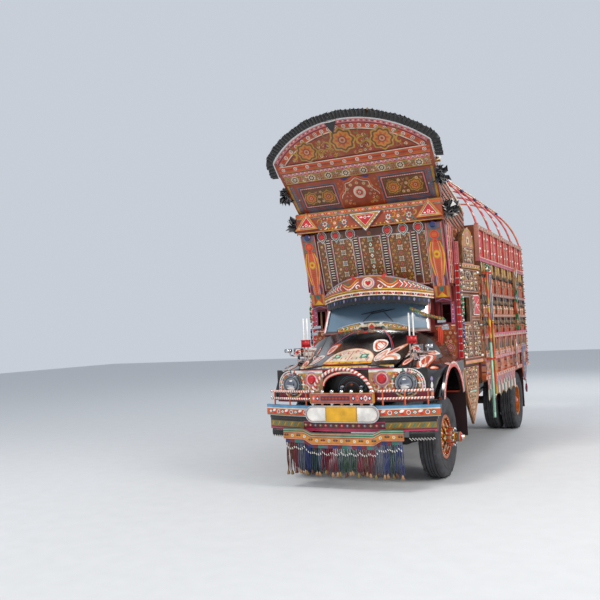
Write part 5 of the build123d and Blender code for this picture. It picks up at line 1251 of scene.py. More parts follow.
# free meshes of balls, tubes and boxes
class Mesh(Piece):
    """One free mesh, smooth if nothing else is said."""

    smooth = True

    def ball(self, centre, r, colour, n=12, rings=7):
        x, y, z = centre
        k = len(self.verts)
        self.verts.append((x, y, z + r))
        for j in range(1, rings):
            a = pi * j / rings
            self.verts += [(x + r * sin(a) * cos(2 * pi * i / n), y + r * sin(a) * sin(2 * pi * i / n),
                            z + r * cos(a)) for i in range(n)]
        self.verts.append((x, y, z - r))
        last = len(self.verts) - 1
        for i in range(n):
            j = (i + 1) % n
            self.faces.append((k, k + 1 + i, k + 1 + j))
            self.faces.append((last, last - n + j, last - n + i))
        for row in range(rings - 2):
            for i in range(n):
                a = k + 1 + row * n
                self.faces.append((a + i, a + n + i, a + n + (i + 1) % n, a + (i + 1) % n))
        self.tag(colour)

    def tube(self, points, radius, colours, pitch=0.0, sides=10, caps=True):
        """A tube along points; colours wind along it with a pitch in metres, or run in one colour."""
        pts = [Vector(p) for p in points]
        n = len(pts)
        k = len(self.verts)
        side = None
        run = 0.0
        lengths = []
        for i, p in enumerate(pts):
            way = (pts[min(i + 1, n - 1)] - pts[max(i - 1, 0)]).normalized()
            if side is None:
                side = way.orthogonal().normalized()
            side = (side - way * side.dot(way)).normalized()
            other = way.cross(side)
            r = radius[i] if isinstance(radius, (list, tuple)) else radius
            self.verts += [tuple(p + (side * cos(2 * pi * j / sides) + other * sin(2 * pi * j / sides)) * r)
                           for j in range(sides)]
            if i:
                run += (p - pts[i - 1]).length
            lengths.append(run)
        for i in range(n - 1):
            for j in range(sides):
                a, b = k + i * sides, k + (i + 1) * sides
                self.faces.append((a + j, a + (j + 1) % sides, b + (j + 1) % sides, b + j))
                if pitch:
                    t = (lengths[i] / pitch + j / sides) % 1.0
                    self.tags.append(colours[int(t * len(colours))])
                else:
                    self.tags.append(colours if isinstance(colours, str) else colours[0])
        if caps:
            self.faces.append(tuple(k + j for j in reversed(range(sides))))
            self.faces.append(tuple(k + (n - 1) * sides + j for j in range(sides)))
            self.tag(colours if isinstance(colours, str) else colours[0])

    def box(self, low, high, colour):
        k = len(self.verts)
        self.verts += [(x, y, z) for x in (low[0], high[0]) for y in (low[1], high[1])
                       for z in (low[2], high[2])]
        self.faces += [tuple(k + i for i in f) for f in
                       ((0, 1, 3, 2), (4, 6, 7, 5), (0, 4, 5, 1), (2, 3, 7, 6), (0, 2, 6, 4), (1, 5, 7, 3))]
        self.tag(colour)


# domes of the band box, the arch over the mouth and the guard tubes
domes = Mesh("band_domes", "bumper_paint")
for i in range(7):
    x = -0.380 + 0.12667 * i
    domes.ball((x, F - 1.002, 1.171), 0.0270, "chrome", 16, 9)
    domes.ball((x, F - 1.006, 1.026), 0.0240, "copper" if i % 2 else "chrome", 14, 8)
domes.done()

arch = Mesh("arch_wrap", "tube_paint")
ARCH_C = (1.445 ** 2 - 1.145 ** 2 - 0.4 ** 2) / (2 * (1.445 - 1.145))
ARCH_RAD = 1.445 - ARCH_C
span = asin(0.4 / ARCH_RAD)
arch.tube([(ARCH_RAD * sin(a), F - 1.000, ARCH_C + ARCH_RAD * cos(a))
           for a in [-span + 2 * span * i / 160 for i in range(161)]], 0.0206,
          ("white", "white", "orange", "red"), 0.050, 14)
arch.done()

tubes = Mesh("guard_tube_wrap", "tube_paint")
for z in (1.080, 1.170):
    a0, a1 = asin(0.450 / BUMPER_R), asin(1.060 / BUMPER_R)
    tubes.tube([(BUMPER_R * sin(a), F - 0.9925 + BUMPER_R - BUMPER_R * cos(a), z)
                for a in [a0 + (a1 - a0) * i / 150 for i in range(151)]], 0.0156,
               ("white", "white", "orange", "orange"), 0.036, 12)
    for a in (a0, a1):
        tubes.ball((BUMPER_R * sin(a), F - 0.9925 + BUMPER_R - BUMPER_R * cos(a), z), 0.0205, "chrome", 14, 8)
tubes.done("root", "root")

# skirt board with its stepped bands
SKIRT_X = (-0.775, -0.5, -0.4, 0.4, 0.5, 0.775)
SKIRT_TOP = (0.735, 0.732, 0.685, 0.685, 0.732, 0.735)
SKIRT_LOW = (0.607, 0.600, 0.542, 0.542, 0.600, 0.607)


def skirt_line(t):
    return [(u, b + (a - b) * t) for u, a, b in zip(SKIRT_X, SKIRT_TOP, SKIRT_LOW)]


def skirt_v(u, t):
    line = skirt_line(t)
    for (u0, v0), (u1, v1) in zip(line, line[1:]):
        if u0 <= u <= u1:
            return v0 + (v1 - v0) * (u - u0) / (u1 - u0)
    return line[0][1]


skirt = Board("skirt_paint", front_plane(-1.070), "skirt_paint")
for t0, t1, key in ((0.0, 0.075, "peach"), (0.075, 0.11, "rust"), (0.11, 0.56, "amber"),
                    (0.56, 0.61, "brown"), (0.61, 0.69, "peach"), (0.69, 0.75, "teal"), (0.75, 0.84, "green"),
                    (0.84, 0.90, "peach"), (0.90, 1.0, "teal")):
    skirt.strip(skirt_line(t0), skirt_line(t1), key, 0.0010)
for i in range(19):
    u = -0.735 + 1.47 * i / 18
    v = skirt_v(u, 0.335)
    if i % 2:
        rosette(skirt, u, v, 0.022, 0.0020, ("yellow", "white", "sky", "white"), 6)
    else:
        for k in (1, -1):
            skirt.leaf(u, v, 90 - k * 75, 0.036, 0.020, "plum", 0.0020)
            skirt.leaf(u, v + 0.012, 90 - k * 60, 0.026, 0.012, "teal", 0.0026)
skirt.done()


# fringe: a short cloth hem, strands of yarn with a white chain and tassel ends
rng = random.Random(8)
hem = Board("fringe_hem", front_plane(-1.062), "fringe_cloth")
edge = []
for i in range(121):
    u = -0.752 + 1.504 * i / 120
    edge.append((u, skirt_v(u, 0.0) + 0.010, 0.004 * sin(2 * pi * u / 0.035)))
k = len(hem.verts)
for u, v, w in edge:
    hem.verts.append(hem.put(u, v, 0))
    hem.verts.append(hem.put(u, v - 0.055, w))
for i in range(120):
    hem.faces.append((k + 2 * i, k + 2 * i + 1, k + 2 * i + 3, k + 2 * i + 2))
    hem.tags.append(("navy", "plum", "teal", "slate", "plum")[(i // 5) % 5])
hem_piece = hem.done(smooth=True)
yarn = Mesh("fringe_yarn", "fringe_cloth")
chain = Mesh("fringe_chain", "tube_paint")
GROUPS = ("brown", "plum", "slate", "navy", "teal_dark", "slate", "plum", "plum", "teal_dark", "green_dark",
          "green_dark", "plum", "brown", "plum", "slate", "navy", "teal_dark", "navy")
for i in range(112):
    u = -0.745 + 1.490 * i / 111
    top = skirt_v(u, 0.0) - 0.035
    key = GROUPS[int((i + rng.uniform(-2, 2)) / 112 * len(GROUPS)) % len(GROUPS)]
    y = F - 1.054 + (0.008 if i % 2 else -0.002)
    sway = rng.uniform(-0.014, 0.014)
    foot = 0.205 + rng.uniform(-0.015, 0.030)
    pts = [(u + sway * t * t + 0.003 * sin(9 * t + i), y + 0.004 * sin(7 * t + i), top + (foot - top) * t)
           for t in [j / 6 for j in range(7)]]
    yarn.tube(pts, [0.0046, 0.0052, 0.0060, 0.0050, 0.0056, 0.0050, 0.0046], key, 0.0, 5)
    if i % 4 == 1:
        end = pts[-1]
        yarn.tube([(end[0], end[1], end[2] + 0.020), (end[0] + 0.002, end[1], end[2] - 0.002),
                   (end[0] + 0.004, end[1] + 0.002, end[2] - 0.034)], [0.007, 0.016, 0.022],
                  ("tan", "olive", "brown", "tan")[(i // 4) % 4], 0.0, 8)
    if i % 2 == 0:
        drop = 0.10 + 0.030 * abs(sin(pi * i / 9))
        for j in range(2):
            chain.ball((u + 0.006 * j, y - 0.007, top - drop - 0.012 * j + 0.05), 0.0065, "white", 6, 4)
yarn_piece = yarn.done()
chain_piece = chain.done()
side_hem = Board("side_fringe", side_plane(1.214), "fringe_cloth")
u = 1.645
k = 0
while u < 3.935:
    low_v = 0.80 + 0.055 * abs(sin(pi * k / 8))
    for v0, v1, key in ((1.02, 1.0995, ("peach", "lilac", "tan", "rose")[k % 4]),
                        (0.95, 1.02, ("rust", "teal", "cream", "pink")[k % 4]),
                        (low_v, 0.95, ("cream", "slate", "green", "orange", "white")[k % 5])):
        side_hem.poly([(u, v0), (u + 0.052, v0), (u + 0.052, v1), (u, v1)], key, 0.002 * (k % 2))
    side_hem.poly([(u + 0.004, low_v), (u + 0.026, low_v - 0.030), (u + 0.048, low_v)], "gold", 0.002)
    u += 0.0572
    k += 1
side_hem.done("root", "root")
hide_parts("fringes")
short = Mesh("valance_fringe", "fringe_cloth")
VALANCE_R = arc_radius(1.100, 0.224)
for i in range(26):
    a = (0.800 + 0.29 * i / 25) / VALANCE_R
    x, y = VALANCE_R * sin(a), F - 1.002 + VALANCE_R - VALANCE_R * cos(a)
    short.tube([(x, y - 0.004, 0.698), (x + 0.003, y - 0.005, 0.65), (x, y - 0.004, 0.618 - 0.01 * (i % 3))],
               [0.006, 0.007, 0.005], "black", 0.0, 6)
    short.ball((x, y - 0.006, 0.612 - 0.01 * (i % 3)), 0.006, "white", 6, 4)
short.done("root", "root")


# bonnet: patches of petals and thin lines on black enamel
def blob(b, u, v, outline, colour, h, rings=4):
    """A patch that follows a curved surface; the outline is offsets from its middle."""
    k, n = len(b.verts), len(outline)
    b.verts.append(b.put(u, v, h))
    for j in range(1, rings + 1):
        b.verts += [b.put(u + du * j / rings, v + dv * j / rings, h) for du, dv in outline]
    for i in range(n):
        b.faces.append((k, k + 1 + i, k + 1 + (i + 1) % n))
        b.tags.append(colour)
        for j in range(rings - 1):
            a = k + 1 + j * n
            b.faces.append((a + i, a + n + i, a + n + (i + 1) % n, a + (i + 1) % n))
            b.tags.append(colour)


def petal(reach, wide, angle, n=14):
    a = radians(angle)
    pts = []
    for i in range(n):
        t = 2 * pi * i / n
        x = reach / 2 * cos(t)
        y = wide / 2 * sin(t) * (1.0 - 0.35 * cos(t))
        pts.append((x * cos(a) - y * sin(a), x * sin(a) + y * cos(a)))
    return pts


def feathered(b, u, v, reach, wide, angle, keys, h):
    """A painted patch of nested petals with fine lines."""
    for i, key in enumerate(keys):
        s = 1.0 - 0.24 * i
        blob(b, u - 0.06 * i * reach * cos(radians(angle)), v - 0.06 * i * reach * sin(radians(angle)),
             petal(reach * s, wide * s, angle), key, h + 0.0008 * i, 3)
    for k in (-1, 0, 1):
        a = radians(angle)
        b.line([(u + reach * (-0.35 + 0.1 * t) * cos(a) - k * wide * 0.16 * sin(a),
                 v + reach * (-0.35 + 0.1 * t) * sin(a) + k * wide * 0.16 * cos(a)) for t in range(8)],
               wide * 0.05, ("red", "cream", "red")[k + 1], h + 0.0008 * len(keys), taper=True)


def onto_front(name):
    """Places motifs on a CAD node by casting from a plane ahead of the truck."""
    return cast_on([name], lambda u, v: Vector((u, -4.2, v)), Vector((0, 1, 0)))


hood = Board("bonnet_paint", onto_front("bonnet"), "bonnet_black")


def moon(w, t, n=16):
    return [(w * cos(radians(180 * i / n)), t * sin(radians(180 * i / n))) for i in range(n + 1)]


MOON_U = 0.015       # middle of the half-moon
for scale_of, key, h in ((1.0, "rust", 0.0030), (0.97, "cream", 0.0038), (0.80, "pink", 0.0046),
                         (0.76, "cream", 0.0054)):
    blob(hood, MOON_U, 1.520, moon(0.315 * scale_of, 0.152 * scale_of), key, h, 6)
hood.band(-0.300, 0.330, 1.500, 1.520, "yellow", 0.0040, step=0.04)
hood.band(-0.300, 0.330, 1.494, 1.500, "orange", 0.0046, step=0.04)
for k in (1, -1):
    blob(hood, MOON_U + k * 0.175, 1.578,
         [(-0.045, -0.022), (0.045, -0.022), (0.045, 0.022), (-0.045, 0.022)], "teal", 0.0062, 2)
    blob(hood, MOON_U + k * 0.175, 1.578, petal(0.05, 0.026, 0), "mint", 0.0070, 2)
    for i in range(4):
        curl(hood, MOON_U + k * (0.05 + 0.062 * i), 1.625 - 0.008 * i * i, 0.024, 60 * i, k, 0.008,
             ("red", "lilac")[i % 2], 0.0062)
        hood.leaf(MOON_U + k * (0.04 + 0.06 * i), 1.540, 90, 0.030, 0.014, ("rose", "slate")[i % 2], 0.0062)
hood.line([(MOON_U, 1.53), (MOON_U, 1.64)], 0.010, "rose", 0.0062)
for i in range(7):
    hood.disc(-0.25 + 0.088 * i, 1.511, 0.007, "red", 0.0056, 6)
feathered(hood, -0.345, 1.672, 0.17, 0.120, 40, ("orange", "white", "orange"), 0.0035)
feathered(hood, 0.275, 1.705, 0.20, 0.130, 150, ("white", "orange", "white"), 0.0035)
feathered(hood, 0.385, 1.588, 0.16, 0.090, 60, ("white", "peach", "white"), 0.0035)
feathered(hood, 0.500, 1.632, 0.22, 0.060, 38, ("peach", "white", "orange"), 0.0035)
blob(hood, 0.485, 1.520, moon(0.105, 0.075), "white", 0.0030, 3)
blob(hood, 0.485, 1.520, moon(0.080, 0.052), "peach", 0.0038, 3)
blob(hood, 0.485, 1.520, moon(0.052, 0.032), "white", 0.0046, 3)
feathered(hood, -0.480, 1.545, 0.20, 0.095, 20, ("white", "pink", "white"), 0.0035)
for side in (1, -1):
    hood.line([(side * (0.10 + 0.045 * t), 1.905 - 0.004 * t * t) for t in range(9)], 0.007, "red", 0.0035)
    hood.line([(side * (0.14 + 0.040 * t), 1.880 - 0.004 * t * t) for t in range(9)], 0.004, "lilac", 0.0035)
    curl(hood, side * 0.36, 1.80, 0.045, 90, side, 0.006, "slate", 0.0035)
blob(hood, -0.03, 1.870, petal(0.34, 0.035, 0), "brown", 0.0034, 3)
heart(hood, -0.03, 1.868, 0.020, "red", 0.0050, -1)
for k in (1, -1):
    curl(hood, -0.03 + k * 0.10, 1.868, 0.026, 0, k, 0.006, "gold", 0.0046)
hood.done("bonnet", smooth=False)

# fenders
wing = Board("fender_paint", onto_front("fenders"), "bonnet_black")
for u, v, reach, wide, angle, keys in (
        (0.885, 1.470, 0.19, 0.120, -60, ("orange", "white", "orange")),
        (0.735, 1.590, 0.14, 0.080, 60, ("white", "peach", "white")),
        (0.700, 1.500, 0.12, 0.070, 40, ("orange", "white", "orange")),
        (0.780, 1.660, 0.13, 0.060, 20, ("white", "orange", "white")),
        (0.800, 1.535, 0.12, 0.050, 10, ("white", "lilac", "white")),
        (0.600, 1.545, 0.16, 0.050, 25, ("white", "orange", "white")),
        (0.870, 1.585, 0.15, 0.050, -30, ("white", "orange", "cream")),
        (0.640, 1.640, 0.13, 0.045, 70, ("orange", "white", "peach")),
        (1.015, 1.405, 0.09, 0.030, -10, ("orange", "peach", "white"))):
    feathered(wing, u, v, reach, wide, angle, keys, 0.0030)
wing.done("root", "root")
onto_side = cast_on(["fenders"], lambda u, v: Vector((1.6, F + u, v)), Vector((-1, 0, 0)))
mudguard = Board("fender_side_paint", onto_side, "bonnet_black")
for r0, r1, key in ((0.462, 0.472, "red"), (0.472, 0.492, "orange"), (0.492, 0.512, "pink"),
                    (0.512, 0.522, "white"), (0.522, 0.533, "orange")):
    ring(mudguard, -0.05, 0.93, r0, r1, key, 0.0016, 44, 168, 12)
for i in range(26):
    a = radians(16 + 148 * i / 25)
    lozenge(mudguard, -0.05 + 0.500 * cos(a), 0.93 + 0.500 * sin(a), 0.026, 0.020,
            ("navy", "white", "red")[i % 3], 0.0028)
blob(mudguard, -0.640, 1.130, [(0.030 * cos(2 * pi * i / 12), 0.070 * sin(2 * pi * i / 12))
                               for i in range(12)], "orange", 0.0030, 2)
blob(mudguard, -0.640, 1.215, petal(0.08, 0.040, 90, 10), "white", 0.0030, 2)
blob(mudguard, -0.640, 1.120, petal(0.09, 0.034, 90, 10), "peach", 0.0040, 2)
blob(mudguard, -0.640, 1.290, petal(0.055, 0.044, 90, 10), "lilac", 0.0030, 2)
blob(mudguard, 0.500, 1.250, petal(0.16, 0.050, 80, 12), "orange", 0.0030, 2)
blob(mudguard, 0.500, 1.250, petal(0.10, 0.028, 80, 12), "white", 0.0040, 2)
feathered(mudguard, -0.20, 1.435, 0.13, 0.026, 5, ("orange", "white", "orange"), 0.0030)
feathered(mudguard, 0.18, 1.430, 0.13, 0.022, -3, ("peach", "white", "lilac"), 0.0030)
mudguard.done("root", "root")
lining = Board("arch_lining", side_plane(0.640, -0.05, 0.93), "bonnet_black")
lining.poly(rounded(0, 0, 0.44, 0.44, 6, 175, 8), "plum", 0.0)
rosette(lining, 0.20, 0.16, 0.085, 0.002, ("plum", "rose", "plum", "slate"), 10)
lining.done("root", "root")

# glass of the headlamps, with painted reflections
lamp_faces = Board("lamp_faces", onto_front("headlamps"), "lamp_glass")


def round_line(r, n=20):
    return [(r * cos(2 * pi * i / n), r * sin(2 * pi * i / n)) for i in range(n)]


for r, key, h in ((0.096, "black", 0.0012), (0.084, "grey", 0.0018)):
    blob(lamp_faces, LAMP_U, LAMP_V, round_line(r), key, h, 4)
# white patches low and high and the slate arc at the top: painted reflections on the glass
for u, v, w, t, turn, key in ((0.000, -0.046, 0.104, 0.044, 4, "white"),
                              (0.006, -0.014, 0.120, 0.022, 8, "chrome"),
                              (0.000, 0.030, 0.110, 0.046, 0, "slate"),
                              (-0.004, 0.050, 0.046, 0.016, 0, "white"),
                              (-0.046, 0.004, 0.040, 0.014, 100, "tinsel")):
    blob(lamp_faces, LAMP_U + u, LAMP_V + v, petal(w, t, turn, 12), key, 0.0026, 2)
for k in range(5):
    u = LAMP_U - 0.05 + 0.025 * k
    lamp_faces.line([(u, LAMP_V - 0.07), (u, LAMP_V + 0.07)], 0.003, "black", 0.0034)
lamp_faces.done("root", "root")

# lamp boxes, twin rods and red blocks on the fenders
fit = Mesh("fender_fittings", "tube_paint")
for x in (0.700, 0.752):
    fit.tube([(x, F - 0.40, 1.52), (x, F - 0.40, 2.09)], 0.0095, "white", 0.0, 10)
fit.box((0.672, F - 0.425, 1.715), (0.785, F - 0.375, 1.80), "red")
for v in (1.712, 1.802):
    fit.box((0.666, F - 0.430, v - 0.004), (0.790, F - 0.370, v + 0.004), "lens_red")
fit.tube([(0.880, F - 0.44, 1.60), (0.935, F - 0.46, 1.61), (0.945, F - 0.47, 1.665)],
         0.012, "chrome", 0.0, 8)
fit.tube([(0.915, F - 0.47, 1.672), (1.005, F - 0.47, 1.672)], 0.026, "chrome", 0.0, 12)
fit.done("root", "root")
box_face = Board("lamp_box_paint", front_plane(-0.490, 0.815, 1.648), "bonnet_black")
box_face.band(-0.054, 0.054, -0.052, 0.051, "slate", 0.0010)
lozenge(box_face, 0, 0, 0.094, 0.090, "cream", 0.0018)
lozenge(box_face, 0, 0, 0.080, 0.076, "pink", 0.0024)
lozenge(box_face, 0, 0, 0.056, 0.054, "red", 0.0030)
for k in (1, -1):
    for j in (1, -1):
        box_face.disc(k * 0.042, j * 0.040, 0.008, "gold", 0.0018, 6)
box_face.done("root", "root")

# cab front beside the windscreen
front = Board("cab_front_paint", front_plane(0.5951), "cab_paint")
front.band(0.745, 1.038, 1.455, 1.945, "rust", 0.0010)
front.band(0.745, 0.860, 1.945, 2.235, "dark_red", 0.0010)
front.band(0.990, 1.038, 1.945, 2.235, "magenta", 0.0010)
front.band(0.860, 0.990, 2.203, 2.235, "plum", 0.0010)
bands(front, 0.750, 1.036, 0.0018, ((1.460, 1.474, "gold"), (1.474, 1.484, "teal"), (1.925, 1.941, "plum"),
                                    (1.905, 1.917, "cream")))
for u in (0.996, 1.030):
    front.line([(u, 1.95), (u, 2.23)], 0.006, "lilac", 0.0018)
for k in range(9):
    lozenge(front, 1.013, 1.97 + 0.031 * k, 0.016, 0.022, "cream" if k % 2 else "orange", 0.0020)
medallion(front, 0.955, 1.610, 0.070, 0.0020, ("gold", "plum", "pink", "orange", "cream", "red"), 8)
for k in (1, -1):
    curl(front, 0.955, 1.610 + k * 0.115, 0.040, 90, k, 0.016, "pink", 0.0020)
flower_field(front, lambda u, v: (u - 0.955) ** 2 + (v - 1.61) ** 2 > 0.085 ** 2, (0.76, 1.03, 1.49, 1.90),
             0.056, 0.0016, 77, (2, 6, 5, 0))
front.done("root", "root")

# mirror arm
mirror_set = Mesh("mirror_arm", "tube_paint")
mirror_set.tube([(0.980, F + 0.590, 1.905), (0.950, F + 0.48, 1.925), (0.905, F + 0.40, 1.915)], 0.010,
                "chrome", 0.0, 8)
mirror_set.tube([(0.980, F + 0.590, 1.850), (0.945, F + 0.47, 1.870), (0.905, F + 0.40, 1.905)], 0.008,
                "chrome", 0.0, 8)
mirror_set.box((0.850, F + 0.385, 1.955), (0.960, F + 0.415, 1.990), "chrome")
mirror_set.box((0.905, F + 0.385, 1.860), (1.000, F + 0.420, 1.900), "chrome")
mirror_set.done("root", "root", smooth=False)

# cowl board
cowl = Board("cowl_board_paint", front_plane(0.170), "cab_paint")


def cowl_top(u):
    return 1.930 + 0.080 * (1 - (u / 0.500) ** 2)


for f0, f1, key, h in ((0.0, 1.0, "brown", 0.0010), (0.03, 0.90, "teal", 0.0016),
                       (0.14, 0.78, "cream", 0.0022)):
    us = [-0.495 + 0.99 * i / 40 for i in range(41)]
    cowl.strip([(u, 1.884 + (cowl_top(u) - 1.884) * f0) for u in us],
               [(u, 1.884 + (cowl_top(u) - 1.884) * f1) for u in us], key, h)
for side in (1, -1):
    a, c = sorted((side * 0.225, side * 0.485))
    us = [a + (c - a) * i / 16 for i in range(17)]
    cowl.strip([(u, 1.890) for u in us], [(u, cowl_top(u) - 0.010) for u in us], "gold", 0.0028)
    for k in range(4):
        u = side * (0.255 + 0.060 * k)
        v = (1.888 + cowl_top(u)) / 2
        cowl.leaf(u - 0.02, v - 0.01, 30, 0.06, 0.030, ("teal", "orange", "green", "rust")[k], 0.0036)
        curl(cowl, u + 0.012, v + 0.006, 0.022, 60 * k, side, 0.009, "white", 0.0042)
    cowl.leaf(side * 0.175, 1.960, 90 - side * 70, 0.055, 0.040, "gold", 0.0032)
    cowl.leaf(side * 0.125, 1.940, 90 - side * 110, 0.085, 0.045, "teal", 0.0032)
    cowl.leaf(side * 0.110, 1.975, 90 - side * 60, 0.075, 0.034, "white", 0.0038)
    cowl.leaf(side * 0.105, 1.915, 90 - side * 95, 0.060, 0.022, "orange", 0.0042)
cowl.disc(0, 1.945, 0.072, "gold", 0.0034, 20, squash=0.78)
cowl.disc(0, 1.945, 0.062, "cream", 0.0040, 20, squash=0.78)
heart(cowl, 0, 1.946, 0.044, "orange", 0.0048, -1)
heart(cowl, 0, 1.946, 0.026, "red", 0.0054, -1)
cowl.line([(u, cowl_top(u) + 0.002) for u in [-0.500 + i * 0.025 for i in range(41)]], 0.014, "chrome",
          0.0060, wall=0.006)
cowl.line([(u, 1.886) for u in (-0.5, 0.0, 0.5)], 0.008, "red", 0.0044)
cowl.done()

# screen frame, the black bands of painted shade behind its glass, and the wipers
SCREEN_LEAN = atan2(-0.170, 0.480)


def screen_plane(y):
    return plane((0.0, F + y, 1.900), (1, 0, 0), (0, -sin(SCREEN_LEAN), cos(SCREEN_LEAN)))


screen_put = screen_plane(0.300)
screen = Board("screen_frame_trim", screen_put, "cab_paint")
for side in (1, -1):
    screen.line([(side * 0.752, -0.02), (side * 0.690, 0.525)], 0.020, "white", 0.0030, wall=0.003)
    screen.line([(side * 0.738, 0.0), (side * 0.676, 0.505)], 0.008, "chrome", 0.0044, wall=0.004)
    screen.line([(side * 0.768, -0.03), (side * 0.706, 0.53)], 0.012, "red", 0.0024)
screen.line([(-0.74, -0.010), (0.74, -0.010)], 0.018, "black", 0.0034, wall=0.003)
screen.line([(-0.70, 0.514), (0.70, 0.514)], 0.018, "black", 0.0034, wall=0.003)
screen.done()
shade = Board("screen_shade", screen_plane(0.330), "cab_paint")
# black bands along the top and sides behind the glass: painted shade of the cab's inside
for u0, u1, v0, v1 in ((-0.62, 0.60, 0.400, 0.470), (0.60, 0.668, 0.02, 0.47), (-0.668, -0.62, 0.02, 0.47)):
    shade.band(u0, u1, v0, v1, "black", 0.0)
shade.done()
wipers = Mesh("wipers", "frame_black")
for x, tip in ((-0.30, -0.05), (0.36, 0.10)):
    pts = [screen_put(x, -0.020, 0.020), screen_put((x + tip) / 2, 0.13, 0.014), screen_put(tip, 0.26, 0.006)]
    wipers.tube([tuple(p) for p in pts], 0.005, "black", 0.0, 6)
    blade = [screen_put(tip - 0.17, 0.235, 0.002), screen_put(tip + 0.16, 0.290, 0.002)]
    wipers.tube([tuple(p) for p in blade], 0.006, "black", 0.0, 6)
    wipers.ball(tuple(pts[0]), 0.014, "chrome", 10, 6)
wipers.done()


# curtains, garland and the orange cloth
def hung_cloth(name, low_left, low_right, top_left, top_right, folds, depth, colour, sway=0.0):
    """A gathered curtain between four corners, with folds across its width."""
    cols, rows = folds * 8, 12
    a, b, c, d = (Vector(p) for p in (low_left, low_right, top_left, top_right))
    out = (b - a).cross(c - a).normalized()
    verts, faces = [], []
    for j in range(rows + 1):
        t = j / rows
        for i in range(cols + 1):
            s = i / cols
            p = (a * (1 - s) + b * s) * (1 - t) + (c * (1 - s) + d * s) * t
            p += out * depth * sin(2 * pi * folds * s + 0.6 * sin(3 * t)) * (1 - 0.45 * t)
            p.x += sway * sin(pi * t)
            verts.append(tuple(p))
    for j in range(rows):
        for i in range(cols):
            k = j * (cols + 1) + i
            faces.append((k, k + 1, k + cols + 2, k + cols + 1))
    obj = add_sheet(name, verts, faces, colour)


red_cloth = cloth("curtain_red", "8A1014", 0.8, 500.0)
for side, name in ((1, "left"), (-1, "right")):
    hung_cloth("curtain_" + name, (side * 0.50, F + 0.43, 1.93), (side * 0.70, F + 0.43, 1.93),
               (side * 0.46, F + 0.545, 2.36), (side * 0.655, F + 0.545, 2.36),
               4, 0.012, red_cloth)
    hung_cloth("side_cloth_" + name, (side * 0.790, F + 0.585, 1.955), (side * 0.850, F + 0.560, 1.955),
               (side * 0.790, F + 0.585, 2.225), (side * 0.850, F + 0.560, 2.225),
               2, 0.008, red_cloth)
hung_cloth("screen_valance", (-0.64, F + 0.520, 2.270), (0.64, F + 0.520, 2.270), (-0.64, F + 0.560, 2.365),
           (0.64, F + 0.560, 2.365), 18, 0.008, cloth("valance_plum", "3A0C14"))

garland = Mesh("garland", "fringe_cloth")
for k in range(26):
    t = k / 25
    x = 0.52 + 0.42 * t
    z = 2.165 - 0.16 * t - 0.020 * sin(pi * t)
    y = F + 0.285 + 0.060 * t
    for j in range(3):
        a = 2.1 * j + k
        garland.ball((x + 0.012 * cos(a), y - 0.004 + 0.008 * sin(a), z + 0.012 * sin(a)), 0.012,
                     ("red", "green", "orange", "gold")[(k + j) % 4 if k % 3 else 1], 6, 4)
garland.done()
hung_cloth("orange_cloth", (0.835, F + 0.36, 1.640), (0.905, F + 0.39, 1.660), (0.850, F + 0.37, 1.900),
           (0.910, F + 0.39, 1.905), 3, 0.010, cloth("orange_rag", "D2441E"), 0.012)

# seat
base = Mesh("seat_base", "seat_cover")
base.box((-1.034, F + 0.950, 1.1803), (1.034, F + 1.365, 1.490), "plum")
base.box((-1.034, F + 1.325, 1.490), (1.034, F + 1.365, 2.100), "plum")
base.done(smooth=False, replaces=("seat_bench",))
bench = Mesh("seat_cushions", "seat_cover")


def cushion(low, high, upright=False):
    """A crowned pad with a soft edge, as rows of points over a box, lying or upright."""
    n, swell = 10, 0.030
    k = len(bench.verts)
    for j in range(n + 1):
        for i in range(n + 1):
            s, t = i / n * 2 - 1, j / n * 2 - 1
            edge = (1 - s ** 6) * (1 - t ** 6)
            x = (low[0] + high[0]) / 2 + (high[0] - low[0]) / 2 * s
            if upright:
                z = (low[2] + high[2]) / 2 + (high[2] - low[2]) / 2 * t
                y = high[1] - (high[1] - low[1]) * (0.55 + 0.45 * edge) - swell * edge * (1 - s * s) * 0.4
            else:
                y = (low[1] + high[1]) / 2 + (high[1] - low[1]) / 2 * t
                z = low[2] + (high[2] - low[2]) * (0.55 + 0.45 * edge) + swell * edge * (1 - s * s) * 0.4
            bench.verts.append((x, y, z))
    for j in range(n):
        for i in range(n):
            a = k + j * (n + 1) + i
            bench.faces.append((a, a + 1, a + n + 2, a + n + 1))
    row = n + 1
    ring_of = [k + i for i in range(row)] + [k + j * row + n for j in range(1, row)]
    ring_of += [k + n * row + i for i in range(n - 1, -1, -1)] + [k + j * row for j in range(n - 1, 0, -1)]
    m = len(bench.verts)
    bench.verts += [(bench.verts[i][0], high[1], bench.verts[i][2]) if upright else
                    (bench.verts[i][0], bench.verts[i][1], low[2]) for i in ring_of]
    for i in range(len(ring_of)):
        j = (i + 1) % len(ring_of)
        bench.faces.append((ring_of[j], ring_of[i], m + i, m + j))
    bench.faces.append(tuple(m + i for i in reversed(range(len(ring_of)))))
    bench.tag("seat")


for x0, x1 in ((-1.00, -0.34), (-0.33, 0.33), (0.34, 1.00)):
    cushion((x0, F + 0.955, 1.492), (x1, F + 1.315, 1.605))
    cushion((x0, F + 1.245, 1.650), (x1, F + 1.323, 2.095), True)
cushion_piece = bench.done()

# cab sides: carved reliefs, ledges, oval, corner strips and the fan reflector
SIDE_X, SIDE_Y = 1.105, 0.660        # front corner of the cab's side, behind the front axle
TURN = atan2(1.210 - SIDE_X, 1.460 - SIDE_Y)
ALONG_CAB = (sin(TURN), cos(TURN), 0)


def cab_plane(inset, across=ALONG_CAB):
    """The slanted side of the cab, or a plane so far inside it."""
    corner = (SIDE_X - inset * cos(TURN), F + SIDE_Y + inset * sin(TURN), 0.0)
    return plane(corner, across, (0, 0, 1))


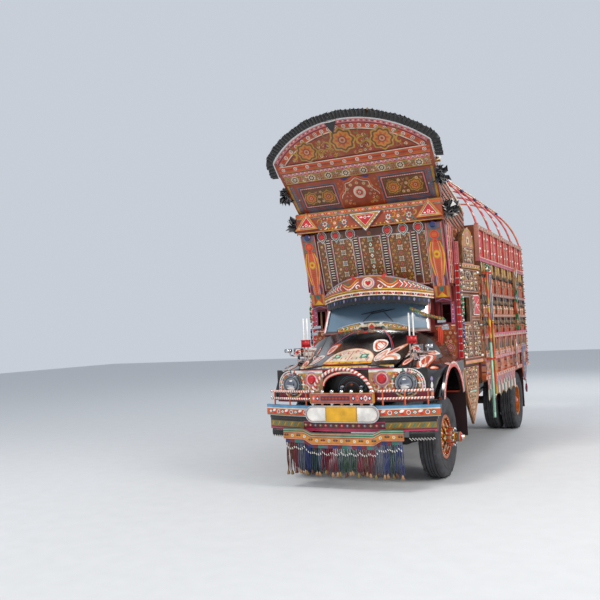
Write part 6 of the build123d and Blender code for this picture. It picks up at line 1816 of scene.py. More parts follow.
side_put = cab_plane(0.0)
strip = Board("corner_strip", cab_plane(0.0547, (cos(TURN), -sin(TURN), 0)), "red_lens")
strip.band(0.001, 0.0540, 1.462, 3.048, "pink", 0.0010)
for k in range(13):
    v = 1.475 + 0.0985 * k
    strip.band(0.012, 0.0535, v, v + 0.080, "lens_red", 0.0030, wall=0.002)
    strip.band(0.004, 0.0540, v + 0.084, v + 0.094, "white", 0.0024)
    strip.disc(0.030, v + 0.089, 0.006, "navy", 0.0032, 6)
for k in range(26):
    strip.disc(0.040, 2.765 + 0.0110 * k, 0.0040, "white" if k % 2 else "rose", 0.0024, 6)
    strip.disc(0.018, 2.765 + 0.0110 * k, 0.0034, "plum", 0.0024, 6)
strip.done("root", "root")


def relief(b, u0, u1, v0, v1, seed, h=0.004, tall=0.072, wide=0.150):
    """Carved field: rows of pierced scrolls and rosettes in worn wood colours, over black hollows that are
    painted shade; the cream on the raised parts is partly wood colour, partly painted highlight.
    """
    mid = (u0 + u1) / 2
    for k, key in enumerate(("brown", "peach", "brown")):
        b.band(u0 + 0.009 * k, u1 - 0.009 * k, v0 + 0.009 * k, v1 - 0.009 * k, key, 0.0012 + 0.0010 * k)
    rows = max(1, int((v1 - v0 - 0.05) / tall + 0.5))
    cells = max(1, int((u1 - u0 - 0.04) / wide + 0.5))
    wide = (u1 - u0 - 0.050) / cells
    tall = (v1 - v0 - 0.050) / rows
    for j in range(rows):
        v = v0 + 0.025 + tall * (j + 0.5)
        for i in range(cells):
            u = u0 + 0.025 + wide * (i + 0.5)
            way = 1 if u > mid else -1
            kind = (i * way + j * 2 + seed) % 5
            rw, rv = wide * 0.46, tall * 0.44
            # black ellipse behind each carving: painted shade in its hollow
            b.poly(rounded(u, v, rw, rv, 0, 360, 30), "black", h)
            if kind in (0, 3):
                b.poly(rounded(u, v, rw * 0.86, rv * 0.72, 0, 360, 30),
                       "tan" if kind else "gold", h + 0.003, 0.003)
                # cream patch set high and aside on the boss: painted highlight
                b.poly(rounded(u - rw * 0.2, v + rv * 0.15, rw * 0.5, rv * 0.42, 0, 360, 36), "cream",
                       h + 0.005)
                b.dome(u + rw * 0.1, v - rv * 0.1, rv * 0.34, "rust", h + 0.005, 8, 0.8, 2)
            elif kind == 1:
                b.line(rounded(u, v - rv * 0.5, rw * 0.80, rv * 1.3, 0, 181, 20),
                       rv * 0.50, "cream", h + 0.005, 0.004, taper=True)
                b.leaf(u, v - rv * 0.8, 90, rv * 1.3, rw * 0.5, "peach", h + 0.004, 0.003, n=4)
            elif kind == 2:
                lozenge(b, u, v, rw * 1.7, rv * 1.7, "tan", h + 0.003, 0.003)
                lozenge(b, u, v, rw * 0.9, rv * 0.8, "cream", h + 0.005)
                b.disc(u, v, rv * 0.25, "dark_red", h + 0.006, 6)
            else:
                for s in (1, -1):
                    b.line([(u + s * rw * 0.15 + s * rw * 0.62 * t, v + s * rv * (0.75 - 1.5 * t * t))
                            for t in [q / 6 for q in range(7)]], rv * 0.42, "tan" if s > 0 else "cream",
                           h + 0.005, 0.004, taper=True)
        if j:
            b.band(u0 + 0.030, u1 - 0.030, v - tall / 2 - 0.004, v - tall / 2 + 0.004,
                   "tan" if j % 2 else "peach", h + 0.002)
    for i in range(1, cells):
        u = u0 + 0.025 + wide * i
        b.band(u - 0.011, u + 0.011, v0 + 0.03, v1 - 0.03, "tan", h + 0.004, wall=0.003)
        # cream line down the middle of each rib: painted highlight
        b.band(u - 0.004, u + 0.004, v0 + 0.03, v1 - 0.03, "cream", h + 0.005)


def beads(b, line, n, keys, r=0.010, h=0.012):
    for i in range(n):
        t = (i + 0.5) / n
        u = line[0][0] + (line[1][0] - line[0][0]) * t
        v = line[0][1] + (line[1][1] - line[0][1]) * t
        b.dome(u, v, r, keys[i % len(keys)], h, 8, 0.9, 2)


carve = Board("cab_side_carving", side_put, "carved_wood")
relief(carve, 0.045, 0.742, 2.356, 2.690, 1)
relief(carve, 0.180, 0.610, 2.750, 3.000, 2)
relief(carve, 0.757, 0.796, 1.375, 2.690, 3, wide=0.040)
arch_pts = rounded(0.395, 3.000, 0.215, 0.250, 0, 181, 10)
carve.poly(arch_pts, "tan", 0.0020)
carve.line(arch_pts, 0.022, "gold", 0.0060, wall=0.005)
carve.line(rounded(0.395, 3.000, 0.17, 0.20, 0, 181, 12), 0.012, "pink", 0.0044)
rosette(carve, 0.395, 3.085, 0.075, 0.0050, ("gold", "cream", "red", "green"), 8)
for k in (1, -1):
    curl(carve, 0.395 + k * 0.11, 3.040, 0.055, 90, -k, 0.020, "peach", 0.0050)
    carve.band(*sorted((0.395 + k * 0.208, 0.395 + k * 0.219)), 2.748, 3.000, "gold", 0.0060, wall=0.004)
for i in range(9):
    t = radians(20 + 140 * i / 8)
    carve.dome(0.395 + 0.225 * cos(t), 3.000 + 0.262 * sin(t), 0.010,
               ("lens_green", "white", "lens_amber")[i % 3], 0.006, 8, 0.9, 2)
for v in (2.700, 2.742):
    carve.band(0.042, 0.746, v - 0.006, v + 0.006, "gold" if v < 2.72 else "peach", 0.0368, wall=0.004)
beads(carve, ((0.05, 2.720), (0.740, 2.720)), 14, ("cream", "tan"), 0.012, 0.0355)
for u in (0.060, 0.095, 0.700, 0.735):
    carve.dome(u, 2.655, 0.018, "white", 0.008, 10, 0.9)
carve.done("root", "root")

# door
door_face = Board("door_carving", side_put, "carved_wood")
relief(door_face, 0.048, 0.395, 1.440, 1.930, 0)
relief(door_face, 0.398, 0.744, 1.440, 1.990, 1)
relief(door_face, 0.398, 0.744, 2.010, 2.330, 2)
bands(door_face, 0.048, 0.744, 0.010, ((1.374, 1.388, "gold"), (1.388, 1.420, "peach"),
                                       (1.420, 1.434, "brown")), wall=0.009)
for u in (0.060, 0.095, 0.700, 0.735):
    door_face.dome(u, 1.470, 0.018, "white", 0.010, 10, 0.9)
fan = [(0.470, 2.045), (0.700, 2.040), (0.726, 2.100), (0.726, 2.300), (0.690, 2.328), (0.470, 2.322),
       (0.545, 2.185)]
for size, key, h in ((1.0, "white", 0.012), (0.92, "lens_red", 0.014)):
    door_face.poly(scaled(fan, 0.620, 2.185, size), key, h, wall=0.006)
for v in (2.10, 2.185, 2.27):
    door_face.line([(0.560, 2.185), (0.700, v)], 0.008, "white", 0.0160)
bands(door_face, 0.092, 0.350, 0.004, ((1.946, 1.950, "chrome"), (2.290, 2.298, "chrome")), wall=0.003)
for u in (0.090, 0.351):
    door_face.band(u - 0.004, u + 0.004, 1.946, 2.298, "chrome", 0.004, wall=0.003)
handle = Mesh("door_handle", "tube_paint")
grip = ((0.640, 0.006), (0.640, 0.040), (0.735, 0.040), (0.735, 0.006))
handle.tube([tuple(side_put(u, 1.900, h)) for u, h in grip], 0.008, "chrome", 0.0, 8)
handle.done("door_left", "door_right")
door_face.done("door_left", "door_right")

# apron under the door
apron = Board("apron_carving", cab_plane(0.0197), "carved_wood")
shape = ((0.0, 1.330), (0.040, 1.130), (0.170, 0.790), (0.333, 0.540), (0.500, 0.790), (0.590, 1.100),
         (0.610, 1.330))
c = (0.318, 1.08)
for size, key, h in ((0.99, "tan", 0.002), (0.93, "brown", 0.0032), (0.90, "gold", 0.0044),
                     (0.84, "tan", 0.0056)):
    apron.poly(scaled(shape, *c, size), key, h)
for v, w, kind in ((1.265, 0.245, 0), (1.185, 0.225, 1), (1.105, 0.200, 0), (1.02, 0.165, 1),
                   (0.935, 0.130, 0), (0.850, 0.095, 1), (0.765, 0.060, 0), (0.690, 0.032, 1)):
    for k in (-1, 1):
        for i in range(2):
            u = c[0] + k * w * (0.26 + 0.50 * i)
            # black ellipses: painted shade in the carved hollows
            apron.poly(rounded(u, v, w * 0.24, 0.034, 0, 360, 30), "black", 0.0066)
            if (i + kind) % 2:
                apron.poly(rounded(u, v, w * 0.19, 0.022, 0, 360, 36), "tan", 0.0090, 0.002)
                # small cream spot set high on the raised part: painted highlight
                apron.poly(rounded(u, v + 0.008, w * 0.10, 0.012, 0, 360, 36), "cream", 0.0100)
            else:
                apron.line(rounded(u, v - 0.014, w * 0.19, 0.036, 0, 181, 20),
                           0.016, "cream" if k > 0 else "peach", 0.0095, 0.003, taper=True)
                apron.disc(u, v - 0.010, 0.011, "gold", 0.0090, 6, 0.002)
    apron.disc(c[0], v, 0.020, ("gold", "rust")[kind], 0.0100, 8, 0.003)
apron.line([(c[0] - 0.255, 1.30), (c[0] - 0.19, 0.93), (c[0] + 0.012, 0.60), (c[0] + 0.215, 0.93),
            (c[0] + 0.262, 1.30)], 0.014, "peach", 0.0105, 0.004)
apron.line([(0.29, 1.31), (0.33, 1.20), (0.37, 1.31)], 0.016, "pink", 0.0080)
apron.band(0.20, 0.46, 0.985, 1.000, "mint", 0.0100, wall=0.004)
for i in range(7):
    apron.dome(0.05 + 0.088 * i, 1.315, 0.010, ("white", "lens_blue")[i % 2], 0.006, 8, 0.9, 2)
apron.done("root", "root")

# bead strings at the corner of the cab
strings = Mesh("corner_beads", "tube_paint")
BEADS = ("white", "lens_blue", "cream", "chrome", "lens_green", "gold")
string = [tuple(side_put(0.020 + 0.008 * sin(1.7 * k), 1.52 + 0.0285 * k, 0.018 + 0.006 * cos(2.3 * k)))
          for k in range(44)]
for k, p in enumerate(string):
    strings.ball(p, 0.011 if k % 4 else 0.015, BEADS[(k * 5) % 6], 8, 5)
strings.tube(string, 0.0025, "navy", 0.0, 5)
for k in range(18):
    p = side_put(0.012 + 0.010 * cos(k), 1.72 + 0.013 * k, 0.030)
    strings.ball(tuple(p), 0.014, ("navy", "lilac", "navy")[k % 3], 6, 4)
for k in range(14):
    p = side_put(0.018 + 0.010 * cos(2 * k), 2.06 + 0.017 * k, 0.032)
    strings.ball(tuple(p), 0.015, ("green", "mint", "red", "green")[k % 4], 6, 4)
strings.done("root", "root")

# tyres with ribs and shoulder blocks, and the painted wheels
WHEEL_Z = 0.510             # height of the axles
FRONT_X = 0.883             # middle of a front tyre
TWIN_X = (0.718, 1.018)     # middles of the twin rear tyres
REAR_X = 0.868              # middle between the twins


def lathe(mesh, x, y, profile, n, notch=()):
    """Turns a profile of (x offset, radius, colour) about an axle that runs along X."""
    k = len(mesh.verts)
    for i in range(n):
        a = 2 * pi * i / n
        for j, (dx, r, _) in enumerate(profile):
            q = r - (0.012 if j in notch and i % 4 < 2 else 0.0)
            mesh.verts.append((x + dx, y + q * sin(a), WHEEL_Z + q * cos(a)))
    m = len(profile)
    for i in range(n):
        for j in range(m - 1):
            a, b = k + i * m + j, k + ((i + 1) % n) * m + j
            mesh.faces.append((a, b, b + 1, a + 1))
            mesh.tags.append(profile[j][2])


def tyre_profile():
    """Half of the section, from the bead out to the shoulder and over the ribs, and its mirror image."""
    half = [(0.088, 0.254), (0.088, 0.278), (0.106, 0.300), (0.122, 0.324), (0.129, 0.345), (0.126, 0.352),
            (0.130, 0.374), (0.130, 0.400), (0.126, 0.403), (0.126, 0.430), (0.127, 0.445), (0.124, 0.470),
            (0.117, 0.492), (0.100, 0.508)]
    ribs = [(0.066, 0.509), (0.064, 0.496), (0.052, 0.496), (0.050, 0.510), (0.022, 0.510), (0.020, 0.497),
            (0.010, 0.497), (0.008, 0.510)]
    right_half = half + ribs
    return [(-x, r, "tyre") for x, r in right_half] + [(x, r, "tyre") for x, r in reversed(right_half)]


TYRE_PROFILE = tyre_profile()
NOTCHES = (12, 13, len(TYRE_PROFILE) - 14, len(TYRE_PROFILE) - 13)
for name, side in (("left", 1), ("right", -1)):
    front_tyre = Mesh("road_tyre_front_" + name, "tyre")
    lathe(front_tyre, side * FRONT_X, F, TYRE_PROFILE, 96, NOTCHES)
    front_tyre.done("wheel_front_" + name, smooth=False, replaces=("tyre_front_" + name,))
    rear_tyres = Mesh("road_tyres_rear_" + name, "tyre")
    for x in TWIN_X:
        lathe(rear_tyres, side * x, REAR, TYRE_PROFILE, 96, NOTCHES)
    rear_tyres.done("wheel_rear_" + name, smooth=False, replaces=("tyres_rear_" + name,))

# hubs and discs
HUB = ((0.121, 0.1015, "gold"), (0.130, 0.0930, "teal"), (0.140, 0.0840, "red"), (0.150, 0.0735, "gold"),
       (0.172, 0.0668, "cream"), (0.182, 0.0637, "rust"), (0.200, 0.0582, "green"), (0.212, 0.0545, "yellow"),
       (0.226, 0.0500, "red"), (0.235, 0.0478, "chrome"), (0.250, 0.0615, "orange"), (0.262, 0.0615, "teal"),
       (0.276, 0.0615, "gold"), (0.2905, 0.0612, "red"), (0.3105, 0.0315, "chrome"), (0.336, 0.0255, "brass"),
       (0.3465, 0.0090, "brass"), (0.3466, 0.0, "brass"))
hub_rings = Mesh("hub_rings_front", "wheel_orange")
lathe(hub_rings, FRONT_X, F, HUB, 32)
for i in range(10):
    a = 2 * pi * i / 10
    y, z = F + 0.105 * sin(a), WHEEL_Z + 0.105 * cos(a)
    hub_rings.tube([(FRONT_X + 0.100, y, z), (FRONT_X + 0.118, y, z)], 0.018, "brass", 0.0, 6)
    hub_rings.ball((FRONT_X + 0.209, y, z), 0.0155, "chrome", 10, 6)
    hub_rings.tube([(FRONT_X + 0.118, y, z), (FRONT_X + 0.200, y, z)], 0.0128, ("orange", "chrome"), 0.03, 8)
for i in range(24):
    a = 2 * pi * i / 24
    hub_rings.ball((FRONT_X + 0.0985, F + 0.233 * sin(a), WHEEL_Z + 0.233 * cos(a)), 0.0085,
                   "brass" if i % 2 else "chrome", 8, 5)
hub_rings.done("wheel_front_left", "wheel_front_right")


def cone_face(x, y, stops):
    """Places motifs on a wheel disc whose depth changes with its radius."""
    def put(u, v, h):
        r = sqrt(u * u + v * v)
        for (r0, x0), (r1, x1) in zip(stops, stops[1:]):
            if r <= r1:
                break
        t = min(max((r - r0) / (r1 - r0), 0.0), 1.0)
        return Vector((x + x0 + (x1 - x0) * t + h, y + u, WHEEL_Z + v))
    return put


FACE_STEPS = ((0.0, 0.100), (0.120, 0.100), (0.205, 0.082), (0.246, 0.060))
disc_front = Board("disc_front", cone_face(FRONT_X, F, FACE_STEPS), "wheel_orange")
for i in range(8):
    a, b = 45 * i + 22.5, 45 * i + 45.0
    for r0, length, wide, key, h in ((0.130, 0.095, 0.050, "gold", 0.0012),
                                     (0.136, 0.080, 0.036, "red", 0.0020),
                                     (0.144, 0.055, 0.020, "cream", 0.0028)):
        disc_front.leaf(r0 * cos(radians(a)), r0 * sin(radians(a)), a, length, wide, key, h, n=4)
    ring(disc_front, 0.178 * cos(radians(b)), 0.178 * sin(radians(b)), 0.029, 0.036, "yellow", 0.0016, 14)
    for length, wide, key, h in ((0.105, 0.062, "gold", 0.0240), (0.080, 0.040, "cream", 0.0250),
                                 (0.055, 0.020, "red", 0.0260)):
        disc_front.leaf(0.075 * cos(radians(b)), 0.075 * sin(radians(b)), b, length, wide, key, h, n=4)
ring(disc_front, 0, 0, 0.120, 0.129, "teal", 0.0016, 48)
ring(disc_front, 0, 0, 0.222, 0.229, "green", 0.0016, 48)
disc_front.done("wheel_front_left", "wheel_front_right")

DRUM = ((0.061, 0.1215, "gold"), (0.085, 0.1215, "red"), (0.100, 0.1215, "cream"), (0.112, 0.1215, "teal"),
        (0.126, 0.1215, "gold"), (0.1405, 0.1212, "orange"), (0.153, 0.1010, "yellow"),
        (0.1655, 0.0815, "red"), (0.185, 0.0745, "cream"), (0.200, 0.0695, "green"),
        (0.2255, 0.0613, "orange"), (0.2510, 0.0313, "chrome"), (0.2635, 0.0, "chrome"))
rear_hubs = Mesh("hub_rings_rear", "wheel_orange")
lathe(rear_hubs, REAR_X, REAR, DRUM, 32)
for i in range(10):
    a = 2 * pi * i / 10
    y, z = REAR + 0.145 * sin(a), WHEEL_Z + 0.145 * cos(a)
    rear_hubs.ball((REAR_X + 0.192, y, z), 0.0165, "chrome", 10, 6)
    rear_hubs.tube([(REAR_X + 0.030, y, z), (REAR_X + 0.050, y, z)], 0.019, "brass", 0.0, 6)
    rear_hubs.tube([(REAR_X + 0.050, y, z), (REAR_X + 0.182, y, z)], 0.0128, ("orange", "gold"), 0.03, 8)
rear_hubs.done("wheel_rear_left", "wheel_rear_right")
disc_rear = Board("disc_rear", cone_face(REAR_X, REAR, ((0.0, 0.016), (0.128, 0.016), (0.200, 0.038),
                                                        (0.246, 0.110))), "wheel_orange")
for i in range(10):
    a = 36 * i + 18
    disc_rear.leaf(0.155 * cos(radians(a)), 0.155 * sin(radians(a)), a, 0.075, 0.052, "gold", 0.0014, n=4)
    disc_rear.leaf(0.162 * cos(radians(a)), 0.162 * sin(radians(a)), a, 0.058, 0.032, "red", 0.0022, n=4)
ring(disc_rear, 0, 0, 0.128, 0.243, "gold", 0.0006, 48)
ring(disc_rear, 0, 0, 0.205, 0.214, "cream", 0.0016, 48)
ring(disc_rear, 0, 0, 0.222, 0.236, "yellow", 0.0016, 48)
disc_rear.done("wheel_rear_left", "wheel_rear_right")
lips = Mesh("rim_lips", "wheel_orange")
lathe(lips, FRONT_X, F, ((0.1004, 0.2525, "gold"), (0.1012, 0.2525, "gold"), (0.1012, 0.2455, "red"),
                         (0.1012, 0.2410, "red"), (0.1004, 0.2410, "red")), 64)
lips.done("wheel_front_left", "wheel_front_right", smooth=False)
rear_lips = Mesh("rim_lips_rear", "wheel_orange")
lathe(rear_lips, TWIN_X[1], REAR, ((0.1004, 0.2525, "gold"), (0.1012, 0.2525, "gold"),
                                   (0.1012, 0.2455, "yellow"), (0.1012, 0.2410, "yellow"),
                                   (0.1004, 0.2410, "yellow")), 64)
rear_lips.done("wheel_rear_left", "wheel_rear_right", smooth=False)

# pleated black ruffle round the crown, its tinsel, chrome edge and pennant
upper_put = plane(UP_O, (1, 0, 0), UP_V)


def trim_path(step=0.009):
    """Points along the edge of the crown with the outward direction at each."""
    path = []
    rows = int((ARCH0 - 0.64) / step)
    for i in range(rows):
        path.append((HALF_TOP + 0.003, 0.64 + (ARCH0 - 0.64) * i / rows, 1.0, 0.0))
    reach = asin(HALF_TOP / ARC_R)
    cells = int(2 * reach * ARC_R / step)
    for i in range(cells + 1):
        a = reach - 2 * reach * i / cells
        path.append(((ARC_R + 0.003) * sin(a), APEX - ARC_R + (ARC_R + 0.003) * cos(a), sin(a), cos(a)))
    for i in range(rows - 1, -1, -1):
        path.append((-HALF_TOP - 0.003, 0.64 + (ARCH0 - 0.64) * i / rows, -1.0, 0.0))
    return path


def ruffle(name, width, lift, depth, pleats, seed):
    """A pleated strip round the crown, and the path it follows."""
    rng = random.Random(seed)
    path = trim_path()
    rows = 5
    n = len(path)
    edge = [rng.uniform(0.82, 1.0) for _ in range(pleats + 2)]
    verts, faces = [], []
    for i, (u, v, du, dv) in enumerate(path):
        at = i / (n - 1) * pleats
        k = int(at)
        wide = width * (edge[k] * (1 - (at - k)) + edge[k + 1] * (at - k))
        swell = 0.55 + 0.45 * edge[k]
        for j in range(rows + 1):
            t = j / rows
            h = lift + depth * swell * (0.25 + 0.75 * t) * sin(2 * pi * at + 0.5 * sin(3 * t + k))
            lean_out = 0.012 * sin(2 * pi * at + 1.2) * t
            p = upper_put(u + du * (wide * t) + dv * lean_out, v + dv * (wide * t) - du * lean_out, h)
            verts.append(tuple(p))
    for i in range(n - 1):
        for j in range(rows):
            a = i * (rows + 1) + j
            faces.append((a, a + 1, a + rows + 2, a + rows + 1))
    obj = add_sheet(name, verts, faces, paint("pleat"))
    return obj, path


front_ruffle, edge_path = ruffle("crown_ruffle", 0.112, 0.004, 0.017, 62, 5)
ruffle("crown_ruffle_back", 0.100, -0.034, 0.020, 54, 9)
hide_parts("crown_trim")
glint = Mesh("crown_tinsel", "trim_cloth")
rng = random.Random(12)
for i in range(2, len(edge_path) - 2, 2):
    u, v, du, dv = edge_path[i]
    for _ in range(2):
        r = rng.uniform(0.050, 0.110)
        w = rng.uniform(-0.010, 0.010)
        p = upper_put(u + du * r + dv * w, v + dv * r - du * w, rng.uniform(-0.010, 0.024))
        q = p + Vector((rng.uniform(-0.012, 0.012), rng.uniform(-0.012, 0.004), rng.uniform(-0.014, 0.010)))
        s = p + Vector((rng.uniform(-0.006, 0.006), rng.uniform(-0.012, 0.0), rng.uniform(-0.012, 0.012)))
        k = len(glint.verts)
        glint.verts += [tuple(p), tuple(q), tuple(s)]
        glint.faces.append((k, k + 1, k + 2))
        glint.tag("chrome" if rng.random() >= 0.75 and u < -0.35 else "tinsel")
glint.done(smooth=False)
crest = Board("crown_edge", upper_put, "crown_paint")
inner = [(u - du * 0.012, v - dv * 0.012) for u, v, du, dv in edge_path[::3]]
crest.line(inner, 0.016, "chrome", 0.0085, wall=0.008)
PENNANT = -0.100
left, right = PENNANT - 0.085, PENNANT + 0.085
crest.poly([(left, arch_v(left) - 0.012), (PENNANT - 0.005, arch_v(PENNANT) - 0.190),
            (right, arch_v(right) - 0.012)], "pleat", 0.0150, wall=0.004)
crest.line([(left, arch_v(left) - 0.010), (PENNANT, arch_v(PENNANT) - 0.018), (right, arch_v(right) - 0.010)],
           0.014, "white", 0.0165)
crest.done()


def tuft(mesh, centre, reach, keys, n, seed, flat=0.6):
    """A bunch of crumpled strips round a point."""
    rng = random.Random(seed)
    c = Vector(centre)
    for i in range(n):
        way = Vector((rng.uniform(-1, 1) * flat, rng.uniform(-1, 1), rng.uniform(-1, 1)))
        way = way.normalized() if way.length else Vector((0, 0, 1))
        side = way.orthogonal().normalized()
        side.rotate(Matrix.Rotation(rng.uniform(0, 6.28), 3, way))
        size = reach * rng.uniform(0.55, 1.0)
        wide = reach * rng.uniform(0.14, 0.30)
        bend = side.cross(way) * size * rng.uniform(-0.3, 0.3)
        k = len(mesh.verts)
        a, b, d = c + way * size * 0.15, c + way * size * 0.6 + bend, c + way * size
        mesh.verts += [tuple(a - side * wide * 0.4), tuple(a + side * wide * 0.4), tuple(b - side * wide),
                       tuple(b + side * wide), tuple(d)]
        mesh.faces += [(k, k + 1, k + 3, k + 2), (k + 2, k + 3, k + 4)]
        mesh.tag(keys[i % len(keys)])


# bunches and tufts on the crown
bunches = Mesh("crown_bunches", "trim_cloth")
tuft(bunches, (1.110, F - 0.035, 3.830), 0.165,
     ("pleat", "pleat", "pleat", "pleat", "tinsel", "pleat"), 60, 3)
tuft(bunches, (1.100, F + 0.02, 3.935), 0.090, ("pleat", "tinsel", "pleat"), 18, 13)
tuft(bunches, (1.085, F - 0.02, 4.045), 0.075, ("brass", "brass", "white"), 14, 4)
tuft(bunches, (1.135, F + 0.290, 3.450), 0.172,
     ("pleat", "pleat", "tinsel", "pleat", "white", "pleat"), 64, 5)
tuft(bunches, (1.100, F + 0.85, 3.52), 0.095, ("brass", "white", "pleat", "brass"), 24, 6)
bunches.done("root", "root", smooth=False)
top_tufts = Mesh("crown_top_tufts", "trim_cloth")
for u, key, n in ((0.42, "brass", 14), (PENNANT, "white", 10)):
    p = upper_put(u, arch_v(u) + 0.085, 0.0)
    tuft(top_tufts, tuple(p), 0.050, (key, key, "tinsel"), n, int(u * 100) + 60)
top_tufts.done(smooth=False)

# ribbed cheeks of the crown box, with a painted highlight along the top of each rib
cheek = Board("cheek_ribs", side_plane(1.030), "crown_paint")


def cheek_top(y):
    stops = ((-0.215, 4.040), (0.700, 3.800), (1.200, 3.670), (1.460, 3.560))
    for (y0, z0), (y1, z1) in zip(stops, stops[1:]):
        if y <= y1:
            return z0 + (z1 - z0) * (y - y0) / (y1 - y0)
    return stops[-1][1]


def cheek_front(z):
    if z > 3.585:
        return 0.245 - (z - 3.585) * 0.950 + 0.03
    if z > 3.30:
        return 0.33
    return 0.33 + (3.30 - z) * 0.10


for k in range(22):
    start = 4.02 - 0.074 * k
    pts_low, pts_high = [], []
    for i in range(25):
        y = -0.20 + 1.640 * i / 24
        z = start - 0.26 * (y + 0.2)
        if y < cheek_front(z) or z > cheek_top(y) - 0.02 or z < 3.24:
            continue
        pts_low.append((y, z - 0.020))
        pts_high.append((y, z + 0.020))
    if len(pts_low) > 1:
        cheek.strip(pts_low, pts_high, ("brown", "rust")[k % 2], 0.0100, wall=0.009)
        # tan strip over the upper part of each rib: painted highlight of its lit top
        cheek.strip([(u, v + 0.030) for u, v in pts_low], [(u, v + 0.004) for u, v in pts_high],
                    "tan", 0.0108)
edge_line = [(y, cheek_top(y) - 0.014) for y in [-0.20 + 0.083 * i for i in range(21)]]
cheek.line(edge_line, 0.026, "cream", 0.0130, wall=0.012)
for k, (key, wide) in enumerate((("rose", 0.050), ("white", 0.016), ("brown", 0.060), ("peach", 0.050),
                                 ("rust", 0.050), ("pink", 0.050), ("cream", 0.020), ("magenta", 0.040),
                                 ("tan", 0.070), ("brown", 0.070), ("rust", 0.080), ("peach", 0.070),
                                 ("brown", 0.090), ("tan", 0.100))):
    at = 0.350 + sum((0.052, 0.018, 0.062, 0.052, 0.052, 0.052, 0.022, 0.042, 0.072, 0.072, 0.082, 0.072,
                      0.092, 0.10)[:k])
    cheek.line([(at + wide / 2 - 0.012, 3.29), (at + wide / 2 + 0.070, 2.48)], wide, key,
               0.0030 + 0.004 * (k % 2), wall=0.002)
    for j in range(12):
        if key in ("brown", "tan", "rust"):
            v = 2.53 + 0.064 * j
            lozenge(cheek, at + wide / 2 + 0.070 - 0.082 * (v - 2.48) / 0.81, v, wide * 0.55, 0.034,
                    ("cream", "gold", "peach")[j % 3], 0.0080)
cheek.done("root", "root")

# cargo sides: black bands of painted shade for the dark gaps between the spindles, painted rails, red top
# bays with a strip of painted shade, and the lower panels
SIDE0, SIDE1 = 1.470, 5.400          # its ends, behind the front axle
BAY0, BAY = 1.500, (SIDE1 - SIDE0 - 0.060) / 7
cargo = Board("cargo_side_paint", side_plane(1.195), "side_paint")
OUT = 0.0350        # how far posts and rails stand out
for i in range(7):
    y0, y1 = BAY0 + BAY * i + 0.031, BAY0 + BAY * (i + 1) - 0.031
    mid = (y0 + y1) / 2
    for low, top in ((1.772, 2.008), (2.062, 2.328), (2.382, 2.828)):
        # black band behind the spindles: painted shade of the gaps between them
        cargo.band(y0, y1, low, top, "black", 0.0010)
        third = (top - low) / 3
        for k in (-1, 1):
            u = mid + k * 0.2 * BAY
            for j, (f0, f1) in enumerate(((0.04, 0.20), (0.80, 0.96))):
                cargo.band(u - 0.034, u + 0.034, low + (top - low) * f0, low + (top - low) * f1,
                           "dark_red" if j else "rust", 0.0030)
        cargo.band(mid - 0.020, mid + 0.020, low, low + third * 0.8, "tan", 0.0200, wall=0.018)
        cargo.band(mid - 0.008, mid + 0.008, low + third * 0.8, top - third * 0.8, "umber", 0.0160,
                   wall=0.012)
        cargo.band(mid - 0.020, mid + 0.020, top - third * 0.8, top, "tan", 0.0200, wall=0.018)
    cargo.band(y0, y1, 2.892, 3.298, "red", 0.0015)
    # dark red strip beside the post: painted shade on the red bay
    cargo.band(y0 + 0.03, y0 + 0.045, 2.90, 3.29, "dark_red", 0.0025)
    cargo.band(y1 - 0.115, y1 - 0.065, 2.892, 3.298, "peach", 0.0200, wall=0.019)
    for j in range(2):
        rosette(cargo, mid - 0.02, 2.98 + 0.22 * j, 0.030, 0.0026, ("dark_red", "rust", "red", "gold"), 6)
    # black band behind the lowest tier: painted shade of its gaps
    cargo.band(y0, y1, 1.422, 1.698, "black", 0.0012)
    cargo.band(y0, y1, 1.424, 1.486, "peach", 0.0260, wall=0.025)
    for j in range(9):
        lozenge(cargo, y0 + (y1 - y0) * (j + 0.5) / 9, 1.455, 0.044, 0.040,
                ("teal", "rose", "cream", "navy")[j % 4], 0.0266)
    for k in (-0.2, 0.2):
        u = mid + k * BAY
        for v0, v1, w, key, h in ((1.610, 1.698, 0.046, "orange", 0.0240),
                                  (1.560, 1.610, 0.030, "rust", 0.0200),
                                  (1.526, 1.560, 0.040, "black", 0.0230)):
            cargo.band(u - w / 2, u + w / 2, v0, v1, key, h, wall=0.022)
        cargo.dome(u, 1.502, 0.024, "peach", 0.0100, 10, 0.9)
    cargo.band(mid - 0.020, mid + 0.020, 1.490, 1.698, "tan", 0.0180, wall=0.016)
    cargo.band(y0, y1, 1.162, 1.368, "peach", 0.0014)
    bands(cargo, y0, y1, 0.0022, ((1.168, 1.182, "orange"), (1.190, 1.200, "sky"), (1.338, 1.350, "orange"),
                                  (1.352, 1.364, "rose")))
    for j in range(6):
        u = y0 + (y1 - y0) * (j + 0.5) / 6
        key = ("rust", "orange", "teal", "peach", "slate", "gold")[(i * 5 + j * 7) % 6]
        lozenge(cargo, u, 1.268, 0.074, 0.118, key, 0.0024)
        lozenge(cargo, u, 1.268, 0.044, 0.070, ("cream", "plum", "peach")[(i + j) % 3], 0.0032)
        cargo.disc(u, 1.268, 0.011, "red" if j % 2 else "green", 0.0040, 6)
RAIL_PAINT = ((1.100, 1.160, "peach", ("cream", "navy", "red"), 60),
              (1.370, 1.420, "pink", ("sky", "orange", "cream"), 56),
              (1.700, 1.770, "peach", ("rose", "cream", "teal"), 54),
              (2.010, 2.060, "rust", ("cream", "gold"), 60), (2.330, 2.380, "rust", ("tan", "cream", "green"),
                                                              60),
              (2.830, 2.890, "rose", ("dark_red", "red"), 58),
              (3.300, 3.360, "tan", ("rust", "cream", "rose"), 60))
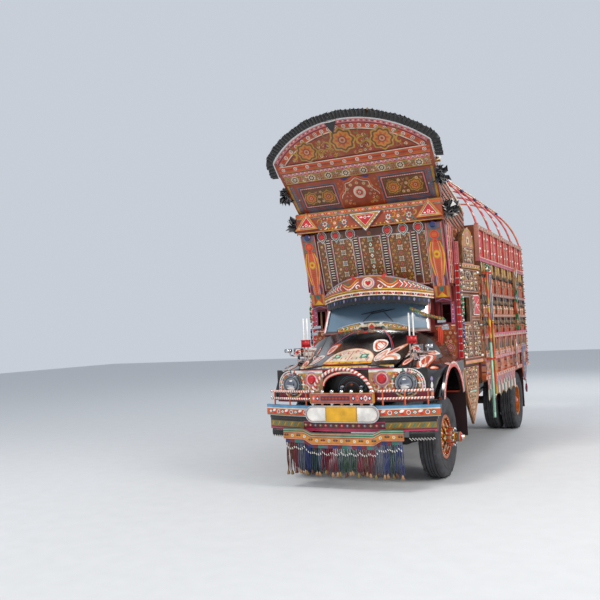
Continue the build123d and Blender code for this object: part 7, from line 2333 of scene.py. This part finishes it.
for low, top, key, others, count in RAIL_PAINT:
    cargo.band(1.471, 5.399, low - 0.004, low + 0.003, "black", OUT - 0.0200, step=0.2, wall=0.014)
    cargo.band(1.471, 5.399, low + 0.003, top - 0.003, key, OUT + 0.0010, step=0.2)
    for j in range(count):
        u = 1.471 + 3.928 * (j + 0.5) / count
        lozenge(cargo, u, (low + top) / 2, 0.050, (top - low) * 0.62, others[j % len(others)], OUT + 0.0018)
cargo.band(1.471, 5.399, 1.745, 1.768, "rose", OUT + 0.0150, step=0.2, wall=0.014)
cargo.band(1.471, 5.399, 2.882, 2.890, "cream", OUT + 0.0030, step=0.2)
for i in range(8):
    y = BAY0 + BAY * i
    for v0, v1, key in ((1.175, 1.360, "rust"), (1.425, 1.695, "peach"), (1.775, 2.005, "tan"),
                        (2.065, 2.325, "tan"), (2.385, 2.825, "tan"), (2.895, 3.295, "peach")):
        cargo.band(y - 0.028, y + 0.028, v0, v1, "umber" if key == "tan" else "rust", OUT + 0.0008)
        cargo.band(y - 0.020, y + 0.020, v0 + 0.006, v1 - 0.006, key, OUT + 0.0016)
        n = max(2, int((v1 - v0) / 0.055))
        for j in range(n):
            v = v0 + (v1 - v0) * (j + 0.5) / n
            pick = ("rust", "black", "teal", "umber")[(i + j) % 4] if key != "peach" else ("rose",
                                                                                           "cream")[j % 2]
            lozenge(cargo, y, v, 0.030, 0.040, pick, OUT + 0.0024)
    for v in (3.010, 3.190):
        cargo.dome(y, v, 0.018, "white", OUT + 0.0020, 10, 0.95)
        if i:
            cargo.dome(y - 0.116, v, 0.015, "white", 0.0170, 10, 0.95)
cargo.band(1.472, 1.528, 1.42, 2.83, "green_dark", OUT + 0.0032)
cargo.band(1.476, 1.486, 1.42, 2.83, "black", OUT + 0.0040)
for j in range(46):
    cargo.disc(1.506, 1.435 + 0.0305 * j, 0.0085, "yellow" if j % 3 else "red", OUT + 0.0046, 6)
    cargo.disc(1.522, 1.450 + 0.0305 * j, 0.0050, "mint", OUT + 0.0046, 6)

# painted scroll post of leaves over the sixth bay, down to the scroll in front of the wheel flap
post_y = 4.330
for k in range(5):
    v = 1.86 + 0.21 * k
    way = 1 if k % 2 else -1
    cargo.leaf(post_y - way * 0.02, v, 90 + way * 28, 0.250, 0.105,
               ("tan", "orange", "sky", "tan", "peach")[k], 0.0760, wall=0.040)
    cargo.leaf(post_y - way * 0.02, v + 0.02, 90 + way * 28, 0.190, 0.060,
               ("orange", "white", "green", "pink", "white")[k], 0.0770)
    cargo.leaf(post_y - way * 0.01, v + 0.05, 90 + way * 28, 0.120, 0.026,
               ("green", "navy", "orange", "green", "slate")[k], 0.0778)
    curl(cargo, post_y + way * 0.060, v + 0.09, 0.055, 90, -way, 0.022, "cream", 0.0768)
cargo.line([(post_y + 0.055 * sin(0.9 * k), 1.78 + 0.075 * k) for k in range(15)], 0.030, "green", 0.0800,
           wall=0.044)
cargo.disc(post_y, 2.760, 0.088, "peach", 0.0640, 16, wall=0.028)
ring(cargo, post_y, 2.760, 0.055, 0.085, "white", 0.0650, 16)
cargo.disc(post_y, 2.760, 0.045, "orange", 0.0654, 12)
wheel_scroll = [(3.985, 1.12), (3.985, 1.42), (4.02, 1.53), (4.09, 1.60), (4.17, 1.60), (4.21, 1.56),
                (4.14, 1.50), (4.105, 1.40), (4.10, 1.12)]
for size, key, h in ((0.97, "pink", 0.0520), (0.80, "white", 0.0528), (0.60, "orange", 0.0536),
                     (0.36, "green", 0.0544)):
    cargo.poly(scaled(wheel_scroll, 4.060, 1.36, size), key, h)
flap = [(4.690, 1.52), (4.690, 1.06), (4.800, 0.905), (4.920, 0.838), (5.040, 0.905), (5.145, 1.06),
        (5.145, 1.52)]
for size, key, h in ((0.985, "plum", 0.0440), (0.93, "lilac", 0.0446), (0.87, "rust", 0.0452),
                     (0.82, "navy", 0.0458)):
    cargo.poly(scaled(flap, 4.920, 1.22, size), key, h)
medallion(cargo, 4.920, 1.300, 0.125, 0.0466, ("gold", "teal", "orange", "cream", "white", "red"), 8)
for k in (-1, 1):
    curl(cargo, 4.920 + k * 0.10, 1.06, 0.060, 90, k, 0.022, "cream", 0.0466)
    cargo.leaf(4.920, 1.12, 270 + k * 34, 0.150, 0.060, "pink", 0.0466)
cargo.leaf(4.920, 1.12, 270, 0.190, 0.060, "mint", 0.0472)
cargo.done("root", "root")

# colour on the turned spindles, as sleeves; the black sections are partly their paint, partly painted shade
# for the dark gaps between them
spindles = Mesh("spindle_sleeves", "side_paint")
SPINDLE_X = 1.2013
SLEEVES = (((1.770, 2.010), ("orange", "black", "black"), 0),
           ((2.060, 2.330), ("peach", "black", "black"), 1), ((2.380, 2.830), ("orange", "black", "gold"), 2))
for i in range(7):
    for offset in (-0.2, 0.2):
        y = F + BAY0 + (i + 0.5 + offset) * BAY
        for (low, top), keys, kind in SLEEVES:
            third = (top - low) / 3
            for z0, r0, z1, r1, key in ((low + 0.006, 0.0222, low + third, 0.0275, keys[0]),
                                        (low + third, 0.0275, low + 1.5 * third, 0.0145, keys[0]),
                                        (low + 1.5 * third, 0.0145, low + 2 * third, 0.0275, keys[1]),
                                        (low + 2 * third, 0.0275, top - 0.006, 0.0205, keys[2])):
                spindles.tube([(SPINDLE_X, y, z0), (SPINDLE_X, y, z1)], [r0, r1], key, 0.0, 8, caps=False)
            spindles.ball((SPINDLE_X, y, low + third), 0.0290, ("rust", "cream", "black")[kind], 8, 4)
spindles.done("root", "root")

# wood planks on the inner faces of the cargo sides
planks = Board("inner_planks", plane((1.1695, F, 0.0), (0, -1, 0), (0, 0, 1)), "side_paint")
for k in range(9):
    v0 = 1.175 + 0.236 * k
    ends = ((1.48, 3.93), (4.26, 4.60), (5.24, 5.32)) if v0 < 1.6 else ((1.48, 5.32),)
    for y0, y1 in ends:
        planks.band(-y1, -y0, v0 + 0.003, v0 + 0.233, "wood" if k % 2 else "brown", 0.0015, step=0.5)
planks.done("root", "root")

# poles in their brackets, with spirals and bands
pole_wrap = Mesh("pole_wraps", "pole_paint")
POLE_X, POLE_YS = 1.300, (F + 1.560, F + 1.780)
WRAPS = ((0, 0.562, 0.640, "mint", 0.0), (0, 0.640, 1.640, "mint", 0.0),
         (0, 1.640, 1.700, ("red", "green"), 0.030), (0, 1.700, 2.150, ("orange", "yellow"), 0.20),
         (0, 2.150, 2.200, ("red", "cream"), 0.025), (0, 2.200, 2.680, ("orange", "gold"), 0.25),
         (0, 2.680, 2.738, ("white", "green"), 0.029), (1, 0.882, 1.900, ("orange", "gold"), 0.40),
         (1, 1.900, 1.960, ("yellow", "red"), 0.030), (1, 1.960, 2.640, "white", 0.0),
         (1, 2.640, 2.718, ("green", "white"), 0.026))
for pole, z0, z1, keys, pitch in WRAPS:
    n = max(2, int((z1 - z0) / 0.012)) if pitch else 2
    y = POLE_YS[pole]
    pole_wrap.tube([(POLE_X, y, z0 + (z1 - z0) * i / (n - 1)) for i in range(n)], 0.0192, keys, pitch, 12)
for dx in (-0.0135, 0.0135):
    pole_wrap.box((POLE_X + dx - 0.004, POLE_YS[1] - 0.0215, 1.965),
                  (POLE_X + dx + 0.004, POLE_YS[1] - 0.014, 2.635), "navy")
for y, z in zip(POLE_YS, (2.745, 2.726)):
    for k in range(7):
        a = 2 * pi * k / 7
        pole_wrap.ball((POLE_X - 0.004 + 0.012 * cos(a), y + 0.018 * sin(a), z + 0.020 + 0.012 * sin(3 * a)),
                       0.014, ("green", "white", "teal")[k % 3], 6, 4)
pole_wrap.done("root", "root")
clamps = Mesh("pole_clamps", "pole_paint")
for low in (1.385, 2.640):
    for y in POLE_YS:
        clamps.tube([(POLE_X, y, low + 0.006), (POLE_X, y, low + 0.034)], 0.0225, "red", 0.0, 12)
    clamps.box((1.236, F + 1.528, low + 0.008), (1.262, F + 1.812, low + 0.032), "rust")
clamps.done("root", "root", smooth=False)

# beads along the rear corner post
corner = Mesh("rear_corner_beads", "side_paint")
for k in range(50):
    corner.ball((1.236, F + 5.410, 1.10 + 0.0455 * k), 0.013,
                ("white", "lens_amber", "lens_blue", "cream", "red", "green")[k % 6], 8, 5)
corner.done("root", "root")

# rear frame and its header
rear_put = plane((0.0, F + 5.4205, 0.0), (-1, 0, 0), (0, 0, 1))
back = Board("rear_frame_paint", rear_put, "side_paint")
for k in (1, -1):
    a, c = sorted((k * 1.060, k * 1.165))
    back.band(a, c, 1.17, 3.345, "rust", 0.0010)
    back.band(a + 0.012, c - 0.012, 1.18, 3.335, "peach", 0.0016)
    for j in range(26):
        v = 1.23 + 0.082 * j
        lozenge(back, (a + c) / 2, v, 0.062, 0.070, ("rose", "teal", "orange", "navy")[j % 4], 0.0024)
        back.disc((a + c) / 2, v, 0.012, "cream", 0.0032, 6)
back.band(-1.055, 1.055, 3.020, 3.345, "dark_red", 0.0010)
back.band(-1.040, 1.040, 3.035, 3.330, "olive", 0.0016)
back.band(-1.020, 1.020, 3.055, 3.310, "rust", 0.0022)
for k in range(-3, 4):
    if k % 2:
        rosette(back, 0.29 * k, 3.182, 0.090, 0.0030, ("gold", "cream", "orange", "red"), 8)
    else:
        medallion(back, 0.29 * k, 3.182, 0.095, 0.0030)
    if k < 3:
        lozenge(back, 0.29 * k + 0.145, 3.182, 0.050, 0.13, "teal", 0.0030)
back.done()

# tailgate
gate = Board("tailgate_paint", rear_put, "side_paint")
for a, c in ((-0.970, -0.390), (-0.310, 0.310), (0.390, 0.970)):
    for v0, v1, first in ((1.245, 1.585, 0), (1.665, 2.025, 1)):
        gate.band(a, c, v0, v1, "dark_red", -0.0100)
        for k, key in enumerate(("gold", "teal", "rust")):
            e = 0.014 + 0.014 * k
            gate.band(a + e, c - e, v0 + e, v1 - e, key, -0.0092 + 0.0008 * k)
        mu, mv = (a + c) / 2, (v0 + v1) / 2
        medallion(gate, mu, mv, 0.095, -0.0062, ("gold", "olive", "orange", "yellow", "cream", "red") if first
                  else ("cream", "navy", "pink", "white", "gold", "rose"), 8)
        for k in (-1, 1):
            curl(gate, mu + k * 0.165, mv, 0.065, 90, k, 0.022, "cream", -0.0062)
            gate.leaf(mu + k * 0.105, mv, 90 - k * 90, 0.06, 0.040, "green", -0.0056)
for v in (1.205, 1.625, 2.065):
    gate.band(-1.040, 1.040, v - 0.032, v + 0.032, "orange", 0.0010)
    for j in range(34):
        lozenge(gate, -1.01 + 2.02 * (j + 0.5) / 34, v, 0.046, 0.044, ("cream", "navy", "red")[j % 3], 0.0018)
for x in (-1.009, -0.350, 0.350, 1.009):
    for v0, v1 in ((1.242, 1.588), (1.662, 2.028)):
        gate.band(x - 0.031, x + 0.031, v0, v1, "peach", 0.0010)
        for j in range(5):
            gate.disc(x, v0 + (v1 - v0) * (j + 0.5) / 5, 0.018, ("rose", "teal")[j % 2], 0.0018, 8)
gate.done("tailgate")

# rear lamps and the lozenge on the tail bar
back_bits = Mesh("tail_trim", "red_lens")
LAMP_Y, LAMP_Z = REAR + 0.690, 0.840
for x, key in ((0.76, "lens_red"), (0.90, "lens_amber")):
    back_bits.tube([(x, LAMP_Y + 0.120, LAMP_Z), (x, LAMP_Y + 0.127, LAMP_Z)], 0.044, "chrome", 0.0, 20)
    back_bits.tube([(x, LAMP_Y + 0.127, LAMP_Z), (x, LAMP_Y + 0.131, LAMP_Z)], 0.037, key, 0.0, 20)
back_bits.done("root", "root", smooth=False)
gem = Board("tail_lozenge", side_plane(1.1548), "flap_rubber")
gem_y = max(v.co.y for v in NODES["tail_bar"].data.vertices) - F - 0.080
for size, key, h in ((0.074, "plum", 0.0006), (0.056, "rose", 0.0014), (0.044, "dark_red", 0.0022),
                     (0.020, "gold", 0.0030)):
    lozenge(gem, gem_y, 0.640, 2 * size, 2 * size, key, h)
gem.done("root", "root")

# lashings round the roof hoops
hoops = Mesh("hoop_lashings", "hoop_paint")
HOOP_HALF, HOOP_TOP, HOOP_FOOT = 1.200, 4.340, 3.377
rad = arc_radius(HOOP_HALF, HOOP_TOP - HOOP_FOOT)
reach = asin(HOOP_HALF / rad)
for i in range(5):
    y = F + 1.470 + 0.050 + i * (3.93 - 0.1) / 4
    keys = (("pink", "red", "white"), ("rose", "cream", "red"), ("pink", "red", "white"), ("red", "pink"),
            ("gold", "orange"))[i]
    for a0, a1 in ((-0.93, -0.60), (-0.50, -0.10), (0.10, 0.50), (0.60, 0.93)):
        pts = []
        for j in range(26):
            a = reach * (a0 + (a1 - a0) * j / 25)
            pts.append((rad * sin(a), y, HOOP_TOP - rad + rad * cos(a)))
        hoops.tube(pts, 0.0168, keys, 0.16, 8)
    for x in (-0.800, 0.0, 0.800):
        z = HOOP_TOP - rad + sqrt(rad * rad - x * x)
        hoops.ball((x, y, z + 0.014), 0.034, "navy", 8, 5)
        hoops.ball((x, y + 0.018, z + 0.006), 0.028, "sky", 8, 5)
hoops.done()
